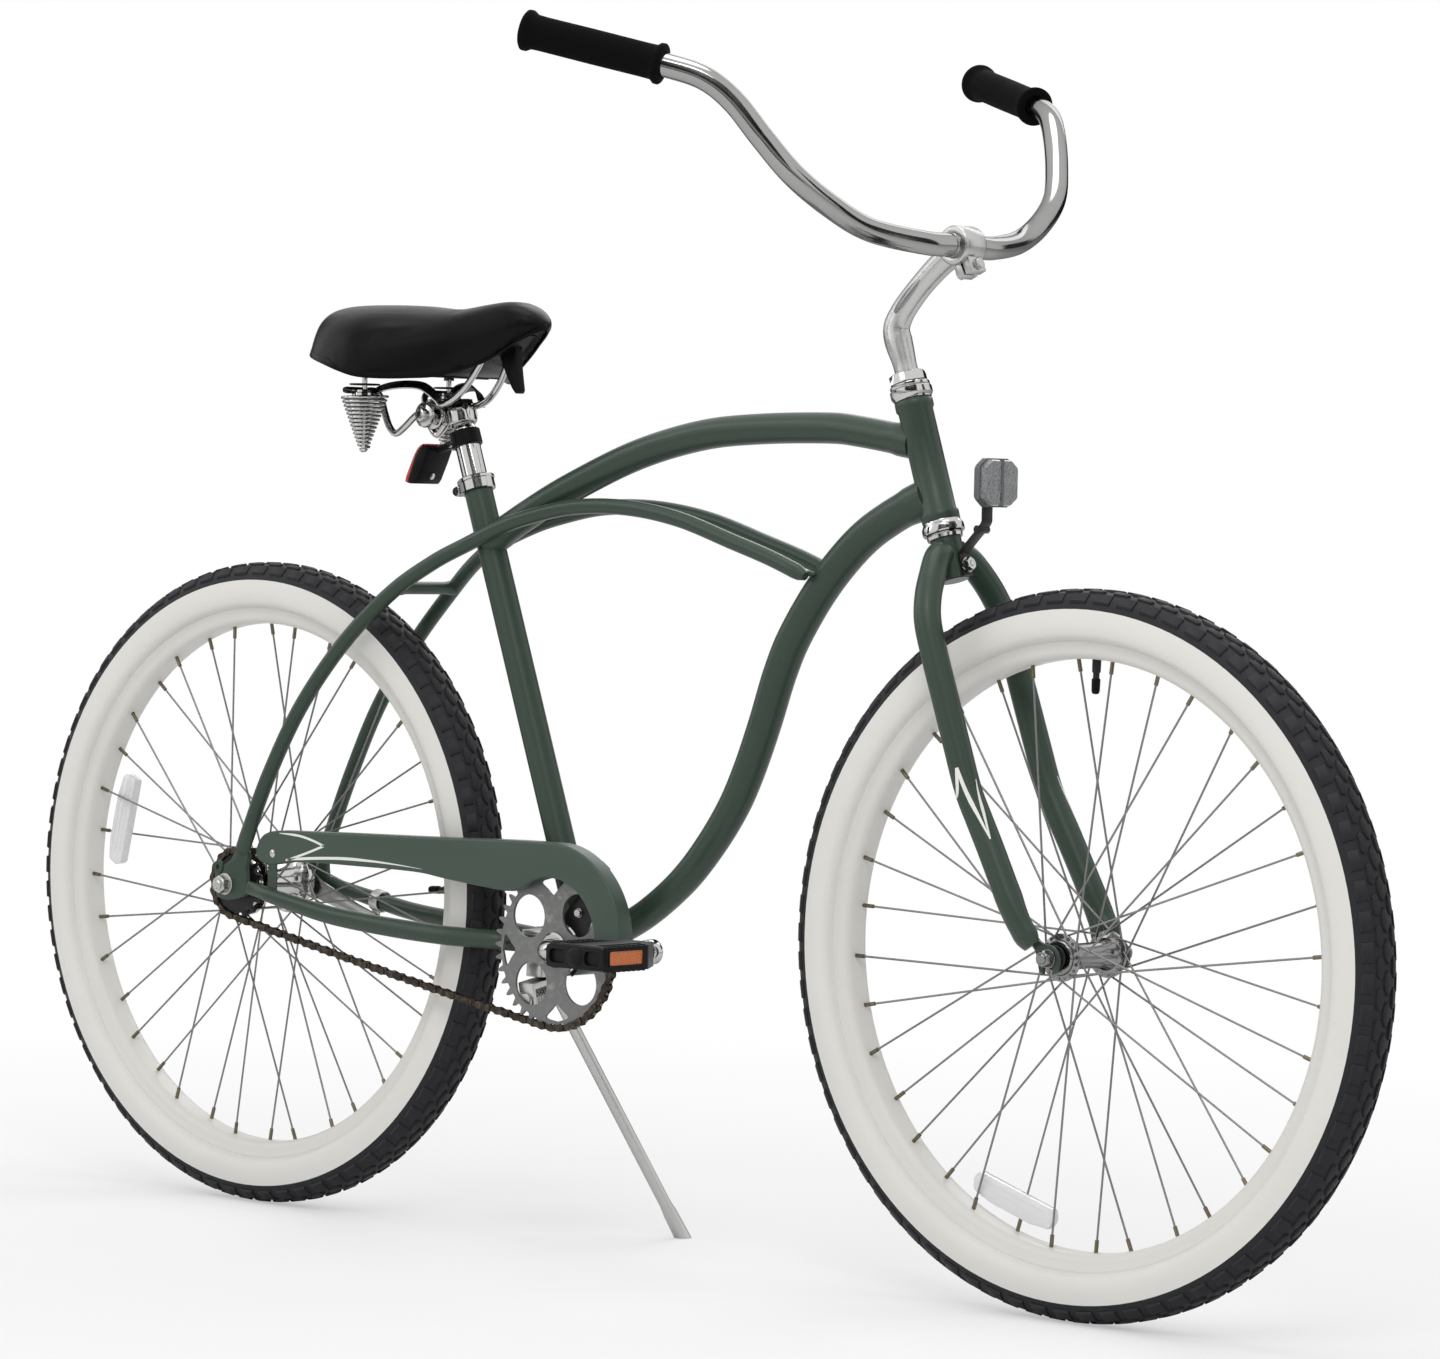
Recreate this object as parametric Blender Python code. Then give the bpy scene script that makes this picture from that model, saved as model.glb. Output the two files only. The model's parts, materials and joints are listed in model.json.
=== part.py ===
"""Beach cruiser bicycle, modelled at rest. +X is forward, +Y is the rider's left, +Z is up; metres."""

import math

import bpy
import bmesh
import numpy as np
from mathutils import Vector
from mathutils.geometry import tessellate_polygon

# Driving sizes
GAP = 0.0003
WHEELBASE = 1.0765
TYRE_R = 0.3335
TYRE_HALF = 0.0270
TREAD_FLAT = 0.0150
RIM_R = TYRE_R - 0.0475
RIM_IN_R = RIM_R - 0.0165
RIM_HALF = 0.0175
WHEEL_SEGS = 36
SPOKES = 36
SPOKE_CROSS = 3
SPOKE_R = 0.0011
SPOKE_APART = 0.0012
RIM_SPREAD = 0.0040
FRONT_FLANGE_Y = 0.0340
REAR_FLANGE_Y = 0.0290
FRONT_FORK_HALF = 0.0500
REAR_DROP_HALF = 0.0550

HEAD_ANGLE = math.radians(71.6)
FORK_OFFSET = 0.0470
HEAD_LOW = TYRE_R + 0.0935
HEAD_HIGH = HEAD_LOW + 0.1185
HEAD_R = 0.0165
STEERER_R = 0.0127
QUILL_R = 0.0111
BAR_R = 0.0111

BB_X = -0.0820
BB_DROP = 0.0365
BB_Z = TYRE_R - BB_DROP
BB_R = 0.0265
BB_HALF = 0.0340
SEAT_LEAN = 0.359
SEAT_TUBE_LEN = 0.4890
SEAT_TUBE_R = 0.0143
SEAT_POST_R = 0.0127
TOP_R = 0.0148
TWIN_R = 0.0078

PITCH = 0.0127
RING_TEETH = 38
COG_TEETH = 17
CHAIN_Y = -0.0435
ROLLER_R = 0.0038
LINK_EYE = 0.0025
LINK_TALL = 0.0038
PLATE_IN_Y = 0.0020
INNER_PLATE_Y = 0.0031
OUTER_PLATE_Y = 0.0041
CRANK_LEN = 0.1650
CRANK_ANGLE = math.radians(4.0)
PEDAL_Y = 0.0860

# The curves below are drawn for this wheelbase, tyre radius and seat tube, and move with the sizes above
DRAWN = (1.0765, 0.3335, 0.4890)
REACH = (WHEELBASE - DRAWN[0]) / 2
LIFT = TYRE_R - DRAWN[1]
RISE = SEAT_TUBE_LEN - DRAWN[2]

REAR = np.array([-WHEELBASE / 2, 0.0, TYRE_R])
FRONT = np.array([WHEELBASE / 2, 0.0, TYRE_R])
BB = np.array([BB_X, 0.0, BB_Z])
UP = np.array([-math.cos(HEAD_ANGLE), 0.0, math.sin(HEAD_ANGLE)])
AHEAD = np.array([math.sin(HEAD_ANGLE), 0.0, math.cos(HEAD_ANGLE)])
STEER_FOOT = FRONT - FORK_OFFSET * AHEAD
SEAT_UP = np.array([-SEAT_LEAN, 0.0, 1.0]) / math.hypot(SEAT_LEAN, 1.0)
SEAT_AHEAD = np.array([SEAT_UP[2], 0.0, -SEAT_UP[0]])
Y_AXIS = np.array([0.0, 1.0, 0.0])
Z_AXIS = np.array([0.0, 0.0, 1.0])
X_AXIS = np.array([1.0, 0.0, 0.0])


def steer(t, ahead=0.0, y=0.0):
    """A point by its distance up the steering axis, ahead of it and across."""
    return STEER_FOOT + t * UP + ahead * AHEAD + y * Y_AXIS


def seat(t, ahead=0.0, y=0.0):
    """A point by its distance up the seat tube axis from the bottom bracket."""
    return BB + t * SEAT_UP + ahead * SEAT_AHEAD + y * Y_AXIS


def carry(x, z):
    """A drawn point of the frame in side view, moved with the wheels, the head tube and the seat tube's top."""
    share = float(np.interp(x, (-0.44, -0.24, 0.10, 0.30), (-1.0, 0.0, 0.0, 1.0)))
    head = max(share, 0.0)
    top = float(np.interp(x, (-0.50, -0.20, 0.30), (0.0, 1.0, 0.0)) * np.interp(z, (0.45, 0.68), (0.0, 1.0)))
    moved = REACH * share * X_AXIS + LIFT * (Z_AXIS + head * UP) + RISE * top * SEAT_UP
    return x + float(moved[0]), z + float(moved[2])


def carried(x, y, z):
    """The same for a point in space."""
    moved = carry(x, z)
    return np.array([moved[0], y, moved[1]])


def steered(x, y, z):
    """A drawn point on the fork or handlebar, moved with the front wheel and the head tube."""
    head = float(np.interp(z, (0.40, 0.62), (0.0, 1.0)))
    return np.array([x + REACH, y, z + LIFT]) + LIFT * head * UP


def seated(x, y, z):
    """A drawn point above the seat tube, moved with its top."""
    return np.array([x, y, z + LIFT]) + RISE * SEAT_UP


# Scene and materials
for old in list(bpy.data.objects):
    bpy.data.objects.remove(old, do_unlink=True)


def material(name, colour, rough, metal=0.0, alpha=1.0):
    mat = bpy.data.materials.new(name)
    mat.use_nodes = True
    shader = mat.node_tree.nodes["Principled BSDF"]
    shader.inputs["Base Color"].default_value = (*colour, 1.0)
    shader.inputs["Roughness"].default_value = rough
    shader.inputs["Metallic"].default_value = metal
    shader.inputs["Alpha"].default_value = alpha
    return mat


PAINT = material("frame_paint", (0.045, 0.075, 0.050), 0.45)
CHROME = material("chrome", (0.75, 0.75, 0.76), 0.12, 1.0)
STEEL = material("brushed_steel", (0.55, 0.55, 0.55), 0.35, 1.0)
RING_GREY = material("ring_grey", (0.22, 0.23, 0.22), 0.45, 0.3)
CHAIN_BROWN = material("chain_steel", (0.09, 0.065, 0.05), 0.45, 0.8)
BLACK_METAL = material("black_metal", (0.02, 0.02, 0.02), 0.5, 0.3)
RUBBER = material("tyre_rubber", (0.02, 0.02, 0.022), 0.8)
RIM_WHITE = material("rim_white", (0.72, 0.71, 0.67), 0.35)
FOAM = material("grip_foam", (0.015, 0.015, 0.015), 0.9)
VINYL = material("saddle_vinyl", (0.02, 0.02, 0.02), 0.45)
RESIN = material("pedal_resin", (0.02, 0.02, 0.02), 0.5)
CLEAR = material("clear_lens", (0.75, 0.76, 0.77), 0.1)
BLACK_PLASTIC = material("black_plastic", (0.015, 0.015, 0.015), 0.4)
RED_LENS = material("red_lens", (0.45, 0.01, 0.01), 0.2)


# Mesh helpers
def unit(v):
    return v / np.linalg.norm(v)


def make(name, points, faces, mat, smooth=True):
    mesh = bpy.data.meshes.new(name)
    mesh.from_pydata([tuple(p) for p in points], [], [tuple(f) for f in faces])
    work = bmesh.new()
    work.from_mesh(mesh)
    bmesh.ops.recalc_face_normals(work, faces=work.faces)
    work.to_mesh(mesh)
    work.free()
    obj = bpy.data.objects.new(name, mesh)
    bpy.context.scene.collection.objects.link(obj)
    mesh.materials.append(mat)
    if smooth:
        for poly in mesh.polygons:
            poly.use_smooth = True
    return obj


def frame_of(direction, hint=None):
    d = unit(np.asarray(direction, float))
    if hint is None:
        hint = Y_AXIS if abs(d[1]) < 0.9 else X_AXIS
    side = unit(np.cross(hint, d))
    return side, np.cross(d, side)


def natural(points, count):
    """Points spaced evenly along a Catmull-Rom curve through the given ones."""
    pts = np.asarray(points, float)
    ext = np.vstack([2 * pts[0] - pts[1], pts, 2 * pts[-1] - pts[-2]])
    dense = []
    for i in range(1, len(ext) - 2):
        p0, p1, p2, p3 = ext[i - 1 : i + 3]
        for s in np.linspace(0.0, 1.0, 24, endpoint=False):
            dense.append(
                0.5
                * (
                    2 * p1
                    + (p2 - p0) * s
                    + (2 * p0 - 5 * p1 + 4 * p2 - p3) * s * s
                    + (3 * p1 - p0 - 3 * p2 + p3) * s**3
                )
            )
    dense.append(pts[-1])
    dense = np.array(dense)
    run = np.concatenate([[0.0], np.cumsum(np.linalg.norm(np.diff(dense[:, :3], axis=0), axis=1))])
    want = np.linspace(0.0, run[-1], count)
    return np.stack([np.interp(want, run, dense[:, k]) for k in range(dense.shape[1])], axis=1)


def bend(corner, came, goes, radius, steps):
    """Points along the arc that rounds a corner between two directions."""
    half = 0.5 * math.acos(float(np.dot(came, goes)))
    centre = corner + unit(goes - came) * radius / math.cos(half)
    first = corner - came * radius * math.tan(half) - centre
    turns = np.linspace(0.0, 2 * half, steps)
    return [centre + first * math.cos(a) + came * radius * math.sin(a) for a in turns]


def sweep(name, path, radius, sides, mat, hint=None, flat=None, turn=0.5, smooth=True):
    """A closed tube along a path. radius may vary; flat scales it along the hint side."""
    path = np.asarray(path, float)
    n = len(path)
    radius = np.broadcast_to(np.asarray(radius, float), (n,))
    flat = np.broadcast_to(np.asarray(1.0 if flat is None else flat, float), (n,))
    step = np.diff(path, axis=0)
    step /= np.linalg.norm(step, axis=1)[:, None]
    tangent = np.vstack([step[:1], step[:-1] + step[1:], step[-1:]])
    tangent /= np.linalg.norm(tangent, axis=1)[:, None]
    side, other = frame_of(tangent[0], hint)
    points = []
    for i in range(n):
        if i:
            side = unit(side - tangent[i] * np.dot(side, tangent[i]))
            other = np.cross(tangent[i], side)
        # the ring is a mitre, so that the tube keeps its thickness round a bend
        lean, stretch = np.zeros(3), 0.0
        if 0 < i < n - 1:
            came, goes = unit(path[i] - path[i - 1]), unit(path[i + 1] - path[i])
            if np.dot(came, goes) < 0.9999:
                lean = unit(goes - came)
                stretch = 1.0 / max(0.6, float(np.dot(came, tangent[i]))) - 1.0
        for k in range(sides):
            angle = 2 * math.pi * (k + turn) / sides
            u = math.cos(angle) * radius[i]
            v = math.sin(angle) * radius[i] * flat[i]
            spot = side * u + other * v
            points.append(path[i] + spot + lean * np.dot(spot, lean) * stretch)
    faces = []
    for i in range(n - 1):
        for k in range(sides):
            j = (k + 1) % sides
            faces.append((i * sides + k, i * sides + j, (i + 1) * sides + j, (i + 1) * sides + k))
    faces.append(tuple(range(sides))[::-1])
    faces.append(tuple(range((n - 1) * sides, n * sides)))
    return make(name, points, faces, mat, smooth)


def lathe(name, profile, sides, centre, axis, mat, ring=False, turn=0.0, hint=None, smooth=True):
    """A solid of revolution from (along, radius) pairs; ring closes the profile on itself."""
    centre = np.asarray(centre, float)
    axis = unit(np.asarray(axis, float))
    side, other = frame_of(axis, hint)
    points, rows = [], []
    for along, r in profile:
        if r <= 1e-9:
            rows.append([len(points)])
            points.append(centre + axis * along)
            continue
        row = []
        for k in range(sides):
            angle = 2 * math.pi * (k + turn) / sides
            row.append(len(points))
            points.append(centre + axis * along + r * (math.cos(angle) * side + math.sin(angle) * other))
        rows.append(row)
    faces = []
    pairs = list(zip(rows, rows[1:] + rows[:1])) if ring else list(zip(rows, rows[1:]))
    for a, b in pairs:
        for k in range(sides):
            j = (k + 1) % sides
            if len(a) == 1 and len(b) == 1:
                continue
            if len(a) == 1:
                faces.append((a[0], b[j], b[k]))
            elif len(b) == 1:
                faces.append((a[k], a[j], b[0]))
            else:
                faces.append((a[k], a[j], b[j], b[k]))
    if not ring:
        if len(rows[0]) > 1:
            faces.append(tuple(rows[0])[::-1])
        if len(rows[-1]) > 1:
            faces.append(tuple(rows[-1]))
    return make(name, points, faces, mat, smooth)


def tube(name, low, high, outer, bore, sides, centre, axis, mat, turn=0.0, hint=None):
    """A straight tube. The bore is the round shaft that its flat facets clear."""
    clear = bore / math.cos(math.pi / sides)
    profile = [(low, outer), (high, outer), (high, clear), (low, clear)]
    return lathe(name, profile, sides, centre, axis, mat, ring=True, turn=turn, hint=hint)


def plate(name, outline, holes, origin, across, along, depth, mat, smooth=False):
    """A flat plate: outline and holes in (along, up) pairs, thickness along the normal."""
    origin = np.asarray(origin, float)
    normal = unit(np.asarray(depth, float))
    thick = float(np.linalg.norm(depth))
    loops = [np.asarray(outline, float)] + [np.asarray(h, float) for h in holes]
    flat = [[Vector((p[0], p[1], 0.0)) for p in loop] for loop in loops]
    tris = tessellate_polygon(flat)
    every = np.vstack(loops)
    n = len(every)
    base = origin + every[:, :1] * np.asarray(across) + every[:, 1:] * np.asarray(along)
    points = np.vstack([base, base + normal * thick])
    faces = [tuple(t) for t in tris] + [tuple(i + n for i in t)[::-1] for t in tris]
    start = 0
    for loop in loops:
        m = len(loop)
        for k in range(m):
            j = (k + 1) % m
            faces.append((start + k, start + j, start + j + n, start + k + n))
        start += m
    return make(name, points, faces, mat, smooth)


def block(name, centre, size, mat, axes=None):
    ax = [X_AXIS, Y_AXIS, Z_AXIS] if axes is None else [np.asarray(a, float) for a in axes]
    centre = np.asarray(centre, float)
    points = []
    for sx in (-0.5, 0.5):
        for sy in (-0.5, 0.5):
            for sz in (-0.5, 0.5):
                points.append(centre + sx * size[0] * ax[0] + sy * size[1] * ax[1] + sz * size[2] * ax[2])
    faces = [(0, 1, 3, 2), (4, 6, 7, 5), (0, 4, 5, 1), (2, 3, 7, 6), (0, 2, 6, 4), (1, 5, 7, 3)]
    return make(name, points, faces, mat, False)


def join(objects, name):
    """Several closed meshes in one object, for use as one operand."""
    points, faces = [], []
    for obj in objects:
        base = len(points)
        points += [tuple(v.co) for v in obj.data.vertices]
        faces += [tuple(base + i for i in p.vertices) for p in obj.data.polygons]
        mat = obj.data.materials[0]
        bpy.data.objects.remove(obj, do_unlink=True)
    return make(name, points, faces, mat)


def boolean(target, tool, operation, keep=False):
    """Applies one exact Boolean and removes the tool."""
    tool.display_type = "WIRE"
    tool.hide_render = True
    mod = target.modifiers.new("cut", "BOOLEAN")
    mod.operation = operation
    mod.solver = "EXACT"
    mod.object = tool
    bpy.context.view_layer.update()
    graph = bpy.context.evaluated_depsgraph_get()
    fresh = bpy.data.meshes.new_from_object(target.evaluated_get(graph))
    target.modifiers.clear()
    old = target.data
    target.data = fresh
    bpy.data.meshes.remove(old)
    while len(fresh.materials) > 1:
        fresh.materials.pop(index=len(fresh.materials) - 1)
    for poly in fresh.polygons:
        poly.material_index = 0
    if not keep:
        bpy.data.objects.remove(tool, do_unlink=True)
    return target


def cut(target, tool, keep=False):
    return boolean(target, tool, "DIFFERENCE", keep)


def fuse(target, tool):
    return boolean(target, tool, "UNION")


def cutter(low, high, radius, sides, centre, axis, turn=0.0, hint=None):
    grown = (radius + GAP) / math.cos(math.pi / sides)
    return lathe("cutter", [(low, grown), (high, grown)], sides, centre, axis, PAINT, turn=turn, hint=hint)


def set_origin(obj, point):
    point = Vector(point)
    for vertex in obj.data.vertices:
        vertex.co -= point
    obj.location = point


# Wheels
def tyre(name, centre):
    half = [
        (0.0140, RIM_R - 0.0035),
        (TYRE_HALF, RIM_R + 0.0135),
        (TYRE_HALF - 0.0020, TYRE_R - 0.0145),
        (TREAD_FLAT, TYRE_R / math.cos(math.pi / WHEEL_SEGS)),
    ]
    profile = half + [(-y, r) for y, r in half[::-1]]
    return lathe(name, profile, WHEEL_SEGS, centre, Y_AXIS, RUBBER, ring=True, turn=0.5, hint=Z_AXIS)


def rim(name, centre):
    half = [(0.0148, RIM_R - 0.0070), (RIM_HALF, RIM_R), (RIM_HALF - 0.0010, RIM_IN_R)]
    profile = half + [(-y, r) for y, r in half[::-1]]
    return lathe(name, profile, WHEEL_SEGS, centre, Y_AXIS, RIM_WHITE, ring=True, turn=0.5, hint=Z_AXIS)


def spokes(hub, centre, flange_y, flange_r, phase):
    """Crossed spokes, fused to the hub shell."""
    per_side = SPOKES // 2
    step = 2 * math.pi / per_side
    swing = SPOKE_CROSS * 2 * 2 * math.pi / SPOKES
    nipple_top = RIM_IN_R * math.cos(math.pi / WHEEL_SEGS) - GAP - 0.0002
    sets = {}
    for side_sign in (-1, 1):
        for k in range(per_side):
            inward = k % 2
            hub_angle = phase + k * step + (step / 2 if side_sign > 0 else 0.0)
            rim_angle = hub_angle + (swing if inward else -swing)
            apart = SPOKE_APART if inward else -SPOKE_APART
            ends = []
            for r, angle, y in ((flange_r, hub_angle, flange_y), (nipple_top, rim_angle, RIM_SPREAD)):
                ends.append(centre + np.array([r * math.cos(angle), side_sign * (y + apart), r * math.sin(angle)]))
            obj = sweep("spoke", ends, SPOKE_R, 3, CHROME, hint=Y_AXIS)
            sets.setdefault((side_sign, inward), []).append(obj)
    for key in sorted(sets):
        fuse(hub, join(sets[key], "spoke_set"))
    return hub


front_tyre = tyre("front_tyre", FRONT)
rear_tyre = tyre("rear_tyre", REAR)
front_rim = rim("front_rim", FRONT)
rear_rim = rim("rear_rim", REAR)

AXLE_R = 0.0047
HUB_SIDES = 12
FRONT_BORE_R = 0.0110
FRONT_CONE_R = FRONT_BORE_R * math.cos(math.pi / HUB_SIDES) - GAP
REAR_BORE_R = 0.0150
REAR_CONE_R = REAR_BORE_R * math.cos(math.pi / HUB_SIDES) - GAP
FLANGE_R = 0.0220
front_hub = lathe(
    "front_hub_spokes",
    [
        (-0.0400, FRONT_BORE_R),
        (-0.0400, 0.0150),
        (-FRONT_FLANGE_Y - 0.0030, 0.0165),
        (-FRONT_FLANGE_Y - 0.0014, FLANGE_R),
        (-FRONT_FLANGE_Y + 0.0014, FLANGE_R),
        (-FRONT_FLANGE_Y + 0.0050, 0.0128),
        (FRONT_FLANGE_Y - 0.0050, 0.0128),
        (FRONT_FLANGE_Y - 0.0014, FLANGE_R),
        (FRONT_FLANGE_Y + 0.0014, FLANGE_R),
        (FRONT_FLANGE_Y + 0.0030, 0.0165),
        (0.0400, 0.0150),
        (0.0400, FRONT_BORE_R),
    ],
    HUB_SIDES,
    FRONT,
    Y_AXIS,
    CHROME,
    ring=True,
    hint=Z_AXIS,
)
spokes(front_hub, FRONT, FRONT_FLANGE_Y, 0.0190, math.radians(4.0))

rear_hub = lathe(
    "rear_hub_spokes",
    [
        (-0.0350, REAR_BORE_R),
        (-0.0350, 0.0250),
        (-REAR_FLANGE_Y - 0.0014, 0.0330),
        (-REAR_FLANGE_Y + 0.0014, 0.0330),
        (-REAR_FLANGE_Y + 0.0060, 0.0222),
        (REAR_FLANGE_Y - 0.0060, 0.0222),
        (REAR_FLANGE_Y - 0.0014, 0.0330),
        (REAR_FLANGE_Y + 0.0014, 0.0330),
        (0.0390, 0.0270),
        (0.0440, 0.0250),
        (0.0440, REAR_BORE_R),
    ],
    HUB_SIDES,
    REAR,
    Y_AXIS,
    CHROME,
    ring=True,
    hint=Z_AXIS,
)
spokes(rear_hub, REAR, REAR_FLANGE_Y, 0.0300, math.radians(1.6))
for obj in (front_tyre, front_rim, front_hub):
    set_origin(obj, FRONT)
for obj in (rear_tyre, rear_rim, rear_hub):
    set_origin(obj, REAR)

front_axle = lathe(
    "front_axle",
    [
        (-0.0660, AXLE_R),
        (-0.0625, AXLE_R),
        (-0.0625, 0.0088),
        (-0.0550, 0.0108),
        (-FRONT_FORK_HALF - 0.0035 - GAP, 0.0108),
        (-FRONT_FORK_HALF - 0.0035 - GAP, AXLE_R),
        (-FRONT_FORK_HALF + GAP, AXLE_R),
        (-FRONT_FORK_HALF + GAP, 0.0090),
        (-0.0430, 0.0090),
        (-0.0415, FRONT_CONE_R),
        (-0.0385, FRONT_CONE_R),
        (-0.0300, AXLE_R),
        (0.0300, AXLE_R),
        (0.0385, FRONT_CONE_R),
        (0.0415, FRONT_CONE_R),
        (0.0430, 0.0090),
        (FRONT_FORK_HALF - GAP, 0.0090),
        (FRONT_FORK_HALF - GAP, AXLE_R),
        (FRONT_FORK_HALF + 0.0035 + GAP, AXLE_R),
        (FRONT_FORK_HALF + 0.0035 + GAP, 0.0108),
        (0.0550, 0.0108),
        (0.0625, 0.0088),
        (0.0625, AXLE_R),
        (0.0660, AXLE_R),
    ],
    6,
    FRONT,
    Y_AXIS,
    CHROME,
    hint=Z_AXIS,
)
DROP_T = 0.0052
rear_axle = lathe(
    "rear_axle",
    [
        (-0.0740, AXLE_R),
        (-0.0700, AXLE_R),
        (-0.0700, 0.0092),
        (-0.0625, 0.0112),
        (-REAR_DROP_HALF - DROP_T - GAP, 0.0112),
        (-REAR_DROP_HALF - DROP_T - GAP, AXLE_R),
        (-REAR_DROP_HALF + GAP, AXLE_R),
        (-REAR_DROP_HALF + GAP, 0.0092),
        (-0.0500, 0.0092),
        (-0.0480, 0.0068),
        (0.0380, 0.0068),
        (0.0400, REAR_CONE_R),
        (0.0435, REAR_CONE_R),
        (0.0445, 0.0110),
        (0.0480, 0.0110),
        (0.0480, AXLE_R),
        (0.0520, AXLE_R),
        (0.0520, 0.0090),
        (REAR_DROP_HALF - GAP, 0.0090),
        (REAR_DROP_HALF - GAP, AXLE_R),
        (REAR_DROP_HALF + DROP_T + GAP, AXLE_R),
        (REAR_DROP_HALF + DROP_T + GAP, 0.0112),
        (0.0625, 0.0112),
        (0.0700, 0.0092),
        (0.0700, AXLE_R),
        (0.0740, AXLE_R),
    ],
    6,
    REAR,
    Y_AXIS,
    CHROME,
    hint=Z_AXIS,
)


# Chain, chainring and cog
RING_R = PITCH / (2 * math.sin(math.pi / RING_TEETH))
COG_R = PITCH / (2 * math.sin(math.pi / COG_TEETH))
SPAN = np.array([REAR[0] - BB[0], REAR[2] - BB[2]])
CENTRES = float(np.linalg.norm(SPAN))


def chain_curve(sag):
    """The pitch line as a dense closed polyline in (x, z), starting at the ring's front."""
    back = SPAN / CENTRES
    tilt = math.atan2(back[1], back[0])
    spread = math.acos((RING_R - COG_R) / CENTRES)
    bb = np.array([BB[0], BB[2]])
    rear = np.array([REAR[0], REAR[2]])
    # upwards over the ring, back along the top, round the cog and forward along the sagging run
    top = tilt - spread
    low = tilt + spread
    ring_arc = np.linspace(low - 2 * math.pi, top, 400)
    a = bb + RING_R * np.stack([np.cos(ring_arc), np.sin(ring_arc)], 1)
    cog_arc = np.linspace(top, low, 200)
    c = rear + COG_R * np.stack([np.cos(cog_arc), np.sin(cog_arc)], 1)
    s = np.linspace(0.0, 1.0, 200)[1:-1, None]
    b = a[-1] + s * (c[0] - a[-1])
    end = a[0]
    run = end - c[-1]
    normal = np.array([run[1], -run[0]]) / np.linalg.norm(run)
    if normal[1] > 0:
        normal = -normal
    d = c[-1] + s * run + normal * sag * 4 * s * (1 - s)
    return np.vstack([a, b, c, d])


def march(sag, links):
    """Pins one pitch apart along the pitch line, and how far the last lies past the first."""
    curve = chain_curve(sag)
    closed = np.vstack([curve, curve, curve[:1]])
    run = np.concatenate([[0.0], np.cumsum(np.linalg.norm(np.diff(closed, axis=0), axis=1))])
    pins = [closed[0]]
    i = 0
    where = 0.0
    for _ in range(links):
        here = pins[-1]
        while np.linalg.norm(closed[i + 1] - here) < PITCH:
            i += 1
        low, high = 0.0, 1.0
        for _ in range(40):
            mid = 0.5 * (low + high)
            if np.linalg.norm(closed[i] + mid * (closed[i + 1] - closed[i]) - here) < PITCH:
                low = mid
            else:
                high = mid
        pins.append(closed[i] + high * (closed[i + 1] - closed[i]))
        where = run[i] + high * (run[i + 1] - run[i])
    return np.array(pins[:-1]), where - run[len(curve)]


def settle_chain():
    """The sag of the lower run that closes the loop on a whole even number of links."""
    links = 2 * int(CENTRES / PITCH)
    while march(0.0, links)[1] < 0:
        links += 2
    low, high = 0.0, 0.0900
    for _ in range(30):
        mid = 0.5 * (low + high)
        if march(mid, links)[1] > 0:
            low = mid
        else:
            high = mid
    return march(high, links)[0], high


chain_pins, chain_sag = settle_chain()
LINKS = len(chain_pins)
print("chain links", LINKS, "sag mm", round(chain_sag * 1000, 2))


def toothed(count, pitch_r, phase, tip):
    """The outline of a sprocket whose valleys sit at the pins."""
    outline = []
    half = math.pi / count
    floor = pitch_r - LINK_TALL - GAP
    for k in range(count):
        at = phase + 2 * half * k
        for turn, r in ((-0.49, floor), (0.49, floor), (0.84, pitch_r + tip), (1.16, pitch_r + tip)):
            outline.append((r * math.cos(at + turn * half), r * math.sin(at + turn * half)))
    return outline


def circle(cx, cz, r, count, start=0.0):
    return [
        (cx + r * math.cos(start + 2 * math.pi * k / count), cz + r * math.sin(start + 2 * math.pi * k / count))
        for k in range(count)
    ]


def arc(centre, r, start, end, count):
    return [
        (centre[0] + r * math.cos(math.radians(a)), centre[1] + r * math.sin(math.radians(a)))
        for a in np.linspace(start, end, count)
    ]


def angle_of(pin, centre):
    return math.atan2(pin[1] - centre[2], pin[0] - centre[0])


RING_PHASE = angle_of(chain_pins[0], BB)
rear_pins = [p for p in chain_pins if p[0] < REAR[0] - 0.4 * COG_R]
COG_PHASE = angle_of(rear_pins[len(rear_pins) // 2], REAR)

WINDOW_AT = 0.0470
WINDOW_R = 0.0215
ring_windows = []
for k in range(4):
    mid = math.radians(45 + 90 * k) + CRANK_ANGLE
    ring_windows.append(circle(WINDOW_AT * math.cos(mid), WINDOW_AT * math.sin(mid), WINDOW_R, 12))
    mid = math.radians(90 * k) + CRANK_ANGLE
    corners = [(0.0690, -0.26), (0.0705, 0.0), (0.0690, 0.26), (0.0590, 0.115), (0.0520, 0.0), (0.0590, -0.115)]
    ring_windows.append([(r * math.cos(mid + a), r * math.sin(mid + a)) for r, a in corners])
RING_T = 0.0028
chainring = plate(
    "chainring",
    toothed(RING_TEETH, RING_R, RING_PHASE, 0.0038),
    ring_windows + [circle(0.0, 0.0, 0.0125, 12)],
    BB + Y_AXIS * (CHAIN_Y - RING_T / 2),
    X_AXIS,
    Z_AXIS,
    Y_AXIS * RING_T,
    RING_GREY,
)
set_origin(chainring, BB)

rear_cog = plate(
    "rear_sprocket",
    toothed(COG_TEETH, COG_R, COG_PHASE, 0.0038),
    [circle(0.0, 0.0, 0.0078, 8)],
    REAR + Y_AXIS * (CHAIN_Y - RING_T / 2),
    X_AXIS,
    Z_AXIS,
    Y_AXIS * RING_T,
    BLACK_METAL,
)
fuse(rear_cog, tube("driver", -0.0472, -0.0330, REAR_CONE_R, 0.0070, 8, REAR, Y_AXIS, BLACK_METAL, hint=X_AXIS))
set_origin(rear_cog, REAR)


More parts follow.
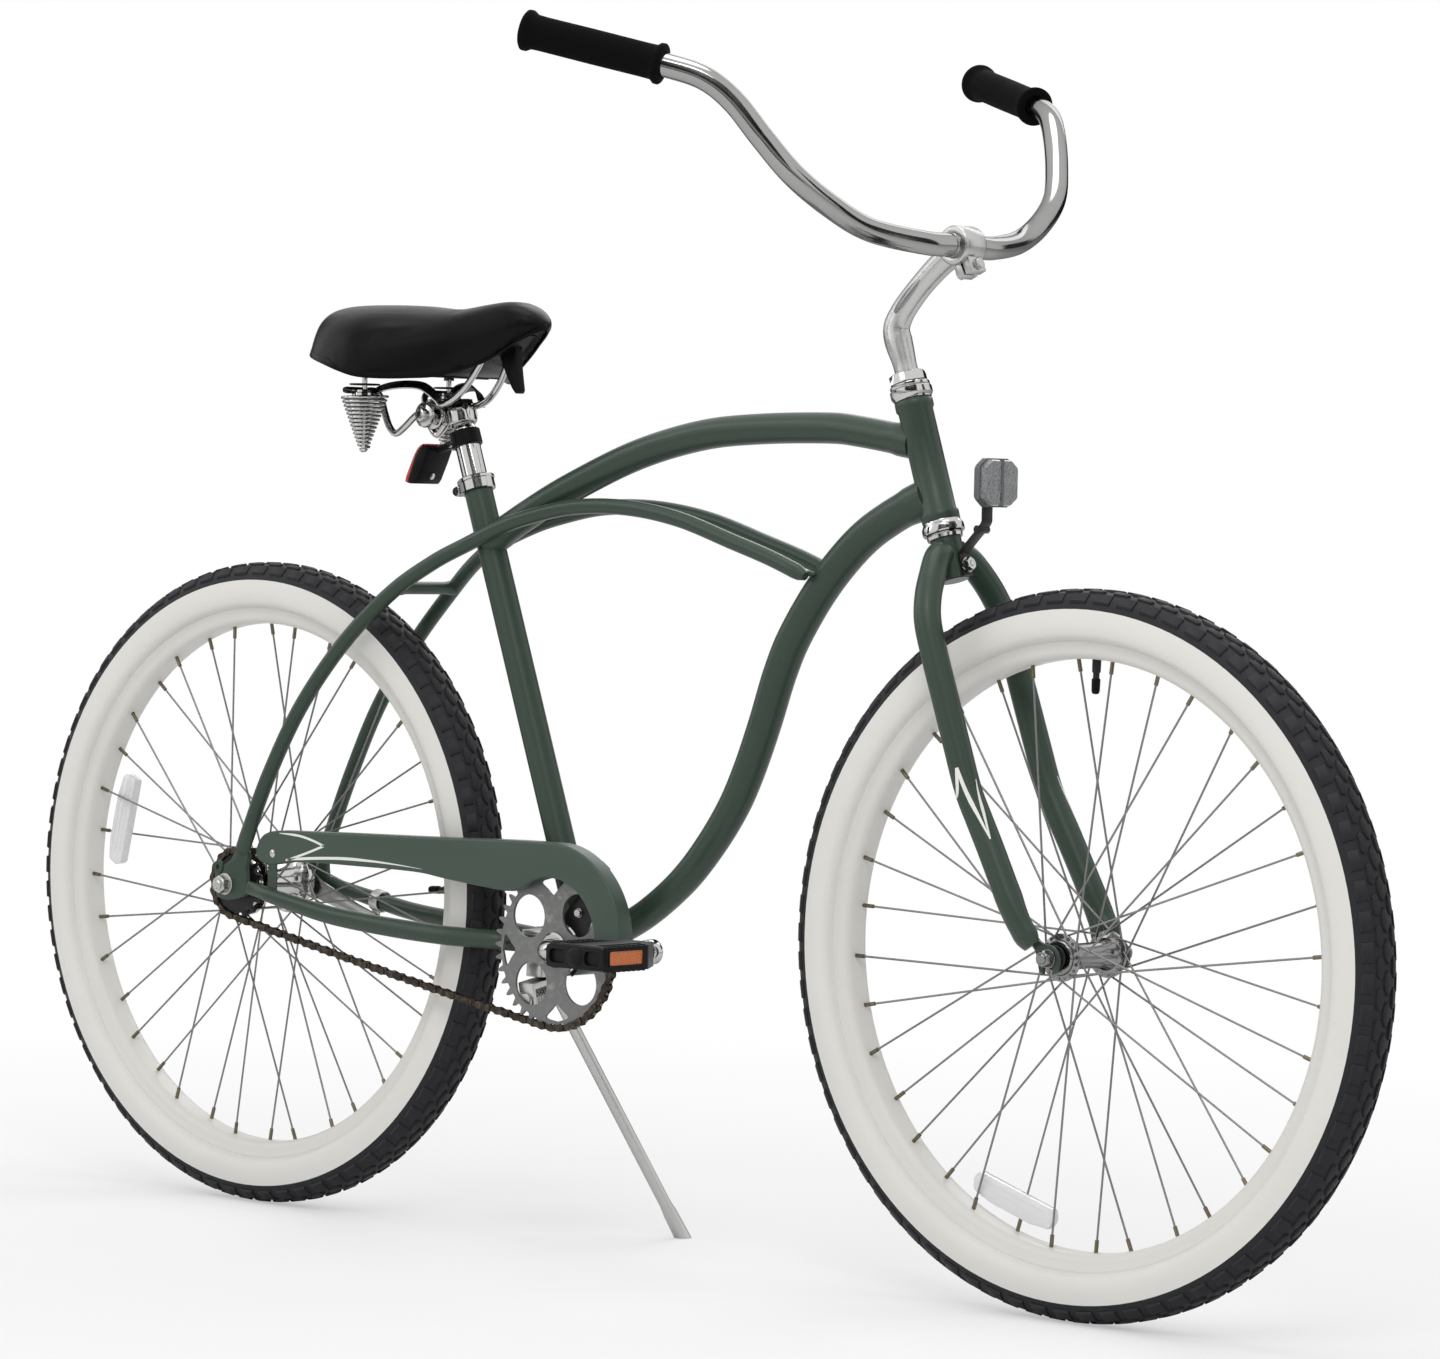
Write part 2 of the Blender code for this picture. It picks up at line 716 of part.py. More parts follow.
def chain_body():
    """Side plates and rollers as one body: outer links stand wider than the inner links between them."""
    points, faces = [], []
    rows = {}
    for k in range(LINKS):
        before = chain_pins[k - 1]
        here = chain_pins[k]
        after = chain_pins[(k + 1) % LINKS]
        for end, other in ((0, before), (1, after)):
            along = unit(other - here)
            up = np.array([-along[1], along[0]]) * (1.0 if end else -1.0)
            centre = here + along * LINK_EYE
            # the outer link of a pair starts at each odd pin
            outer = (k % 2 == 1) == (end == 1)
            wide = OUTER_PLATE_Y if outer else INNER_PLATE_Y
            tall = LINK_TALL if outer else LINK_TALL * 0.9
            for side in (-1, 1):
                row = []
                for y, h in ((PLATE_IN_Y, -tall), (wide, -tall), (wide, tall), (PLATE_IN_Y, tall)):
                    flat = centre + up * h
                    row.append(len(points))
                    points.append((flat[0], CHAIN_Y + side * y, flat[1]))
                rows[k, end, side] = row
    for k in range(LINKS):
        for side in (-1, 1):
            for a, b in ((rows[k, 0, side], rows[k, 1, side]), (rows[k, 1, side], rows[(k + 1) % LINKS, 0, side])):
                for i in range(4):
                    j = (i + 1) % 4
                    at_roller = i == 3 and a is rows[k, 0, side]
                    if not at_roller:
                        faces.append((a[i], a[j], b[j], b[i]))
        # the roller joins the inner faces of the two plates at each pin
        near, far = (rows[k, 0, -1], rows[k, 1, -1]), (rows[k, 0, 1], rows[k, 1, 1])
        loop_a = [near[0][0], near[1][0], near[1][3], near[0][3]]
        loop_b = [far[0][0], far[1][0], far[1][3], far[0][3]]
        for i in range(4):
            j = (i + 1) % 4
            faces.append((loop_a[i], loop_a[j], loop_b[j], loop_b[i]))
    return make("chain", points, faces, CHAIN_BROWN, False)


chain = chain_body()


# Crank and pedals
def crank_point(along, y, up=0.0):
    c, s = math.cos(CRANK_ANGLE), math.sin(CRANK_ANGLE)
    return BB + np.array([along * c - up * s, y, along * s + up * c])


CRANK_CORE = 0.0090
ARM_Y = 0.0605
ARM_BEND = 0.0150
arm_out = unit(np.array([0.0450, 0.0060]))
arm_half = [
    (CRANK_LEN - 0.004, PEDAL_Y),
    (0.1300, PEDAL_Y - 0.0020),
    (0.0550, ARM_Y + 0.0075),
    (0.0220, ARM_Y + 0.0220 * arm_out[1] / arm_out[0]),
]
arm_half += bend(np.array([0.0, ARM_Y]), -arm_out, np.array([0.0, -1.0]), ARM_BEND, 4)
arm_radii = [0.0095, 0.0088, 0.0092, 0.0104, 0.0110, 0.0110, 0.0110, 0.0110]
crank_path = [crank_point(-a, y) for a, y in arm_half] + [crank_point(a, -y) for a, y in arm_half[::-1]]
crank_radii = arm_radii + arm_radii[::-1]
crank_flat = [0.72, 0.78, 0.85, 0.95, 1.0, 1.0, 1.0, 1.0]
crank = sweep(
    "crank", crank_path, crank_radii, 10, CHROME, hint=Y_AXIS,
    flat=crank_flat + crank_flat[::-1],
)
fuse(
    crank,
    lathe("cone_r", [(-0.0485, CRANK_CORE), (-0.0485, 0.0150), (-0.0470, 0.0170), (-0.0452, 0.0170),
                     (-0.0452, CRANK_CORE)], 10, BB, Y_AXIS, CHROME, ring=True),
)
fuse(
    crank,
    lathe("cone_in", [(-0.0418, CRANK_CORE), (-0.0418, 0.0160), (-0.0392, 0.0160), (-0.0392, CRANK_CORE)],
          10, BB, Y_AXIS, CHROME, ring=True),
)
fuse(
    crank,
    lathe("cone_l", [(0.0392, CRANK_CORE), (0.0392, 0.0160), (0.0425, 0.0175), (0.0470, 0.0175),
                     (0.0470, CRANK_CORE)], 10, BB, Y_AXIS, CHROME, ring=True),
)
EYE_T = 0.0130
for sign in (-1, 1):
    eye = crank_point(-sign * CRANK_LEN, sign * PEDAL_Y)
    fuse(crank, lathe("eye", [(-EYE_T / 2, 0.0120), (EYE_T / 2, 0.0120)], 10, eye, Y_AXIS, CHROME))
    cut(crank, lathe("eye_hole", [(-0.02, 0.0073), (0.02, 0.0073)], 8, eye, Y_AXIS, CHROME))
set_origin(crank, BB)

PEDAL_IN = PEDAL_Y + EYE_T / 2 + 0.0060
PEDAL_W = 0.0960
PEDAL_L = 0.0780
PEDAL_H = 0.0270


def pedal(name, sign):
    """A resin platform on its spindle; sign is +1 on the left."""
    eye = crank_point(-sign * CRANK_LEN, 0.0)
    mid = eye + Y_AXIS * sign * (PEDAL_IN + PEDAL_W / 2)
    side = [
        (-PEDAL_L / 2, -PEDAL_H * 0.32), (-PEDAL_L / 2 + 0.006, -PEDAL_H / 2), (PEDAL_L / 2 - 0.006, -PEDAL_H / 2),
        (PEDAL_L / 2, -PEDAL_H * 0.32), (PEDAL_L / 2, PEDAL_H * 0.32), (PEDAL_L / 2 - 0.006, PEDAL_H / 2),
        (-PEDAL_L / 2 + 0.006, PEDAL_H / 2), (-PEDAL_L / 2, PEDAL_H * 0.32),
    ]
    body = plate(name, side, [], mid - Y_AXIS * PEDAL_W / 2, X_AXIS, Z_AXIS, Y_AXIS * PEDAL_W, RESIN)
    for px in (-0.0195, 0.0195):
        cut(body, block("window", mid + X_AXIS * px, (0.0135, PEDAL_W - 0.022, PEDAL_H * 1.2), RESIN))
    for pz in (-1, 1):
        cut(body, block("tread", mid + Z_AXIS * pz * PEDAL_H / 2, (0.0480, PEDAL_W - 0.034, 0.0060), RESIN))
    cut(body, lathe("bore", [(-0.08, 0.0058), (0.08, 0.0058)], 10, mid, Y_AXIS, RESIN))
    set_origin(body, mid)
    return body


def pedal_spindle(name, sign):
    eye = crank_point(-sign * CRANK_LEN, 0.0)
    a = PEDAL_Y - EYE_T / 2 - 0.0005
    b = PEDAL_Y + EYE_T / 2 + GAP
    profile = [(a, 0.0066), (b, 0.0066), (b, 0.0092), (b + 0.0030, 0.0092), (b + 0.0030, 0.0054),
               (PEDAL_IN + PEDAL_W - 0.0060, 0.0054)]
    return lathe(name, profile, 10, eye, Y_AXIS * sign, CHROME)


pedal_right = pedal("pedal_right", -1)
pedal_left = pedal("pedal_left", 1)
pedal_spindle_right = pedal_spindle("pedal_spindle_right", -1)
pedal_spindle_left = pedal_spindle("pedal_spindle_left", 1)


# Frame
HEAD_BORE = 0.0144
head_tube = tube("head_tube", HEAD_LOW, HEAD_HIGH, HEAD_R, HEAD_BORE, 16, STEER_FOOT, UP, PAINT)
seat_tube = tube("seat_tube", 0.0100, SEAT_TUBE_LEN, SEAT_TUBE_R, SEAT_POST_R + GAP, 18, BB, SEAT_UP, PAINT)
bb_shell = tube("bottom_bracket_shell", -BB_HALF, BB_HALF, BB_R, 0.0228, 18, BB, Y_AXIS, PAINT)
bb_cutter = cutter(-0.06, 0.06, BB_R, 24, BB, Y_AXIS)
head_cutter = cutter(HEAD_LOW - 0.05, HEAD_HIGH + 0.05, HEAD_R, 20, STEER_FOOT, UP)
seat_cutter = cutter(0.02, SEAT_TUBE_LEN + 0.06, SEAT_TUBE_R, 18, BB, SEAT_UP)
cut(seat_tube, bb_cutter, keep=True)

TOP_PATH = [(0.3260, 0.7975), (0.2600, 0.8070), (0.2180, 0.8103), (0.1310, 0.8088), (0.0570, 0.8022),
            (-0.0265, 0.7827), (-0.1117, 0.7506), (-0.1700, 0.7235), (-0.2247, 0.6945)]
top_line = natural([carried(x, 0.0, z) for x, z in TOP_PATH], 12)
top_tube = sweep("top_tube", top_line, TOP_R, 12, PAINT, hint=Y_AXIS)
cut(top_tube, head_cutter, keep=True)
cut(top_tube, seat_cutter, keep=True)

DOWN_PATH = [(0.3450, 0.7480), (0.3000, 0.7280), (0.2600, 0.7030), (0.2180, 0.6620), (0.1830, 0.6140),
             (0.1640, 0.5760), (0.1465, 0.5280), (0.1275, 0.4820), (0.1080, 0.4450), (0.0800, 0.4070),
             (0.0470, 0.3720), (0.0050, 0.3400), (-0.0350, 0.3180), (-0.0800, 0.2980)]
DOWN_STEPS = 14
DOWN_RADII = (0.0168, 0.0165, 0.0158, 0.0145, 0.0140)
down_line = natural([carried(x, 0.0, z) for x, z in DOWN_PATH], DOWN_STEPS)
down_radii = np.interp(np.linspace(0, 1, DOWN_STEPS), (0, 0.35, 0.6, 0.8, 1.0), DOWN_RADII)
down_tube = sweep("down_tube", down_line, down_radii, 12, PAINT, hint=Y_AXIS)
cut(down_tube, head_cutter, keep=True)
cut(down_tube, bb_cutter, keep=True)
cut(down_tube, seat_cutter, keep=True)

TWIN_FLAT = TWIN_R * math.cos(math.pi / 8) + GAP
TWIN_DOWN_Y = float(down_radii[2]) * math.cos(math.pi / 12) + TWIN_FLAT
TWIN_TOP_Y = TOP_R * math.cos(math.pi / 12) + TWIN_FLAT
TWIN_SEAT_Y = SEAT_TUBE_R * math.cos(math.pi / 18) + TWIN_FLAT
TWIN_PATH = [(0.2140, TWIN_DOWN_Y, 0.6700), (0.1700, TWIN_DOWN_Y, 0.6860), (0.1200, TWIN_DOWN_Y, 0.7010),
             (0.0500, 0.5 * (TWIN_DOWN_Y + TWIN_TOP_Y), 0.7210), (-0.0200, TWIN_TOP_Y, 0.7310),
             (-0.0900, TWIN_TOP_Y, 0.7305), (-0.1500, TWIN_TOP_Y, 0.7200), (-0.1900, TWIN_SEAT_Y, 0.7090),
             (-0.2350, TWIN_SEAT_Y, 0.6915), (-0.2750, 0.0300, 0.6720), (-0.3218, 0.0425, 0.6400),
             (-0.3799, 0.0510, 0.5877), (-0.4358, 0.0560, 0.5203), (-0.4777, 0.0592, 0.4483),
             (-0.5050, 0.0600, 0.3900), (-0.5145, 0.0600, 0.3682)]
twin_left_line = natural([carried(*at) for at in TWIN_PATH], 20)
twin_right_line = twin_left_line * np.array([1.0, -1.0, 1.0])
twin_tube_right = sweep("twin_tube_right", twin_right_line, TWIN_R, 8, PAINT, hint=Y_AXIS)
twin_tube_left = sweep("twin_tube_left", twin_left_line, TWIN_R, 8, PAINT, hint=Y_AXIS)
down_grown = sweep("cutter", down_line, down_radii + 2 * GAP, 12, PAINT, hint=Y_AXIS)
top_grown = sweep("cutter", top_line, TOP_R + 2 * GAP, 12, PAINT, hint=Y_AXIS)
for twin in (twin_tube_right, twin_tube_left):
    cut(twin, down_grown, keep=True)
    cut(twin, top_grown, keep=True)
    cut(twin, seat_cutter, keep=True)

BRIDGE_AT = carried(-0.3150, 0.0, 0.6455)
stay_bridge = sweep("stay_bridge", [BRIDGE_AT - Y_AXIS * 0.039, BRIDGE_AT + Y_AXIS * 0.039], 0.0065, 8, PAINT)
twin_grown_r = sweep("cutter", twin_right_line, TWIN_R + 2 * GAP, 8, PAINT, hint=Y_AXIS)
twin_grown_l = sweep("cutter", twin_left_line, TWIN_R + 2 * GAP, 8, PAINT, hint=Y_AXIS)
for grown in (twin_grown_r, twin_grown_l):
    cut(stay_bridge, grown, keep=True)

STAY_PATH = [(-0.0950, 0.0250, 0.2990), (-0.1300, 0.0270, 0.2990), (-0.1700, 0.0300, 0.2995),
             (-0.2000, 0.0375, 0.3000), (-0.2350, 0.0470, 0.3010), (-0.3000, 0.0540, 0.3045),
             (-0.3800, 0.0565, 0.3105), (-0.4500, 0.0580, 0.3215), (-0.5060, 0.0585, 0.3320)]
STAY_STEPS = 12
stay_radii = np.interp(np.linspace(0, 1, STAY_STEPS), [0, 0.45, 0.75, 1.0], [0.0095, 0.0098, 0.0090, 0.0070])
stay_left_line = natural([carried(*at) for at in STAY_PATH], STAY_STEPS)
stay_right_line = stay_left_line * np.array([1.0, -1.0, 1.0])
chainstay_right = sweep("chainstay_right", stay_right_line, stay_radii, 10, PAINT, hint=Y_AXIS)
chainstay_left = sweep("chainstay_left", stay_left_line, stay_radii, 10, PAINT, hint=Y_AXIS)
for stay in (chainstay_right, chainstay_left):
    cut(stay, bb_cutter, keep=True)
    cut(stay, seat_cutter, keep=True)
stay_grown_r = sweep("cutter", stay_right_line, stay_radii + 2 * GAP, 10, PAINT, hint=Y_AXIS)
stay_grown_l = sweep("cutter", stay_left_line, stay_radii + 2 * GAP, 10, PAINT, hint=Y_AXIS)


RACK_AT = np.array([-0.0110, 0.0, 0.0170])
RACK_R = 0.0070
RACK_PROUD = 0.0012


def dropout(name, sign):
    """A flat end plate with a slot for the axle that opens backwards."""
    ax, az = REAR[0], REAR[2]
    slot = (AXLE_R + GAP) * 1.08
    outline = [
        (ax - 0.0160, az - slot), (ax, az - slot), (ax + slot * 0.7, az - slot * 0.7), (ax + slot, az),
        (ax + slot * 0.7, az + slot * 0.7), (ax, az + slot), (ax - 0.0160, az + slot), (ax - 0.0165, az + 0.0110),
        (ax - 0.0080, az + 0.0160), (ax + 0.0080, az + 0.0260), (ax + 0.0175, az + 0.0385),
        (ax + 0.0330, az + 0.0350), (ax + 0.0300, az + 0.0180), (ax + 0.0312, az + 0.0060),
        (ax + 0.0310, az - 0.0080), (ax + 0.0180, az - 0.0140), (ax, az - 0.0165), (ax - 0.0130, az - 0.0140),
    ]
    base = Y_AXIS * sign * REAR_DROP_HALF
    plate_obj = plate(name, outline, [], base, X_AXIS, Z_AXIS, Y_AXIS * sign * DROP_T, PAINT)
    # the rack boss stands proud of the plate, above and behind the axle nut
    boss = [(DROP_T / 2, RACK_R), (DROP_T + RACK_PROUD, RACK_R)]
    fuse(plate_obj, lathe("boss", boss, 12, REAR + base + RACK_AT, Y_AXIS * sign, PAINT, hint=Z_AXIS))
    cut(plate_obj, twin_grown_r if sign < 0 else twin_grown_l, keep=True)
    cut(plate_obj, stay_grown_r if sign < 0 else stay_grown_l, keep=True)
    return plate_obj


dropout_right = dropout("dropout_right", -1)
dropout_left = dropout("dropout_left", 1)

GUARD_PLATE_T = 0.0016
CUP_SEAT = BB_HALF + GUARD_PLATE_T + 2 * GAP
bb_cup_right = lathe(
    "bb_cup_right",
    [(-0.0388, 0.0165), (-0.0388, 0.0240), (-0.0375, 0.0262), (-CUP_SEAT, 0.0262), (-CUP_SEAT, 0.0225),
     (-0.0260, 0.0225), (-0.0260, 0.0165)],
    14, BB, Y_AXIS, CHROME, ring=True,
)
bb_cup_left = lathe(
    "bb_cup_left",
    [(0.0388, 0.0165), (0.0388, 0.0235), (0.0375, 0.0260), (BB_HALF + GAP, 0.0262), (BB_HALF + GAP, 0.0225),
     (0.0260, 0.0225), (0.0260, 0.0165)],
    14, BB, Y_AXIS, CHROME, ring=True,
)
CUP_BORE = (STEERER_R + GAP) / math.cos(math.pi / 14)
headset_lower_cup = lathe(
    "headset_lower_cup",
    [(HEAD_LOW - 0.0112, 0.0174), (HEAD_LOW - 0.0112, 0.0200), (HEAD_LOW - 0.0040, 0.0200),
     (HEAD_LOW - GAP, 0.0175), (HEAD_LOW - GAP, 0.0141), (HEAD_LOW + 0.0090, 0.0141),
     (HEAD_LOW + 0.0090, CUP_BORE), (HEAD_LOW - 0.0070, CUP_BORE), (HEAD_LOW - 0.0090, 0.0174)],
    14, STEER_FOOT, UP, CHROME, ring=True,
)
headset_upper_cup = lathe(
    "headset_upper_cup",
    [(HEAD_HIGH - 0.0095, CUP_BORE), (HEAD_HIGH - 0.0095, 0.0141), (HEAD_HIGH + GAP, 0.0141),
     (HEAD_HIGH + GAP, 0.0175), (HEAD_HIGH + 0.0045, 0.0200), (HEAD_HIGH + 0.0115, 0.0200),
     (HEAD_HIGH + 0.0115, CUP_BORE)],
    14, STEER_FOOT, UP, CHROME, ring=True,
)


# Chainguard
GUARD_OUT_Y = -0.0590
GUARD_DEPTH = 0.0180
GUARD_WALL = 0.0012
GUARD_C = carry(-0.0750, 0.3090)
GUARD_R = 0.0935
GUARD_IN_R = 0.0610


GUARD_IN_C = carry(-0.0780, 0.3070)
GUARD_LOW = [(-0.4840, 0.3575), (-0.4700, 0.3570), (-0.4280, 0.3625), (-0.3500, 0.3632), (-0.2650, 0.3625),
             (-0.2190, 0.3570), (-0.1500, 0.3520), (-0.1290, 0.3520)]
GUARD_HIGH = [(-0.2200, 0.3995), (-0.3600, 0.3960), (-0.4700, 0.3925), (-0.4835, 0.3890)]
GUARD_TAIL = [(-0.4930, 0.3790), (-0.4960, 0.3700)]


def guard_outline(inset, inner_r):
    """The guard seen from the side, with its walls drawn in by the inset."""
    front = arc(GUARD_C, GUARD_R - inset, -13.0, 92.0, 11)
    tail = [(x, z - inset) for x, z in GUARD_HIGH]
    tail += [(x + inset, z) for x, z in GUARD_TAIL]
    tail += [(-0.4930 + inset, 0.3620 + inset)]
    tail += [(x, z + inset) for x, z in GUARD_LOW]
    return front + [carry(x, z) for x, z in tail] + arc(GUARD_IN_C, inner_r, 126.0, -16.0, 10)


chainguard = plate(
    "chainguard", guard_outline(0.0, GUARD_IN_R), [], Y_AXIS * GUARD_OUT_Y, X_AXIS, Z_AXIS,
    Y_AXIS * GUARD_DEPTH, PAINT,
)
pocket = guard_outline(GUARD_WALL, GUARD_IN_R - 0.0060)
pocket = [(pocket[0][0], pocket[0][1] - 0.0060)] + pocket + [(pocket[-1][0], pocket[-1][1] - 0.0060)]
cut(
    chainguard,
    plate("pocket", pocket, [], Y_AXIS * (GUARD_OUT_Y + GUARD_WALL), X_AXIS, Z_AXIS, Y_AXIS * GUARD_DEPTH, PAINT),
)
# the lower flange is shallow, so that the chain passes above it and out at the rear end
band = [(-0.1050, 0.3640), (-0.1290, 0.3570)] + [(x, z + 0.0042) for x, z in GUARD_LOW[-2:1:-1]]
band += [(-0.4700, 0.3625), (-0.4800, 0.3635), (-0.4870, 0.3690), (-0.4870, 0.3800), (-0.5100, 0.3800),
         (-0.5100, 0.3400), (-0.1050, 0.3400)]
band = [carry(x, z) for x, z in band]
cut(
    chainguard,
    plate("band", band, [], Y_AXIS * (GUARD_OUT_Y + 0.0075), X_AXIS, Z_AXIS, Y_AXIS * GUARD_DEPTH, PAINT),
)
# front bracket, clamped under the right cup, and its tab out to the rim of the guard
BRACKET_TURN = 55.25
guard_out = np.array([math.cos(math.radians(BRACKET_TURN)), math.sin(math.radians(BRACKET_TURN))])
guard_side = np.array([-guard_out[1], guard_out[0]])
rim_spot = np.array(GUARD_C) + guard_out * (GUARD_R - 0.0029)
bracket = arc((BB[0], BB[2]), 0.0300, -60.0, 15.0, 5) + [
    tuple(rim_spot - guard_side * 0.0072), tuple(rim_spot + guard_side * 0.0072),
] + arc((BB[0], BB[2]), 0.0300, 90.0, 115.0, 3) + arc((BB[0], BB[2]), 0.0240, 115.0, -60.0, 8)
plate_y = -BB_HALF - GAP - GUARD_PLATE_T
fuse(
    chainguard,
    plate("bracket", bracket, [], Y_AXIS * plate_y, X_AXIS, Z_AXIS, Y_AXIS * GUARD_PLATE_T, PAINT),
)
fuse(
    chainguard,
    block(
        "tab", np.array([rim_spot[0], 0.5 * (plate_y + GUARD_OUT_Y) + 0.0065, rim_spot[1]]),
        (0.0040, 0.0125, 0.0120), PAINT,
        (np.array([guard_out[0], 0.0, guard_out[1]]), Y_AXIS, np.array([guard_side[0], 0.0, guard_side[1]])),
    ),
)
# the rear tab stands on the chainstay behind the guard's face
TAB_SIZE = np.array([0.0130, 0.0016, 0.0460])
TAB_AT = carried(-0.4715, GUARD_OUT_Y + GUARD_WALL + GAP + TAB_SIZE[1] / 2, 0.3500)
fuse(chainstay_right, block("tab", TAB_AT, TAB_SIZE, PAINT))
cut(chainguard, block("notch", TAB_AT, TAB_SIZE + 2 * GAP, PAINT))


# Seat collar, brake arm and kickstand bracket
COLLAR_HIGH = SEAT_TUBE_LEN + 0.0005
COLLAR_TALL = 0.0145
COLLAR_R = 0.0182
COLLAR_MID = COLLAR_HIGH - COLLAR_TALL / 2
SEAT_AXES = (SEAT_AHEAD, Y_AXIS, SEAT_UP)
seat_collar = tube(
    "seat_collar", COLLAR_HIGH - COLLAR_TALL, COLLAR_HIGH, COLLAR_R, SEAT_TUBE_R + GAP, 14, BB, SEAT_UP, CHROME,
)
fuse(seat_collar, block("ears", seat(COLLAR_MID, -0.0205), (0.0090, 0.0130, 0.0110), CHROME, SEAT_AXES))
cut(seat_collar, block("slit", seat(COLLAR_MID, -0.0200), (0.0160, 0.0022, 0.0200), CHROME, SEAT_AXES))
fuse(
    seat_collar,
    lathe("bolt", [(-0.0120, 0.0036), (-0.0120, 0.0048), (-0.0060, 0.0048), (-0.0060, 0.0028), (0.0060, 0.0028),
                   (0.0060, 0.0046), (0.0105, 0.0046)], 8, seat(COLLAR_MID, -0.0215), Y_AXIS, CHROME),
)

ARM_IN_Y = 0.0482
ARM_OUT_Y = 0.0508
arm_end = np.array(carry(-0.4280, 0.2985))
arm_dir = unit(arm_end - REAR[[0, 2]])
arm_up = np.array([-arm_dir[1], arm_dir[0]])
arm_len = float(np.linalg.norm(arm_end - REAR[[0, 2]]))
ARM_HALF = 0.0065
ARM_DISC_R = 0.0205
arm_outline = arc((0.0, 0.0), ARM_DISC_R, 60.0, 300.0, 9)
arm_outline += [(arm_len - 0.0300, -ARM_HALF), (arm_len, -ARM_HALF), (arm_len + 0.0045, 0.0)]
arm_outline += [(arm_len, ARM_HALF), (arm_len - 0.0300, ARM_HALF)]
brake_arm = plate(
    "brake_arm", arm_outline, [circle(0.0, 0.0, 0.0052, 10), circle(arm_len - 0.0030, 0.0, 0.0032, 8)],
    REAR + Y_AXIS * ARM_IN_Y, np.array([arm_dir[0], 0, arm_dir[1]]), np.array([arm_up[0], 0, arm_up[1]]),
    Y_AXIS * (ARM_OUT_Y - ARM_IN_Y), STEEL,
)
clip_at = carried(-0.4300, 0.0576, 0.3182)
clip_dir = unit(carried(-0.4500, 0.0580, 0.3215) - carried(-0.4100, 0.0572, 0.3150))
CLIP_IN = 0.0100
brake_arm_clip = tube("brake_arm_clip", -0.0060, 0.0060, CLIP_IN + 0.0015, CLIP_IN, 14, clip_at, clip_dir, STEEL)
clip_bolt = REAR + np.array([arm_dir[0], 0, arm_dir[1]]) * (arm_len - 0.0030)
fuse(
    brake_arm_clip,
    block("tab", np.array([clip_at[0], ARM_OUT_Y + GAP + 0.0010, 0.5 * (clip_bolt[2] + clip_at[2]) - 0.0070]),
          (0.0110, 0.0020, 0.0145), STEEL),
)
fuse(
    brake_arm_clip,
    lathe("bolt", [(ARM_IN_Y - 0.0036, 0.0048), (ARM_IN_Y - GAP, 0.0048), (ARM_IN_Y - GAP, 0.0028),
                   (ARM_OUT_Y + GAP, 0.0028), (ARM_OUT_Y + GAP, 0.0050), (0.0565, 0.0050)], 8,
          np.array([clip_bolt[0], 0.0, clip_bolt[2]]), Y_AXIS, STEEL),
)

STAND_TILT = math.radians(10.0)
STAND_AXIS = np.array([0.0, math.cos(STAND_TILT), math.sin(STAND_TILT)])
STAND_AT = carried(-0.1250, 0.0, 0.2500)
SPINDLE_R = 0.0055
STAND_LEG_R = 0.0060
FLANGES = (-0.0360, -0.0070)
FLANGE_T = 0.0040
STAND_FOOT = np.array([-0.0670, 0.1350, 0.0])


def stand(s, forward=0.0, up=0.0):
    """A point by its distance along the stand's pivot, and from it."""
    return STAND_AT + s * STAND_AXIS + forward * X_AXIS + up * np.cross(X_AXIS, STAND_AXIS)


STAND_AXES = (X_AXIS, STAND_AXIS, np.cross(X_AXIS, STAND_AXIS))
kickstand_bracket = block("kickstand_bracket", carried(-0.1280, 0.0, 0.2876), (0.0320, 0.0640, 0.0040), STEEL)
fuse(kickstand_bracket, block("column", carried(-0.1280, -0.0170, 0.2760), (0.0220, 0.0200, 0.0200), STEEL))
fuse(kickstand_bracket, block("web", stand(-0.0210, 0.0, 0.0145), (0.0210, 0.0330, 0.0060), STEEL, STAND_AXES))
for flange in FLANGES:
    flange_at = stand(flange, 0.0, 0.0045)
    fuse(kickstand_bracket, block("flange", flange_at, (0.0190, FLANGE_T, 0.0240), STEEL, STAND_AXES))
cut(kickstand_bracket, cutter(-0.06, 0.03, SPINDLE_R, 10, STAND_AT, STAND_AXIS))
top_plate = block("top_plate", carried(-0.1280, 0.0, 0.3104), (0.0300, 0.0620, 0.0036), STEEL)
fuse(top_plate, lathe("bolt", [(0.0, 0.0040), (0.0245, 0.0040), (0.0245, 0.0068), (0.0305, 0.0068)], 6,
                      carried(-0.1300, 0.0, 0.2870), Z_AXIS, STEEL))
fuse(kickstand_bracket, top_plate)

leg_top = stand(0.0025)
leg_dir = unit(STAND_FOOT - leg_top)
stand_path = [stand(-0.0395)] + bend(leg_top, STAND_AXIS, leg_dir, 0.0072, 4)
stand_path += [leg_top + leg_dir * 0.0500, STAND_FOOT - leg_dir * 0.0300, STAND_FOOT + leg_dir * 0.0150]
stand_radii = [SPINDLE_R] * 5 + [STAND_LEG_R, STAND_LEG_R, 0.0080]
kickstand = sweep("kickstand", stand_path, stand_radii, 8, STEEL, hint=X_AXIS)
cut(kickstand, block("floor", STAND_FOOT - Z_AXIS * 0.0500, (0.2, 0.2, 0.1), STEEL))
set_origin(kickstand, STAND_AT)


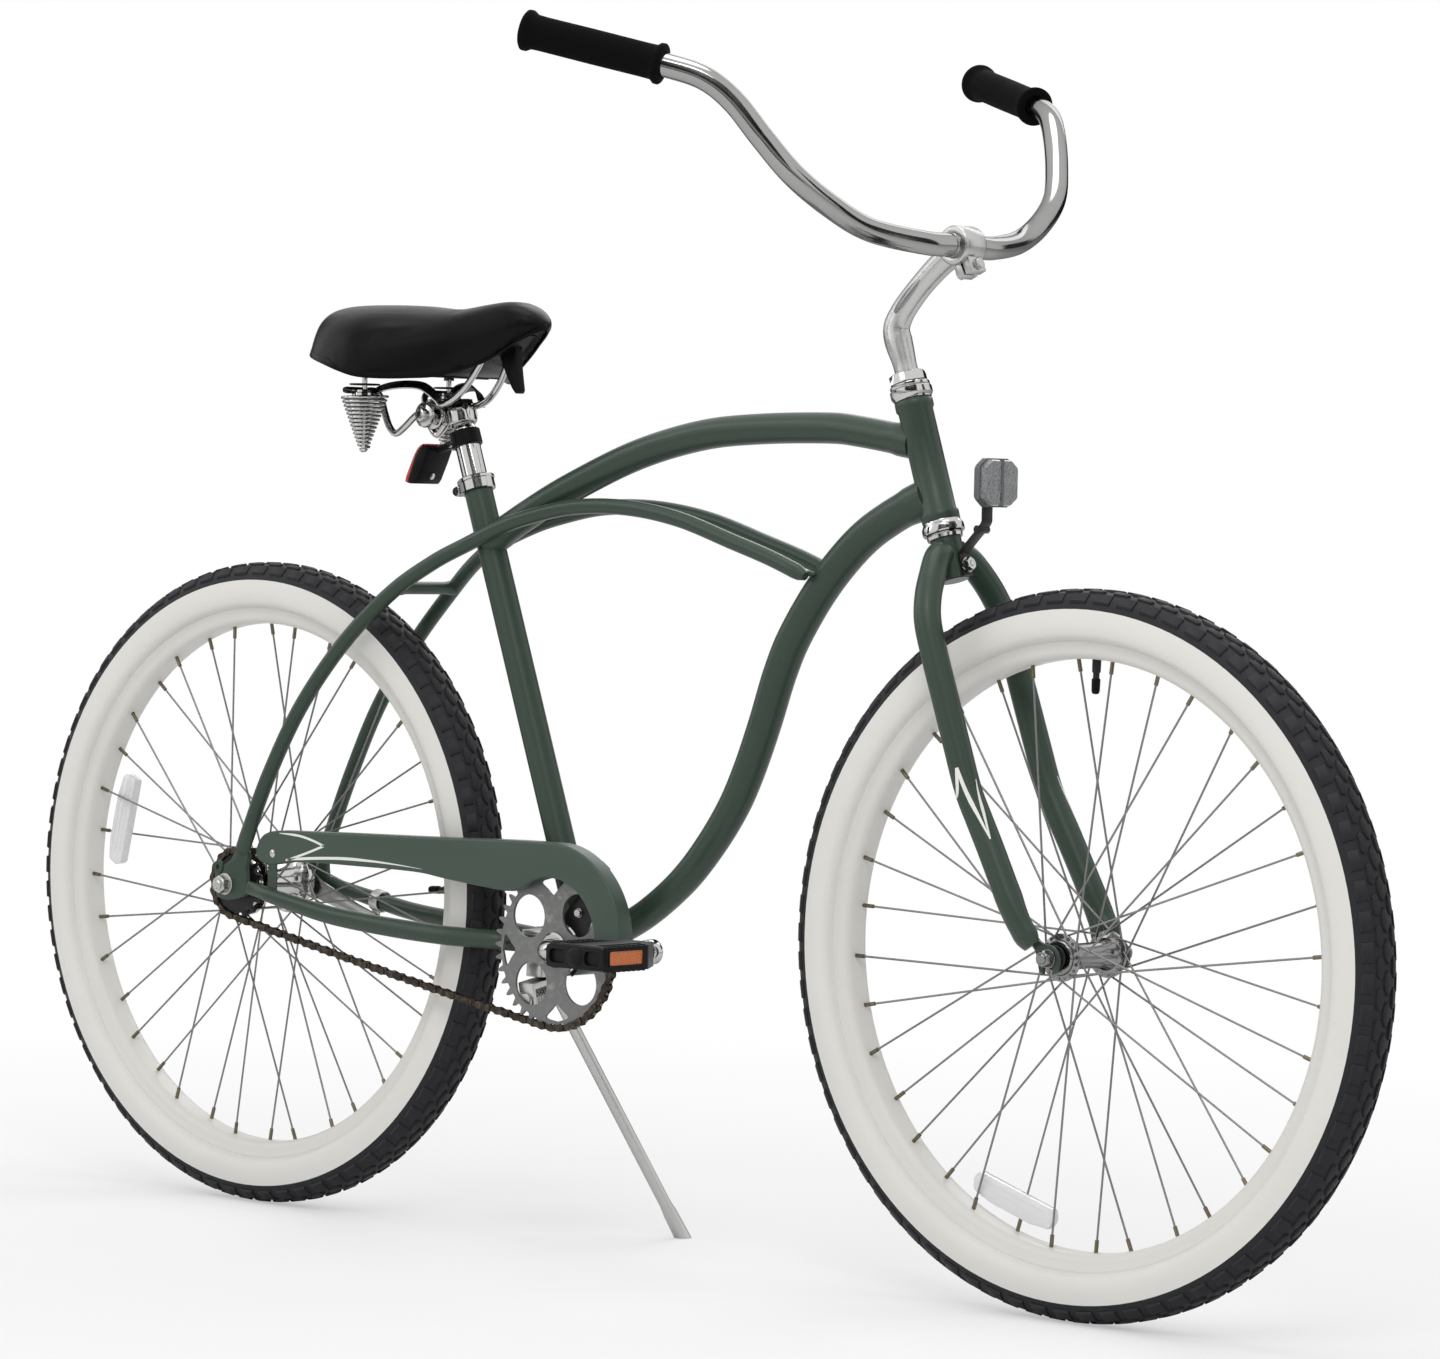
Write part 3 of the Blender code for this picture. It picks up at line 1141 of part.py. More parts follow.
def coil(name, start, axis, height, r_start, r_end, wire, turns, per_turn, sides, mat, lead, phase=0.0):
    """One unbroken helix with straight ends, and its least gap to itself."""
    across, other = frame_of(axis, X_AXIS)
    count = turns * per_turn + 1
    points = []
    for k in range(count):
        f = k / (count - 1)
        angle = 2 * math.pi * (turns * f) + phase
        r = r_start + (r_end - r_start) * f
        points.append(start + axis * (height * f) + r * (math.cos(angle) * across + math.sin(angle) * other))
    points = np.array(points)
    ends = [points[0] - unit(points[1] - points[0]) * lead, points[-1] + unit(points[-1] - points[-2]) * lead]
    path = np.vstack([ends[:1], points, ends[1:]])
    shares = np.linspace(0, 1, 6, endpoint=False)
    dense = np.vstack([a + (b - a) * share for a, b in zip(path, path[1:]) for share in shares])
    run = np.concatenate([[0.0], np.cumsum(np.linalg.norm(np.diff(dense, axis=0), axis=1))])
    apart = np.linalg.norm(dense[:, None] - dense[None], axis=2)
    apart[np.abs(run[:, None] - run[None]) < 6 * wire] = 1.0
    print(name, "least gap to itself mm", round((float(apart.min()) - 2 * wire) * 1000, 2))
    return sweep(name, path, wire, sides, mat)


SPRING_GAP = 0.0008 + GAP
kickstand_spring = coil(
    "kickstand_spring", stand(FLANGES[0] + FLANGE_T / 2 + SPRING_GAP), STAND_AXIS,
    FLANGES[1] - FLANGES[0] - FLANGE_T - 2 * SPRING_GAP, 0.0074, 0.0074, 0.0008, 6, 8, 4, STEEL, 0.0016,
)

# Fork, headset and handlebar
STUB_R = 0.0145
STUB_LOW = HEAD_LOW - 0.0570
RACE_LOW = HEAD_LOW - 0.0165
RACE_HIGH = HEAD_LOW - 0.0118
STEERER_HIGH = HEAD_HIGH + 0.0245
STEERER_BORE = (QUILL_R + GAP) / math.cos(math.pi / 14)
steerer = lathe(
    "steerer",
    [(STUB_LOW, STUB_R), (RACE_LOW, STUB_R), (RACE_LOW, 0.0165), (RACE_HIGH, 0.0165), (RACE_HIGH, STEERER_R),
     (STEERER_HIGH, STEERER_R), (STEERER_HIGH, STEERER_BORE), (STUB_LOW, STEERER_BORE)],
    14, STEER_FOOT, UP, PAINT, ring=True,
)
headset_locknut = tube(
    "headset_locknut", HEAD_HIGH + 0.0119, STEERER_HIGH + 0.0020, 0.0190, STEERER_R + GAP, 6,
    STEER_FOOT, UP, CHROME,
)

BLADE_PATH = [(0.3680, 0.0080, 0.6960), (0.3725, 0.0215, 0.6905), (0.3785, 0.0350, 0.6755),
              (0.3845, 0.0480, 0.6560), (0.3917, 0.0565, 0.6327), (0.4020, 0.0580, 0.6020),
              (0.4152, 0.0582, 0.5650), (0.4310, 0.0585, 0.5210), (0.4457, 0.0588, 0.4810),
              (0.4600, 0.0588, 0.4540), (0.4747, 0.0585, 0.4289), (0.4970, 0.0575, 0.3945),
              (0.5190, 0.0570, 0.3610)]
BLADE_STEPS = 14
blade_left_line = natural([steered(*at) for at in BLADE_PATH], BLADE_STEPS)
blade_right_line = blade_left_line * np.array([1.0, -1.0, 1.0])
blade_radii = np.interp(np.linspace(0, 1, BLADE_STEPS), [0, 0.45, 0.8, 1.0], [0.0127, 0.0127, 0.0105, 0.0098])
FORK_TIP_T = 0.0035


def fork_blade(name, line, sign):
    """One leg of the fork with the flat end that holds the axle."""
    blade = sweep(name, line, blade_radii, 10, PAINT, hint=Y_AXIS)
    slot = (AXLE_R + GAP) * 1.08
    ax, az = FRONT[0], FRONT[2]
    tip_outline = [(ax - 0.0360, az + 0.0440), (ax - 0.0250, az + 0.0500), (ax - 0.0040, az + 0.0160),
                   (ax + 0.0110, az + 0.0080), (ax + 0.0140, az - 0.0030), (ax + 0.0100, az - 0.0135),
                   (ax + slot, az - 0.0145), (ax + slot, az), (ax + slot * 0.7, az + slot * 0.7), (ax, az + slot),
                   (ax - slot * 0.7, az + slot * 0.7), (ax - slot, az), (ax - slot, az - 0.0145),
                   (ax - 0.0110, az - 0.0125), (ax - 0.0150, az - 0.0020), (ax - 0.0160, az + 0.0080)]
    fuse(blade, plate("tip", tip_outline, [], Y_AXIS * sign * FRONT_FORK_HALF, X_AXIS, Z_AXIS,
                      Y_AXIS * sign * FORK_TIP_T, PAINT))
    cut(blade, cutter(STUB_LOW - 0.07, RACE_LOW - GAP, STUB_R, 18, STEER_FOOT, UP))
    cut(blade, cutter(RACE_LOW - 0.0010, HEAD_LOW + 0.033, 0.0220, 18, STEER_FOOT, UP))
    return blade


fork_blade_right = fork_blade("fork_blade_right", blade_right_line, -1)
fork_blade_left = fork_blade("fork_blade_left", blade_left_line, 1)

CLAMP_T = HEAD_HIGH + 0.1185
CLAMP_AHEAD = 0.0970
CLAMP_W = 0.0260
clamp = steer(CLAMP_T, CLAMP_AHEAD)
STEM_PATH = [(-0.1740, 0.0), (-0.0880, 0.0), (-0.0620, 0.0), (-0.0490, 0.0035), (-0.0380, 0.0140),
             (-0.0290, 0.0300), (-0.0180, 0.0520), (-0.0080, 0.0740), (-0.0010, 0.0930)]
stem_path = [steer(CLAMP_T + t, ahead) for t, ahead in STEM_PATH]
stem_radii = [QUILL_R, QUILL_R, 0.0120, 0.0135, 0.0135, 0.0122, 0.0115, 0.0120, 0.0130]
stem = sweep("stem", stem_path, stem_radii, 12, CHROME, hint=Y_AXIS)
fuse(stem, lathe("clamp", [(-CLAMP_W / 2, 0.0165), (-CLAMP_W / 2 + 0.002, 0.0185), (CLAMP_W / 2 - 0.002, 0.0185),
                           (CLAMP_W / 2, 0.0165)], 14, clamp, Y_AXIS, CHROME))
LUG_DIR = unit(np.array([0.42, 0.0, -0.91]))
LUG_SIDE = np.cross(LUG_DIR, Y_AXIS)
fuse(stem, block("lug", clamp + LUG_DIR * 0.0200, (0.0200, 0.0200, 0.0190), CHROME, (LUG_DIR, Y_AXIS, LUG_SIDE)))
fuse(stem, lathe("stem_bolt", [(0.0, 0.0068), (0.0080, 0.0068)], 10, steer(CLAMP_T - 0.0410, 0.0010), UP, CHROME))
cut(stem, block("slit", clamp + LUG_DIR * 0.0250, (0.0400, 0.0600, 0.0020), CHROME, (LUG_DIR, Y_AXIS, LUG_SIDE)))
fuse(
    stem,
    lathe("clamp_bolt", [(-0.0135, 0.0052), (-0.0090, 0.0052), (-0.0090, 0.0034), (0.0090, 0.0034),
                         (0.0090, 0.0056), (0.0150, 0.0056)], 8, clamp + LUG_DIR * 0.0240, LUG_SIDE, CHROME),
)

GRIP_IN = steered(0.2438, 0.2700, 1.1310)
GRIP_OUT = steered(0.1240, 0.3270, 1.1632)
GRIP_LEN = float(np.linalg.norm(GRIP_OUT - GRIP_IN))
GRIP_DIR = unit(GRIP_OUT - GRIP_IN)
BAR_HALF = [(0.3720, 0.0500, 0.9797), (0.3560, 0.1080, 0.9885), (0.3460, 0.1520, 1.0075),
            (0.3330, 0.1900, 1.0340), (0.3160, 0.2140, 1.0660), (0.2970, 0.2330, 1.0985), (0.2760, 0.2500, 1.1190)]
bar_spots = [clamp + Y_AXIS * 0.0180] + [steered(*at) for at in BAR_HALF] + [GRIP_IN, GRIP_IN + GRIP_DIR * 0.05]
bar_curve = natural(bar_spots, 15)
keep = bar_curve[np.linalg.norm(bar_curve - GRIP_IN, axis=1) > 0.0080]
keep = keep[(keep - GRIP_IN) @ GRIP_DIR < 0]
bar_left = np.vstack([[clamp], keep, [GRIP_IN - GRIP_DIR * 0.004, GRIP_OUT - GRIP_DIR * 0.0045]])
bar_right = (bar_left * np.array([1.0, -1.0, 1.0]))[::-1]
bar_path = np.vstack([bar_right[:-1], bar_left[1:]])
handlebar = sweep("handlebar", bar_path, BAR_R, 8, CHROME, hint=Z_AXIS)
cut(stem, cutter(-0.03, 0.03, BAR_R + 0.0002, 12, clamp, Y_AXIS))


def grip(name, mirror):
    flip = np.array([1.0, mirror, 1.0])
    bore = (BAR_R + GAP) / math.cos(math.pi / 12)
    ridge = 0.0030
    profile = [(0.0, bore), (0.0, 0.0190), (0.0040, 0.0195), (0.0075, 0.0160), (GRIP_LEN - 0.0090, 0.0160),
               (GRIP_LEN - 0.0050, 0.0195), (GRIP_LEN, 0.0180), (GRIP_LEN, 0.0), (GRIP_LEN - ridge, 0.0),
               (GRIP_LEN - ridge, bore)]
    return lathe(name, profile, 12, GRIP_IN * flip, GRIP_DIR * flip, FOAM, ring=True)


grip_left = grip("grip_left", 1.0)
grip_right = grip("grip_right", -1.0)

# Front reflector on its bracket
REFLECTOR_AT = steered(0.4230, 0.0, 0.7610)
REFLECTOR = (0.0160, 0.0500, 0.0450)
STRAP_T = 0.0024
STRAP_HALF = 0.0070
strap_foot = STUB_R + 2 * GAP
strap_x = REFLECTOR_AT[0] - REFLECTOR[0] / 2 - GAP
strap = [
    steer(STUB_LOW, strap_foot),
    steer(STUB_LOW, strap_foot + STRAP_T),
    steer(STUB_LOW + 0.0200, strap_foot + STRAP_T),
    (strap_x, 0.0, REFLECTOR_AT[2] - 0.0385),
    (strap_x, 0.0, REFLECTOR_AT[2] - 0.0050),
    (strap_x - STRAP_T, 0.0, REFLECTOR_AT[2] - 0.0050),
    (strap_x - STRAP_T, 0.0, REFLECTOR_AT[2] - 0.0370),
    steer(STUB_LOW + 0.0230, strap_foot),
]
front_reflector_bracket = plate(
    "front_reflector_bracket", [(p[0], p[2]) for p in strap], [], -Y_AXIS * STRAP_HALF, X_AXIS, Z_AXIS,
    Y_AXIS * 2 * STRAP_HALF, BLACK_METAL,
)
fuse(
    front_reflector_bracket,
    lathe("bolt", [(strap_foot + 0.0010, 0.0060), (strap_foot + 0.0065, 0.0060), (strap_foot + 0.0065, 0.0034),
                   (strap_foot + 0.0095, 0.0034)], 6, steer(STUB_LOW + 0.0100), AHEAD, CHROME),
)
front_reflector = block("front_reflector", REFLECTOR_AT, REFLECTOR, CLEAR)


# Spoke reflectors
def spoke_reflector(name, centre, angle, inside_rim, half_y):
    out = np.array([math.cos(angle), 0.0, math.sin(angle)])
    side = np.array([-out[2], 0.0, out[0]])
    spot = out * (RIM_IN_R - inside_rim)
    outline = [(-0.0430, -0.0150), (0.0430, -0.0150), (0.0480, -0.0050), (0.0430, 0.0130), (0.0200, 0.0165),
               (-0.0200, 0.0165), (-0.0430, 0.0130), (-0.0480, -0.0050)]
    return plate(name, outline, [], centre + spot - Y_AXIS * half_y, side, out, Y_AXIS * 2 * half_y, CLEAR)


front_spoke_reflector = spoke_reflector(
    "front_spoke_reflector", FRONT, math.radians(-107.63), 0.0277, 0.0050
)
rear_spoke_reflector = spoke_reflector("rear_spoke_reflector", REAR, math.radians(166.55), 0.0395, 0.0061)

# Seat post, saddle and rear reflector
POST_NECK = SEAT_TUBE_LEN + 0.0510
POST_TOP = POST_NECK + 0.0300
POST_LOW = POST_NECK - 0.2000
POST_NECK_R = 0.0111
seatpost = lathe(
    "seatpost",
    [(POST_LOW, SEAT_POST_R), (POST_NECK, SEAT_POST_R), (POST_NECK + 0.0040, POST_NECK_R), (POST_TOP, POST_NECK_R),
     (POST_TOP, 0.0090), (POST_LOW, 0.0105)],
    16, BB, SEAT_UP, CHROME, ring=True,
)
bolt_at = seated(-0.2900, 0.0, 0.8200)
RAIL_R = 0.0035
RAIL_Y = 0.0250
saddle_clamp = tube("saddle_clamp", POST_NECK + 0.0060, POST_TOP - 0.0010, 0.0152, POST_NECK_R + GAP, 12, BB,
                    SEAT_UP, CHROME)
fuse(saddle_clamp, lathe("barrel", [(-0.0160, 0.0100), (0.0160, 0.0100)], 10, bolt_at, Y_AXIS, CHROME))
bridge_at = np.array([0.5 * (bolt_at[0] + seat(POST_TOP - 0.0100)[0]) - 0.0045, 0.0, bolt_at[2] - 0.0005])
fuse(saddle_clamp, block("bridge", bridge_at, (0.0120, 0.0240, 0.0150), CHROME))
for sign in (-1, 1):
    fuse(
        saddle_clamp,
        lathe("washers", [(0.0150, 0.0150), (0.0212, 0.0150), (0.0212, 0.0042), (0.0288, 0.0042),
                          (0.0288, 0.0130), (0.0330, 0.0130), (0.0330, 0.0075), (0.0400, 0.0075)], 8, bolt_at,
              Y_AXIS * sign, CHROME),
    )
cut(saddle_clamp, cutter(POST_NECK - 0.04, POST_TOP + 0.02, POST_NECK_R, 12, BB, SEAT_UP))

SPRING_Y = 0.0600
SPRING_TALL = 0.0550
spring_at = seated(-0.3470, 0.0, 0.8380)
SPRING_R = 0.0238
SPRING_TIP_R = 0.0056
SPRING_WIRE = 0.0017
RAIL_END_Z = 0.8380 + SPRING_WIRE + GAP + RAIL_R
RAIL_NOSE_Z = 0.8857
RAIL_HALF = [(-0.1880, 0.0, RAIL_NOSE_Z), (-0.1905, 0.0100, RAIL_NOSE_Z - 0.0010),
             (-0.1990, 0.0175, RAIL_NOSE_Z - 0.0075), (-0.2200, 0.0200, 0.8650), (-0.2420, 0.0225, 0.8465),
             (-0.2620, 0.0245, 0.8345), (-0.2900, RAIL_Y, 0.8286),
             (-0.3080, 0.0258, 0.8190), (-0.3220, 0.0280, 0.8070), (-0.3320, 0.0295, 0.8010),
             (-0.3410, 0.0300, 0.8080), (-0.3480, 0.0300, 0.8220), (-0.3530, 0.0310, 0.8370),
             (-0.3550, 0.0380, RAIL_END_Z), (-0.3555, 0.0500, RAIL_END_Z), (-0.3555, 0.0800, RAIL_END_Z)]
rail_left = natural([seated(*at) for at in RAIL_HALF], 22)
rail_right = (rail_left * np.array([1.0, -1.0, 1.0]))[::-1]
saddle_rails = sweep("saddle_rails", np.vstack([rail_right[:-1], rail_left]), RAIL_R, 6, CHROME, hint=Z_AXIS)


def saddle_spring(name, y):
    return coil(name, spring_at + Y_AXIS * y, -Z_AXIS, SPRING_TALL, SPRING_R, SPRING_TIP_R, SPRING_WIRE, 11, 7, 4,
                CHROME, 2 * SPRING_WIRE, phase=0.4)


saddle_spring_right = saddle_spring("saddle_spring_right", -SPRING_Y)
saddle_spring_left = saddle_spring("saddle_spring_left", SPRING_Y)


# The saddle is lofted from rings: x, half width, crown height, edge height
SADDLE_ROWS = [
    (-0.4400, 0.030, 0.9060, 0.8840),
    (-0.4340, 0.062, 0.9200, 0.8790),
    (-0.4200, 0.086, 0.9270, 0.8740),
    (-0.3950, 0.106, 0.9300, 0.8670),
    (-0.3650, 0.116, 0.9300, 0.8600),
    (-0.3300, 0.116, 0.9290, 0.8560),
    (-0.3000, 0.103, 0.9270, 0.8540),
    (-0.2750, 0.083, 0.9245, 0.8550),
    (-0.2500, 0.062, 0.9265, 0.8600),
    (-0.2300, 0.049, 0.9300, 0.8670),
    (-0.2050, 0.040, 0.9340, 0.8780),
    (-0.1850, 0.035, 0.9335, 0.8870),
    (-0.1680, 0.029, 0.9290, 0.8950),
    (-0.1560, 0.018, 0.9190, 0.9010),
    (-0.1515, 0.007, 0.9110, 0.9040),
]
SKIRT = 0.90
RECESS = 0.0080
PAN_T = 0.0030


def saddle_ring(x, half, crown, edge):
    """One ring of the cushion: a crown with drawn-in sides, and a shallow recess underneath."""
    ring = []
    tall = crown - edge
    for k in range(11):
        a = math.pi * k / 10
        c = math.cos(a)
        y = half * math.copysign(abs(c) ** 0.72, c)
        ring.append((x, y, edge + tall * math.sin(a) ** 0.62))
    up = min(RECESS, 0.4 * tall)
    ring.append((x, -half * SKIRT, edge))
    ring.append((x, -half * (SKIRT - 0.05), edge + up))
    ring.append((x, half * (SKIRT - 0.05), edge + up))
    ring.append((x, half * SKIRT, edge))
    return [seated(*at) for at in ring]


def loft(name, rings, mat):
    n = len(rings[0])
    points = [p for ring in rings for p in ring]
    faces = []
    for i in range(len(rings) - 1):
        for k in range(n):
            j = (k + 1) % n
            faces.append((i * n + k, i * n + j, (i + 1) * n + j, (i + 1) * n + k))
    faces.append(tuple(range(n)))
    faces.append(tuple(range((len(rings) - 1) * n, len(rings) * n))[::-1])
    return make(name, points, faces, mat)


saddle_cushion = loft("saddle_cushion", [saddle_ring(*row) for row in SADDLE_ROWS], VINYL)

pan_rings = []
for x, half, crown, edge in SADDLE_ROWS[2:-2]:
    side = half * (SKIRT - 0.05) - 0.0008
    high = edge + RECESS - 2 * GAP
    corners = ((side, high), (-side, high), (-side, high - PAN_T), (side, high - PAN_T))
    pan_rings.append([seated(x, y, z) for y, z in corners])
saddle_pan = loft("saddle_pan", pan_rings, BLACK_PLASTIC)
NOSE_FLAP = [(-0.1700, 0.9008), (-0.1720, 0.8740), (-0.1790, 0.8490), (-0.1860, 0.8410), (-0.2000, 0.8455),
             (-0.2160, 0.8530), (-0.2380, 0.8590), (-0.2360, 0.8660), (-0.2050, 0.8715),
             (-0.1835, RAIL_NOSE_Z - RAIL_R - 0.0020), (-0.1835, 0.8946)]
FLAP_HALF = 0.0110
flap = [tuple(seated(x, 0.0, z)[[0, 2]]) for x, z in NOSE_FLAP]
flap_width = Y_AXIS * 2 * FLAP_HALF
fuse(saddle_pan, plate("flap", flap, [], -flap_width / 2, X_AXIS, Z_AXIS, flap_width, BLACK_PLASTIC))
SPRING_BOLT = [(-0.0060, 0.0), (-0.0060, 0.0052), (-0.0022, 0.0052), (-0.0022, 0.0028), (0.0800, 0.0028)]
for sign in (-1, 1):
    spring_foot = spring_at + Y_AXIS * sign * SPRING_Y - Z_AXIS * SPRING_TALL
    fuse(saddle_pan, lathe("bolt", SPRING_BOLT, 8, spring_foot, Z_AXIS, CHROME))

BAND_T = SEAT_TUBE_LEN + 0.0420
rear_reflector_bracket = tube("rear_reflector_bracket", BAND_T - 0.0080, BAND_T + 0.0080, SEAT_POST_R + 0.0028,
                              SEAT_POST_R + GAP + 0.0003, 16, BB, SEAT_UP, BLACK_PLASTIC)
HOUSING_AT = seated(-0.3100, 0.0, 0.7720)
HOUSING = (0.0200, 0.0450, 0.0420)
# the housing in side view, a share of its length and height from its middle
HOUSING_SIDE = [(-0.50, -0.50), (0.28, -0.50), (0.40, -0.38), (0.50, 0.10), (0.50, 0.34), (0.35, 0.46),
                (-0.10, 0.50), (-0.38, 0.42), (-0.50, 0.24)]
housing = [(HOUSING_AT[0] + x * HOUSING[0], HOUSING_AT[2] + z * HOUSING[2]) for x, z in HOUSING_SIDE]
arm_at = HOUSING_AT + np.array([0.0250, 0.0, 0.0160])
fuse(rear_reflector_bracket, block("arm", arm_at, (0.0340, 0.0120, 0.0080), BLACK_PLASTIC))
fuse(
    rear_reflector_bracket,
    plate("housing", housing, [], -Y_AXIS * HOUSING[1] / 2, X_AXIS, Z_AXIS, Y_AXIS * HOUSING[1], BLACK_PLASTIC),
)
cut(rear_reflector_bracket, cutter(BAND_T - 0.03, BAND_T + 0.03, SEAT_POST_R + GAP, 16, BB, SEAT_UP))
LENS_T = 0.0044
LENS_EDGE = 0.0030
LENS_TALL = 0.0300
lens_at = HOUSING_AT - X_AXIS * (HOUSING[0] / 2 + GAP + LENS_T / 2) - Z_AXIS * 0.0050
rear_reflector = block("rear_reflector", lens_at, (LENS_T, HOUSING[1] - LENS_EDGE, LENS_TALL), RED_LENS)
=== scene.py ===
"""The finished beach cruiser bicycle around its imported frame. Metres: +X forward, +Y the rider's left, +Z up."""

import json
import logging
import math
from collections.abc import Sequence
from dataclasses import dataclass, field
from enum import Enum

import bmesh
import bpy
import numpy as np
from mathutils import Matrix, Vector
from mathutils.geometry import tessellate_polygon

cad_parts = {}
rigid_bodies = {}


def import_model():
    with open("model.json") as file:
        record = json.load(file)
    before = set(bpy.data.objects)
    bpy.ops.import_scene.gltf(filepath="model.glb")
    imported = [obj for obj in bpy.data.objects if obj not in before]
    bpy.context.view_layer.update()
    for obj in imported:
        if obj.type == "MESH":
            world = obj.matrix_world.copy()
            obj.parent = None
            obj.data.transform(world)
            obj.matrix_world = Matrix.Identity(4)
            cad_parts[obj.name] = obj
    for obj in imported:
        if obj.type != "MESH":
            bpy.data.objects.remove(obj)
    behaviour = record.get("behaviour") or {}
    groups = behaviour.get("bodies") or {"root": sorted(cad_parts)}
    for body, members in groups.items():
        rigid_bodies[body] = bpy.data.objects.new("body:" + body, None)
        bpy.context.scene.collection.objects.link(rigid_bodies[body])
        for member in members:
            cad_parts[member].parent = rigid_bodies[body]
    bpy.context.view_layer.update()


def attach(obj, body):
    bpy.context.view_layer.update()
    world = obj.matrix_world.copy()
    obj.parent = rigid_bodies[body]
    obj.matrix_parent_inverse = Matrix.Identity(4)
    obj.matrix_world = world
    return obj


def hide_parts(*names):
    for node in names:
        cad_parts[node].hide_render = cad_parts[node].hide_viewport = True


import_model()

log = logging.getLogger("cruiser")
Triple = tuple[float, float, float]
Colour = Triple
Pair = tuple[float, float]
Points = Sequence[Sequence[float]] | np.ndarray

X_AXIS = np.array([1.0, 0.0, 0.0])
Y_AXIS = np.array([0.0, 1.0, 0.0])
Z_AXIS = np.array([0.0, 0.0, 1.0])
MIRROR = np.array([1.0, -1.0, 1.0])
TAU = 2 * math.pi
SIDES = ((1, "left"), (-1, "right"))


@dataclass(frozen=True)
class Layout:
    """The sizes that more than one sub-assembly shares, as the frame has them."""

    rear: Triple = (-0.53825, 0.0, 0.3335)
    front: Triple = (0.53825, 0.0, 0.3335)
    bottom: Triple = (-0.082, 0.0, 0.297)
    head_angle: float = math.radians(71.6)
    fork_offset: float = 0.047
    seat_lean: float = 0.359
    head_low: float = 0.427
    head_high: float = 0.5455
    seat_tube: float = 0.489
    chain_y: float = -0.0435
    pitch: float = 0.0127
    crank_angle: float = math.radians(4.0)
    crank_len: float = 0.165

    def steer(self, up: float, ahead: float = 0.0) -> np.ndarray:
        """A point by its distance up the steering axis and ahead of it."""
        foot = np.array(self.front) - self.fork_offset * self.ahead
        return foot + up * self.up + ahead * self.ahead

    def seat(self, up: float, ahead: float = 0.0, y: float = 0.0) -> np.ndarray:
        """A point by its distance up the seat tube from the bottom bracket, ahead of it and across."""
        return np.array(self.bottom) + up * self.seat_up + ahead * self.seat_ahead + y * Y_AXIS

    def crank(self, along: float, y: float) -> np.ndarray:
        """A point along the crank's arms from the bottom bracket."""
        c, s = math.cos(self.crank_angle), math.sin(self.crank_angle)
        return np.array(self.bottom) + np.array([along * c, y, along * s])

    @property
    def up(self) -> np.ndarray:
        """The steering axis."""
        return np.array([-math.cos(self.head_angle), 0.0, math.sin(self.head_angle)])

    @property
    def ahead(self) -> np.ndarray:
        """Forwards, square to the steering axis."""
        return np.array([math.sin(self.head_angle), 0.0, math.cos(self.head_angle)])

    @property
    def seat_up(self) -> np.ndarray:
        """The seat tube's axis."""
        return np.array([-self.seat_lean, 0.0, 1.0]) / math.hypot(self.seat_lean, 1.0)

    @property
    def seat_ahead(self) -> np.ndarray:
        """Forwards, square to the seat tube."""
        return np.array([self.seat_up[2], 0.0, -self.seat_up[0]])


PLAN = Layout()


# Curves and small geometry
def unit(v: Points) -> np.ndarray:
    """The vector scaled to a length of one."""
    v = np.asarray(v, float)
    return v / np.linalg.norm(v)


def units(rows: np.ndarray) -> np.ndarray:
    """Each row scaled to a length of one."""
    return rows / np.linalg.norm(rows, axis=1)[:, None]


def leftward(way: np.ndarray) -> np.ndarray:
    """The flat directions to the left of the given ones, each with a length of one."""
    way = units(way)
    return np.stack([-way[:, 1], way[:, 0]], axis=1)


def frame_of(direction: Points, hint: np.ndarray | None = None) -> tuple[np.ndarray, np.ndarray]:
    """Two directions square to one another and to the given one.

    Args:
        direction: the axis.
        hint: a direction that the first result is square to.

    Returns:
        The side direction and the other one.
    """
    d = unit(direction)
    if hint is None:
        hint = Y_AXIS if abs(d[1]) < 0.9 else X_AXIS
    side = unit(np.cross(hint, d))
    return side, np.cross(d, side)


def run_of(path: np.ndarray) -> np.ndarray:
    """The distance along a path at each of its points."""
    return np.concatenate([[0.0], np.cumsum(np.linalg.norm(np.diff(path, axis=0), axis=1))])


def natural(points: Points, count: int) -> np.ndarray:
    """Points spaced evenly along a smooth curve through the given ones.

    Args:
        points: the points to pass through.
        count: how many points to return.

    Returns:
        The points as rows.
    """
    pts = np.asarray(points, float)
    ext = np.vstack([2 * pts[0] - pts[1], pts, 2 * pts[-1] - pts[-2]])
    s = np.linspace(0.0, 1.0, 24, endpoint=False)[:, None]
    spans = []
    for p0, p1, p2, p3 in zip(ext, ext[1:], ext[2:], ext[3:]):
        cubic = (3 * p1 - p0 - 3 * p2 + p3) * s**3
        spans.append(0.5 * (2 * p1 + (p2 - p0) * s + (2 * p0 - 5 * p1 + 4 * p2 - p3) * s * s + cubic))
    dense = np.vstack(spans + [pts[-1:]])
    run = run_of(dense)
    want = np.linspace(0.0, run[-1], count)
    return np.stack([np.interp(want, run, dense[:, k]) for k in range(dense.shape[1])], axis=1)


def shares(count: int, at: Sequence[float], values: Sequence[float]) -> np.ndarray:
    """Values read at evenly spaced shares of a path."""
    return np.interp(np.linspace(0.0, 1.0, count), at, values)


def arc(centre: Pair, radius: float, start: float, end: float, count: int) -> list[Pair]:
    """Points of a circular arc between two angles in degrees."""
    turns = np.radians(np.linspace(start, end, count))
    return [(centre[0] + radius * math.cos(a), centre[1] + radius * math.sin(a)) for a in turns]


def circle(centre: Pair, radius: float, count: int) -> list[Pair]:
    """Points of a full circle."""
    return arc(centre, radius, 0.0, 360.0, count + 1)[:-1]


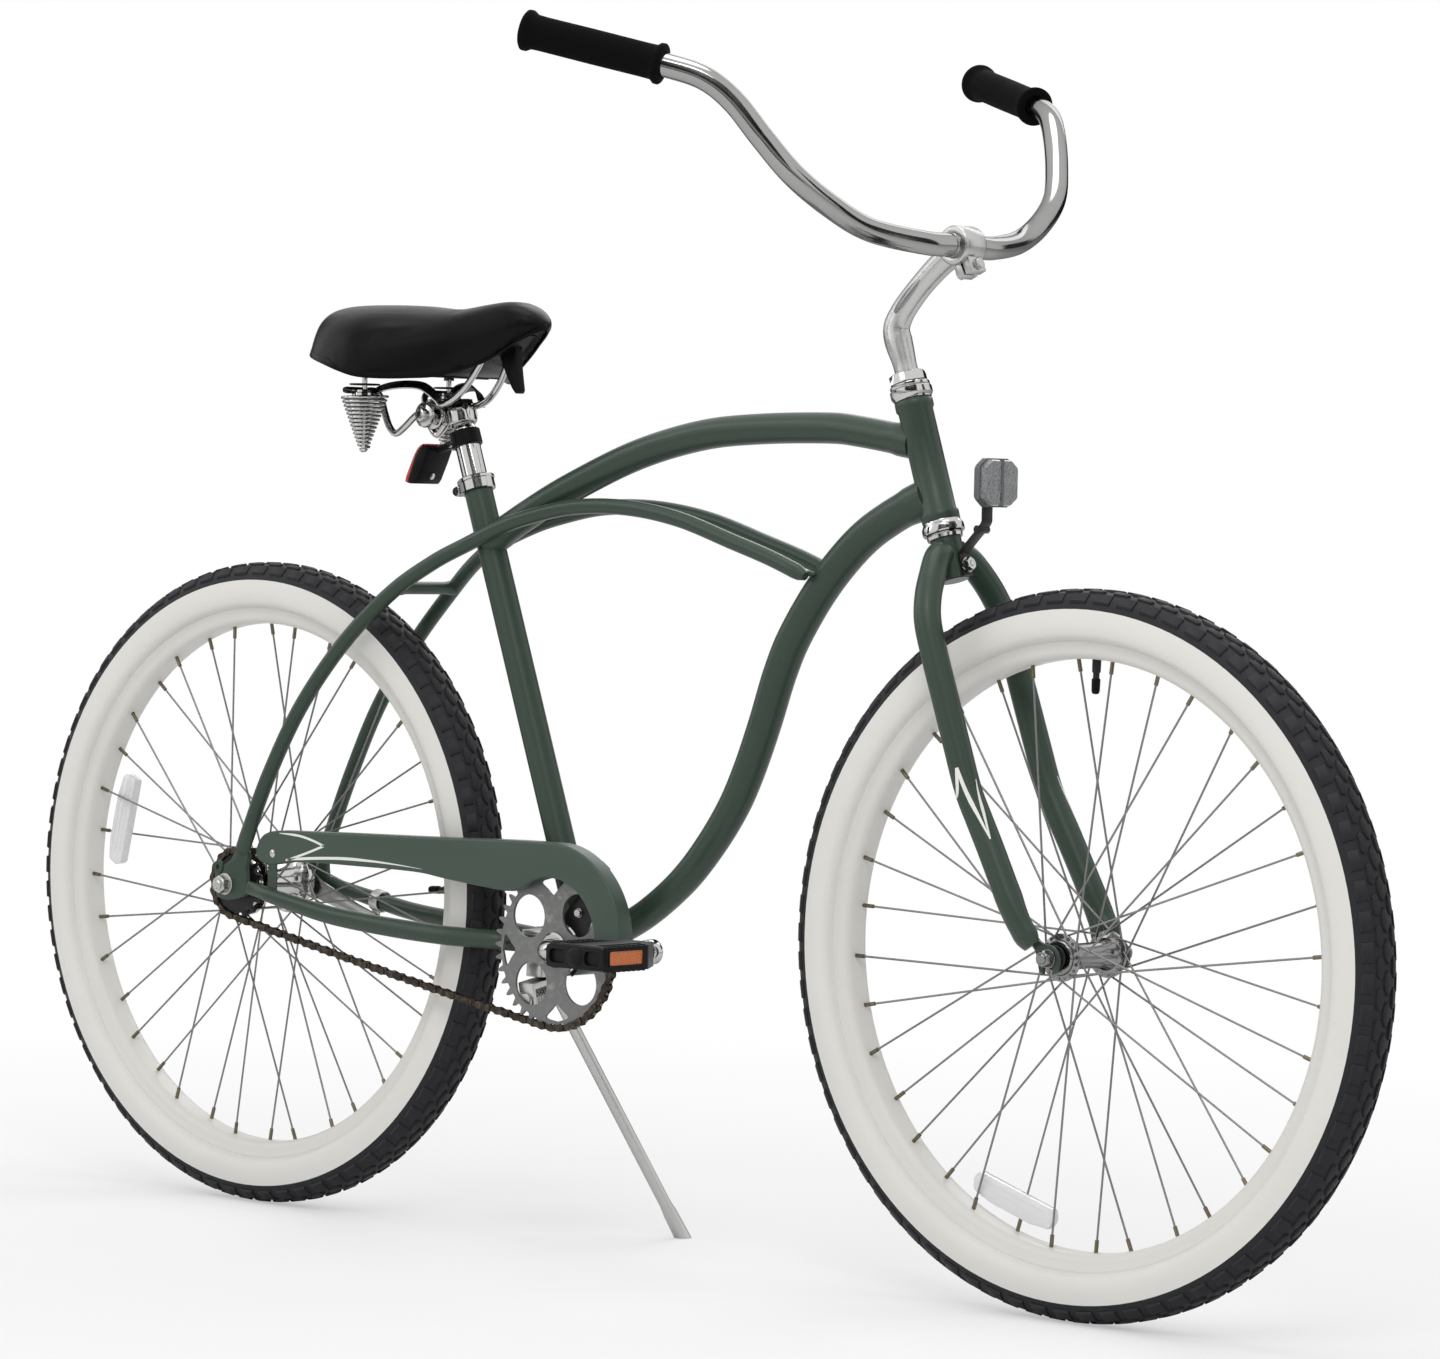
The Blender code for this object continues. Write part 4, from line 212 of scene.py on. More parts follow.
def rounded(corners: Sequence[Pair], radius: float, steps: int = 5) -> list[Pair]:
    """A closed outline with its corners rounded.

    Args:
        corners: the sharp outline.
        radius: the corners' radius, made smaller where a side is short.
        steps: points in each corner.

    Returns:
        The outline's points.
    """
    pts = [np.asarray(p, float) for p in corners]
    outline = []
    for i, here in enumerate(pts):
        back, on = pts[i - 1] - here, pts[(i + 1) % len(pts)] - here
        room = 0.45 * min(np.linalg.norm(back), np.linalg.norm(on))
        turn = math.acos(float(np.clip(np.dot(unit(back), unit(on)), -1.0, 1.0)))
        reach = min(room, radius / max(math.tan(turn / 2), 1e-3))
        a, b = here + unit(back) * reach, here + unit(on) * reach
        for s in np.linspace(0.0, 1.0, steps):
            spot = (1 - s) ** 2 * a + 2 * s * (1 - s) * here + s * s * b
            outline.append((float(spot[0]), float(spot[1])))
    return outline


def pad(across: float, along: float, radius: float) -> list[Pair]:
    """An oblong outline about nought, by half its sides and the radius of its corners."""
    return rounded([(-across, -along), (across, -along), (across, along), (-across, along)], radius)


def inset(outline: Sequence[Pair], by: float) -> list[Pair]:
    """A closed outline that runs anticlockwise, moved inwards.

    Args:
        outline: its points.
        by: how far inwards.

    Returns:
        The moved points.
    """
    pts = np.asarray(outline, float)
    moved = pts + by * leftward(np.roll(pts, -1, axis=0) - np.roll(pts, 1, axis=0))
    return [(float(a), float(b)) for a, b in moved]


class Shape:
    """The points and faces of one mesh while it is drawn. Each face keeps the number of its finish."""

    def __init__(self) -> None:
        """Starts an empty shape."""
        self.points: list[np.ndarray] = []
        self.faces: list[tuple[int, ...]] = []
        self.skins: list[int] = []
        self.skin = 0

    def add(self, points: Points, faces: Sequence[Sequence[int]]) -> "Shape":
        """Adds points and the faces between them."""
        base = len(self.points)
        self.points.extend(np.asarray(points, float))
        self.faces.extend(tuple(base + i for i in face) for face in faces)
        self.skins.extend([self.skin] * len(faces))
        return self

    def using(self, skin: int) -> "Shape":
        """Chooses the finish of what is added next."""
        self.skin = skin
        return self

    def loft(self, rings: Points, caps: bool = True, ring: bool = False) -> "Shape":
        """Joins closed rings of points that have the same number of points.

        Args:
            rings: the rings in order.
            caps: whether the first and last ring are closed with a face.
            ring: whether the last ring joins the first one.

        Returns:
            The shape.
        """
        rings = np.asarray(rings, float)
        n, m = rings.shape[:2]
        faces = []
        for i in range(n if ring else n - 1):
            a, b = i * m, ((i + 1) % n) * m
            faces += [(a + k, a + (k + 1) % m, b + (k + 1) % m, b + k) for k in range(m)]
        if caps and not ring:
            faces += [tuple(range(m))[::-1], tuple(range((n - 1) * m, n * m))]
        return self.add(rings.reshape(-1, 3), faces)

    def tube(
        self,
        path: Points,
        radius: float | Sequence[float],
        sides: int = 24,
        flat: float | Sequence[float] = 1.0,
        hint: np.ndarray | None = None,
    ) -> "Shape":
        """Sweeps a round or flattened section along a path.

        Args:
            path: the centre line.
            radius: one radius, or one for each point.
            sides: points round the section.
            flat: scales the section along the hint, one value or one for each point.
            hint: the direction of the flattening at the start.

        Returns:
            The shape.
        """
        path = np.asarray(path, float)
        n = len(path)
        radius = np.broadcast_to(np.asarray(radius, float), (n,))
        flat = np.broadcast_to(np.asarray(flat, float), (n,))
        tangent = units(np.gradient(path, axis=0))
        side, other = frame_of(tangent[0], hint)
        angles = np.linspace(0.0, TAU, sides, endpoint=False)
        rings = []
        for i in range(n):
            side = unit(side - tangent[i] * np.dot(side, tangent[i]))
            other = np.cross(tangent[i], side)
            u = np.cos(angles)[:, None] * side * radius[i]
            v = np.sin(angles)[:, None] * other * radius[i] * flat[i]
            rings.append(path[i] + u + v)
        return self.loft(rings)

    def lathe(
        self,
        profile: Sequence[Pair],
        centre: Points,
        axis: Points,
        sides: int = 48,
        ring: bool = False,
    ) -> "Shape":
        """Turns a profile of (along, radius) pairs round an axis.

        Args:
            profile: the pairs, where a radius of nought closes the end in a point.
            centre: where along is nought.
            axis: the axis of turning.
            sides: points round the axis.
            ring: whether the profile joins its own start.

        Returns:
            The shape.
        """
        centre, axis = np.asarray(centre, float), unit(axis)
        side, other = frame_of(axis)
        angles = np.arange(sides) * TAU / sides
        spin = np.cos(angles)[:, None] * side + np.sin(angles)[:, None] * other
        points, rows = [], []
        for along, r in profile:
            row = [centre + axis * along] if r <= 1e-9 else list(centre + axis * along + r * spin)
            rows.append(list(range(len(points), len(points) + len(row))))
            points += row
        faces: list[tuple[int, ...]] = []
        for a, b in zip(rows, rows[1:] + rows[:1] if ring else rows[1:]):
            for k in range(sides if len(a) + len(b) > 2 else 0):
                j = (k + 1) % sides
                if len(a) == 1:
                    faces.append((a[0], b[j], b[k]))
                elif len(b) == 1:
                    faces.append((a[k], a[j], b[0]))
                else:
                    faces.append((a[k], a[j], b[j], b[k]))
        if not ring:
            faces += [tuple(rows[0])[::-1]] if len(rows[0]) > 1 else []
            faces += [tuple(rows[-1])] if len(rows[-1]) > 1 else []
        return self.add(points, faces)

    def rod(self, low: float, high: float, radius: float, centre: Points, axis: Points, sides: int) -> "Shape":
        """A plain round bar between two distances along an axis."""
        return self.lathe([(low, 0.0), (low, radius), (high, radius), (high, 0.0)], centre, axis, sides)

    def plate(
        self,
        outline: Sequence[Pair],
        origin: Points,
        across: Points,
        along: Points,
        thick: Points,
        holes: Sequence[Sequence[Pair]] = (),
    ) -> "Shape":
        """A flat plate with straight walls.

        Args:
            outline: its edge, in (across, along) pairs.
            origin: where both are nought.
            across: the first direction of the pairs.
            along: the second one.
            thick: the thickness as a vector.
            holes: edges of its holes.

        Returns:
            The shape.
        """
        loops = [np.asarray(loop, float) for loop in (outline, *holes)]
        flat = [[Vector((p[0], p[1], 0.0)) for p in loop] for loop in loops]
        every = np.vstack(loops)
        n = len(every)
        base = np.asarray(origin) + every[:, :1] * np.asarray(across) + every[:, 1:] * np.asarray(along)
        tris = tessellate_polygon(flat)
        faces = [tuple(t) for t in tris] + [tuple(i + n for i in t)[::-1] for t in tris]
        start = 0
        for loop in loops:
            m = len(loop)
            for k in range(m):
                a, b = start + k, start + (k + 1) % m
                faces.append((a, b, b + n, a + n))
            start += m
        return self.add(np.vstack([base, base + np.asarray(thick)]), faces)

    def box(self, centre: Points, size: Sequence[float], axes: Points | None = None) -> "Shape":
        """A block by its middle and its size along three directions."""
        ax = np.asarray([X_AXIS, Y_AXIS, Z_AXIS] if axes is None else axes, float)
        half = [(x, y, z) for x in (-0.5, 0.5) for y in (-0.5, 0.5) for z in (-0.5, 0.5)]
        points = [np.asarray(centre) + sum(s * size[i] * ax[i] for i, s in enumerate(h)) for h in half]
        return self.add(points, [(0, 1, 3, 2), (4, 6, 7, 5), (0, 4, 5, 1), (2, 3, 7, 6), (0, 2, 6, 4), (1, 5, 7, 3)])

    def slab(
        self,
        rows: Sequence[tuple[float, Sequence[Pair]]],
        origin: Points,
        across: Points,
        along: Points,
        normal: Points,
    ) -> "Shape":
        """A solid from outlines of equal length at several heights, such as a domed or stepped cover.

        Args:
            rows: each height with its outline.
            origin: where all is nought.
            across: the first direction of the outlines.
            along: the second one.
            normal: the direction of the heights.

        Returns:
            The shape.
        """
        rings = []
        for height, outline in rows:
            every = np.asarray(outline, float)
            flat = every[:, :1] * np.asarray(across) + every[:, 1:] * np.asarray(along)
            rings.append(np.asarray(origin) + flat + height * np.asarray(normal))
        return self.loft(rings)

    def mesh(self, name: str, bevel: float, segments: int, sharp: float) -> bpy.types.Mesh:
        """Turns the shape into a mesh with outward faces, rounded edges and smooth shading.

        Args:
            name: the mesh's name.
            bevel: the edges' radius, or nought.
            segments: faces across a rounded edge.
            sharp: the angle in degrees past which an edge stays sharp.

        Returns:
            The mesh.
        """
        mesh = bpy.data.meshes.new(name)
        mesh.from_pydata([tuple(p) for p in self.points], [], self.faces)
        mesh.polygons.foreach_set("material_index", self.skins)
        work = bmesh.new()
        work.from_mesh(mesh)
        bmesh.ops.remove_doubles(work, verts=work.verts, dist=1e-6)
        bmesh.ops.dissolve_degenerate(work, edges=work.edges, dist=1e-7)
        bmesh.ops.recalc_face_normals(work, faces=work.faces)
        if bevel:
            limit = math.radians(28)
            edges = [e for e in work.edges if len(e.link_faces) == 2 and e.calc_face_angle(0.0) > limit]
            bmesh.ops.bevel(
                work, geom=edges, offset=bevel, offset_type="OFFSET", segments=segments,
                profile=0.5, affect="EDGES", clamp_overlap=True,
            )
        work.to_mesh(mesh)
        work.free()
        mesh.shade_smooth()
        mesh.set_sharp_from_angle(angle=math.radians(sharp))
        return mesh


def link(obj: bpy.types.Object) -> bpy.types.Object:
    """Puts an object in the scene."""
    bpy.context.scene.collection.objects.link(obj)
    return obj


def baked(obj: bpy.types.Object) -> bpy.types.Mesh:
    """A plain mesh of an object as its modifiers leave it."""
    graph = bpy.context.evaluated_depsgraph_get()
    return bpy.data.meshes.new_from_object(obj.evaluated_get(graph))


def enrol(obj: bpy.types.Object, body: str, stands_for: Sequence[str] = ()) -> bpy.types.Object:
    """Rides a piece on its body and hides the frame's nodes that it replaces.

    Args:
        obj: the finished piece.
        body: the body it moves with.
        stands_for: the frame's nodes that it replaces.

    Returns:
        The piece.
    """
    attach(obj, body)
    if stands_for:
        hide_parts(*stands_for)
    log.info("%s on %s", obj.name, body)
    return obj


def piece(
    shape: Shape,
    name: str,
    finishes: "Sequence[Finish]",
    body: str,
    stands_for: Sequence[str] = (),
    bevel: float = 0.0,
    segments: int = 2,
    sharp: float = 38.0,
) -> bpy.types.Object:
    """Makes a finished piece from a shape.

    Args:
        shape: what it looks like.
        name: its name.
        finishes: one finish for each number that the faces keep.
        body: the body it moves with.
        stands_for: the frame's nodes that it replaces.
        bevel: the edges' radius, or nought.
        segments: faces across a rounded edge.
        sharp: the angle in degrees past which an edge stays sharp.

    Returns:
        The piece.
    """
    obj = link(bpy.data.objects.new(name, shape.mesh(name, bevel, segments, sharp)))
    for finish in finishes:
        obj.data.materials.append(finish.material())
    return enrol(obj, body, stands_for)


# Finishes
class Texture(Enum):
    """What gives a finish its fine relief: noise, which can be stretched, or rounded cells."""

    NOISE = "noise"
    CELLS = "cells"


def shader_node(
    tree: bpy.types.NodeTree, kind: str, operation: str | None = None, **values: float
) -> bpy.types.Node:
    """Adds a shader node, with its operation and the values of its inputs.

    Args:
        tree: the tree it is added to.
        kind: the node's type.
        operation: what a math node does.
        values: the inputs' values, by name with _ for a space.

    Returns:
        The node.
    """
    node = tree.nodes.new(kind)
    if operation:
        node.operation = operation
    for label, value in values.items():
        node.inputs[label.replace("_", " ")].default_value = value
    return node


def wire(tree: bpy.types.NodeTree, *pairs: tuple[bpy.types.NodeSocket, bpy.types.NodeSocket]) -> None:
    """Links each pair of sockets."""
    for start, end in pairs:
        tree.links.new(start, end)


class Effects:
    """The shader node groups that the finishes share. Each is built once."""

    def __init__(self) -> None:
        """Builds the groups."""
        self.grain = self._grain()
        self.wear = self._wear()
        self.dust = self._dust()
        self.cells = self._cells()

    @staticmethod
    def _start(name: str, inputs: dict[str, float], outputs: Sequence[str]) -> bpy.types.NodeTree:
        """A group with float sockets of the given names."""
        tree = bpy.data.node_groups.new(name, "ShaderNodeTree")
        for label, value in inputs.items():
            tree.interface.new_socket(label, in_out="INPUT", socket_type="NodeSocketFloat").default_value = value
        for label in outputs:
            tree.interface.new_socket(label, in_out="OUTPUT", socket_type="NodeSocketFloat")
        tree.nodes.new("NodeGroupInput")
        tree.nodes.new("NodeGroupOutput")
        return tree

    @staticmethod
    def _ends(tree: bpy.types.NodeTree) -> tuple[bpy.types.NodeInputs, bpy.types.NodeOutputs]:
        """The group's output sockets to fill and its input sockets to read."""
        nodes = {n.bl_idname: n for n in tree.nodes}
        return nodes["NodeGroupOutput"].inputs, nodes["NodeGroupInput"].outputs

    def _grain(self) -> bpy.types.NodeTree:
        """Fine noise for height, and broad noise for patches of colour and gloss."""
        tree = self._start("surface grain", {"Scale": 900.0, "Patch": 14.0, "Stretch": 1.0}, ("Height", "Patches"))
        out, given = self._ends(tree)
        place = tree.nodes.new("ShaderNodeTexCoord")
        pull = shader_node(tree, "ShaderNodeCombineXYZ", Y=1.0, Z=1.0)
        mapping = shader_node(tree, "ShaderNodeVectorMath", "MULTIPLY")
        fine = shader_node(tree, "ShaderNodeTexNoise", Detail=3.0)
        broad = shader_node(tree, "ShaderNodeTexNoise", Detail=4.0)
        wire(
            tree, (given["Stretch"], pull.inputs[0]), (place.outputs["Object"], mapping.inputs[0]),
            (pull.outputs[0], mapping.inputs[1]), (mapping.outputs[0], fine.inputs["Vector"]),
            (place.outputs["Object"], broad.inputs["Vector"]), (given["Scale"], fine.inputs["Scale"]),
            (given["Patch"], broad.inputs["Scale"]), (fine.outputs[0], out["Height"]),
            (broad.outputs[0], out["Patches"]),
        )
        return tree

    def _wear(self) -> bpy.types.NodeTree:
        """A mask of rubbed edges, broken up by noise."""
        tree = self._start("edge wear", {"Amount": 0.5, "Scale": 160.0}, ("Mask",))
        out, given = self._ends(tree)
        shape = tree.nodes.new("ShaderNodeNewGeometry")
        place = tree.nodes.new("ShaderNodeTexCoord")
        ramp = shader_node(tree, "ShaderNodeMapRange", From_Min=0.53, From_Max=0.64)
        noise = shader_node(tree, "ShaderNodeTexNoise", Detail=5.0)
        gate = shader_node(tree, "ShaderNodeMapRange", From_Min=0.44, From_Max=0.62)
        both = shader_node(tree, "ShaderNodeMath", "MULTIPLY")
        scaled = shader_node(tree, "ShaderNodeMath", "MULTIPLY")
        wire(
            tree, (shape.outputs["Pointiness"], ramp.inputs["Value"]),
            (place.outputs["Object"], noise.inputs["Vector"]),
            (given["Scale"], noise.inputs["Scale"]), (noise.outputs[0], gate.inputs["Value"]),
            (ramp.outputs[0], both.inputs[0]), (gate.outputs[0], both.inputs[1]), (both.outputs[0], scaled.inputs[0]),
            (given["Amount"], scaled.inputs[1]), (scaled.outputs[0], out["Mask"]),
        )
        return tree

    def _dust(self) -> bpy.types.NodeTree:
        """A mask of light dust that lies on faces that look up."""
        tree = self._start("settled dust", {"Amount": 0.1, "Scale": 60.0}, ("Mask",))
        out, given = self._ends(tree)
        shape = tree.nodes.new("ShaderNodeNewGeometry")
        place = tree.nodes.new("ShaderNodeTexCoord")
        height = tree.nodes.new("ShaderNodeSeparateXYZ")
        facing = shader_node(tree, "ShaderNodeMapRange", From_Min=-0.2)
        noise = shader_node(tree, "ShaderNodeTexNoise", Detail=6.0)
        both = shader_node(tree, "ShaderNodeMath", "MULTIPLY")
        scaled = shader_node(tree, "ShaderNodeMath", "MULTIPLY")
        wire(
            tree, (shape.outputs["Normal"], height.inputs[0]), (height.outputs["Z"], facing.inputs["Value"]),
            (place.outputs["Object"], noise.inputs["Vector"]), (given["Scale"], noise.inputs["Scale"]),
            (facing.outputs[0], both.inputs[0]), (noise.outputs[0], both.inputs[1]),
            (both.outputs[0], scaled.inputs[0]), (given["Amount"], scaled.inputs[1]),
            (scaled.outputs[0], out["Mask"]),
        )
        return tree

    def _cells(self) -> bpy.types.NodeTree:
        """Rounded cells for pebbled vinyl, foam pores and the prisms of a reflector."""
        tree = self._start("surface cells", {"Scale": 500.0}, ("Height",))
        out, given = self._ends(tree)
        place = tree.nodes.new("ShaderNodeTexCoord")
        cells = tree.nodes.new("ShaderNodeTexVoronoi")
        wire(
            tree, (place.outputs["Object"], cells.inputs["Vector"]), (given["Scale"], cells.inputs["Scale"]),
            (cells.outputs["Distance"], out["Height"]),
        )
        return tree


EFFECTS = Effects()
DUST: Colour = (0.46, 0.44, 0.4)


@dataclass(frozen=True)
class Finish:
    """One finish of the bicycle, with all that its material needs."""

    name: str
    slot: str
    colour: Colour
    rough: float
    metal: float = 0.0
    patches: float = 0.12
    patch_scale: float = 14.0
    rough_spread: float = 0.06
    texture: Texture = Texture.NOISE
    scale: float = 900.0
    stretch: float = 1.0
    bump: float = 0.05
    depth: float = 0.0002
    worn: Colour | None = None
    wear: float = 0.0
    dust: float = 0.0
    coat: float = 0.0
    coat_rough: float = 0.1
    clear: float = 0.0
    sheen: float = 0.0
    shine: float = 0.5
    edge: float = 0.4

    def material(self) -> bpy.types.Material:
        """The finish's material, made the first time it is asked for."""
        found = bpy.data.materials.get(f"finish_{self.name}")
        return found or self._make()

    def _make(self) -> bpy.types.Material:
        """Builds the material's nodes.

        Returns:
            The material.
        """
        mat = bpy.data.materials.new(f"finish_{self.name}")
        mat.use_nodes = True
        tree = mat.node_tree
        shader = tree.nodes["Principled BSDF"]
        for label, value in (
            ("Metallic", self.metal), ("Coat Weight", self.coat), ("Coat Roughness", self.coat_rough),
            ("Transmission Weight", self.clear), ("Sheen Weight", self.sheen), ("Specular IOR Level", self.shine),
        ):
            shader.inputs[label].default_value = value
        if self.metal > 0.5:
            shader.inputs["Specular Tint"].default_value = (self.edge, self.edge, self.edge, 1.0)
        grain = self._placed(tree, EFFECTS.grain, Scale=self.scale, Patch=self.patch_scale, Stretch=self.stretch)
        low, high = max(0.0, self.rough - self.rough_spread), self.rough + self.rough_spread
        spread = shader_node(tree, "ShaderNodeMapRange", From_Min=0.25, From_Max=0.75, To_Min=low, To_Max=high)
        wire(tree, (grain.outputs["Patches"], spread.inputs["Value"]), (spread.outputs[0], shader.inputs["Roughness"]))
        dark = tuple(c * (1 - self.patches) for c in self.colour)
        light = tuple(min(1.0, c * (1 + self.patches)) for c in self.colour)
        tone = self._mixed(tree, dark, light, grain.outputs["Patches"])
        if self.wear:
            wear = self._placed(tree, EFFECTS.wear, Amount=self.wear)
            tone = self._mixed(tree, tone, self.worn or light, wear.outputs["Mask"])
        if self.dust:
            dust = self._placed(tree, EFFECTS.dust, Amount=self.dust)
            tone = self._mixed(tree, tone, DUST, dust.outputs["Mask"])
        tree.links.new(tone, shader.inputs["Base Color"])
        height = grain.outputs["Height"]
        if self.texture is Texture.CELLS:
            height = self._placed(tree, EFFECTS.cells, Scale=self.scale).outputs["Height"]
        bump = shader_node(tree, "ShaderNodeBump", Strength=self.bump, Distance=self.depth)
        wire(tree, (height, bump.inputs["Height"]), (bump.outputs[0], shader.inputs["Normal"]))
        return mat

    @staticmethod
    def _placed(tree: bpy.types.NodeTree, group: bpy.types.NodeTree, **values: float) -> bpy.types.Node:
        """Places a group in a material with its own values."""
        node = tree.nodes.new("ShaderNodeGroup")
        node.node_tree = group
        for label, value in values.items():
            node.inputs[label].default_value = value
        return node

    @staticmethod
    def _mixed(
        tree: bpy.types.NodeTree,
        low: "Colour | bpy.types.NodeSocket",
        high: "Colour | bpy.types.NodeSocket",
        mask: bpy.types.NodeSocket,
    ) -> bpy.types.NodeSocket:
        """Mixes two colours by a mask.

        Args:
            tree: the material's nodes.
            low: the colour where the mask is nought.
            high: the colour where it is one.
            mask: the mask's socket.

        Returns:
            The socket of the mixed colour.
        """
        node = tree.nodes.new("ShaderNodeMix")
        node.data_type = "RGBA"
        tree.links.new(mask, node.inputs["Factor"])
        for index, value in ((6, low), (7, high)):
            if isinstance(value, tuple):
                node.inputs[index].default_value = (*value, 1.0)
            else:
                tree.links.new(value, node.inputs[index])
        return node.outputs[2]


PAINT = Finish(
    "satin_green", "frame_paint", (0.03, 0.052, 0.036), 0.36, patches=0.05, rough_spread=0.03, scale=420.0,
    bump=0.06, worn=(0.06, 0.085, 0.066), wear=0.25, dust=0.02, coat=0.1, coat_rough=0.22, shine=0.32,
)
GUARD_PAINT = Finish(
    "guard_green", "frame_paint", (0.044, 0.072, 0.051), 0.42, patches=0.05, rough_spread=0.03, scale=420.0,
    bump=0.05, worn=(0.075, 0.1, 0.08), wear=0.2, dust=0.02, coat=0.1, coat_rough=0.28, shine=0.35,
)
STRIPE = Finish("white_line", "frame_paint", (0.8, 0.8, 0.77), 0.4, patches=0.04, scale=420.0)
CHROME = Finish(
    "chrome", "chrome", (0.58, 0.58, 0.57), 0.1, 1.0, patches=0.04, rough_spread=0.04, patch_scale=40.0, bump=0.0,
)
DEEP_CHROME = Finish("deep_chrome", "chrome", (0.38, 0.38, 0.375), 0.12, 1.0, patches=0.04, patch_scale=40.0, bump=0.0)
SATIN = Finish(
    "satin_alloy", "brushed_steel", (0.56, 0.56, 0.55), 0.3, 1.0, patches=0.08, scale=700.0, stretch=0.15, bump=0.06,
)
ZINC = Finish(
    "zinc_plate", "brushed_steel", (0.6, 0.6, 0.58), 0.36, 1.0, patches=0.14, rough_spread=0.1,
    patch_scale=90.0, bump=0.05,
)
SPOKE_STEEL = Finish("spoke_steel", "chrome", (0.26, 0.26, 0.255), 0.35, 1.0, patches=0.1, patch_scale=60.0)
RING_GREY = Finish(
    "ring_grey", "ring_grey", (0.19, 0.195, 0.19), 0.42, 0.55, shine=0.4, patches=0.1, rough_spread=0.08,
    worn=(0.42, 0.42, 0.4), wear=0.5, bump=0.06,
)
CHAIN = Finish(
    "chain_steel", "chain_steel", (0.05, 0.04, 0.032), 0.42, 0.85, patches=0.3, rough_spread=0.14,
    patch_scale=120.0, worn=(0.2, 0.17, 0.14), wear=0.4,
)
BLACK_METAL = Finish(
    "black_metal", "black_metal", (0.016, 0.016, 0.017), 0.4, 0.35, worn=(0.1, 0.1, 0.1), wear=0.35,
    dust=0.02, shine=0.35,
)
RUBBER = Finish(
    "tyre_rubber", "tyre_rubber", (0.013, 0.0135, 0.016), 0.62, patches=0.12, shine=0.3, scale=1500.0, bump=0.25,
    depth=0.0001, dust=0.03,
)
WHITEWALL = Finish(
    "whitewall", "tyre_rubber", (0.74, 0.73, 0.695), 0.55, shine=0.3, patches=0.03, scale=900.0, bump=0.1, depth=0.0001,
    dust=0.05,
)
RIM_WHITE = Finish(
    "rim_white", "rim_white", (0.7, 0.69, 0.655), 0.42, patches=0.02, scale=500.0, coat=0.08, coat_rough=0.2, shine=0.3,
)
FOAM = Finish(
    "grip_foam", "grip_foam", (0.0038, 0.0038, 0.0038), 0.88, shine=0.06, texture=Texture.CELLS, scale=1300.0, bump=0.5,
    depth=0.0004, sheen=0.005,
)
VINYL = Finish(
    "saddle_vinyl", "saddle_vinyl", (0.003, 0.003, 0.0032), 0.36, shine=0.12, patches=0.06, texture=Texture.CELLS,
    scale=900.0, bump=0.1, depth=0.0002,
)
RESIN = Finish(
    "pedal_resin", "pedal_resin", (0.0045, 0.0045, 0.005), 0.45, scale=800.0, bump=0.14, worn=(0.03, 0.03, 0.03),
    wear=0.3, dust=0.01, shine=0.18,
)
PLASTIC = Finish("black_plastic", "black_plastic", (0.0045, 0.0045, 0.005), 0.36, scale=700.0, bump=0.08, shine=0.1)
DARK_CHROME = Finish("dark_chrome", "chrome", (0.3, 0.3, 0.3), 0.2, 1.0, patches=0.06, patch_scale=60.0, bump=0.0)
BRASS = Finish("nipple_brass", "chrome", (0.2, 0.17, 0.12), 0.35, 1.0)
# grey for the thin ring at each edge of the rim: painted shadow where the tyre meets the rim
BEAD_SHADOW = Finish("bead_line", "rim_white", (0.33, 0.31, 0.29), 0.7, shine=0.1)
PRISM = Finish(
    "prism_lens", "clear_lens", (0.23, 0.235, 0.24), 0.14, clear=0.15, texture=Texture.CELLS, scale=300.0, bump=1.0,
    depth=0.002, coat=0.7, coat_rough=0.04, patches=0.35, patch_scale=260.0,
)
CLEAR = Finish(
    "clear_lens", "clear_lens", (0.8, 0.8, 0.81), 0.14, clear=0.1, texture=Texture.CELLS, scale=420.0, bump=0.35,
    depth=0.0006, coat=0.6, coat_rough=0.05, patches=0.05,
)
GREY_PLASTIC = Finish("grey_plastic", "clear_lens", (0.1, 0.105, 0.11), 0.35, scale=700.0, bump=0.05)
AMBER = Finish(
    "amber_lens", "clear_lens", (0.56, 0.125, 0.01), 0.2, texture=Texture.CELLS, scale=520.0, bump=0.8,
    depth=0.001, coat=0.6, coat_rough=0.05,
)
RED = Finish(
    "red_lens", "red_lens", (0.5, 0.012, 0.01), 0.15, texture=Texture.CELLS, scale=520.0, bump=0.8,
    depth=0.001, coat=0.6, coat_rough=0.05,
)


# Patterns made with geometry nodes
GROWN_SHARP = math.radians(40.0)


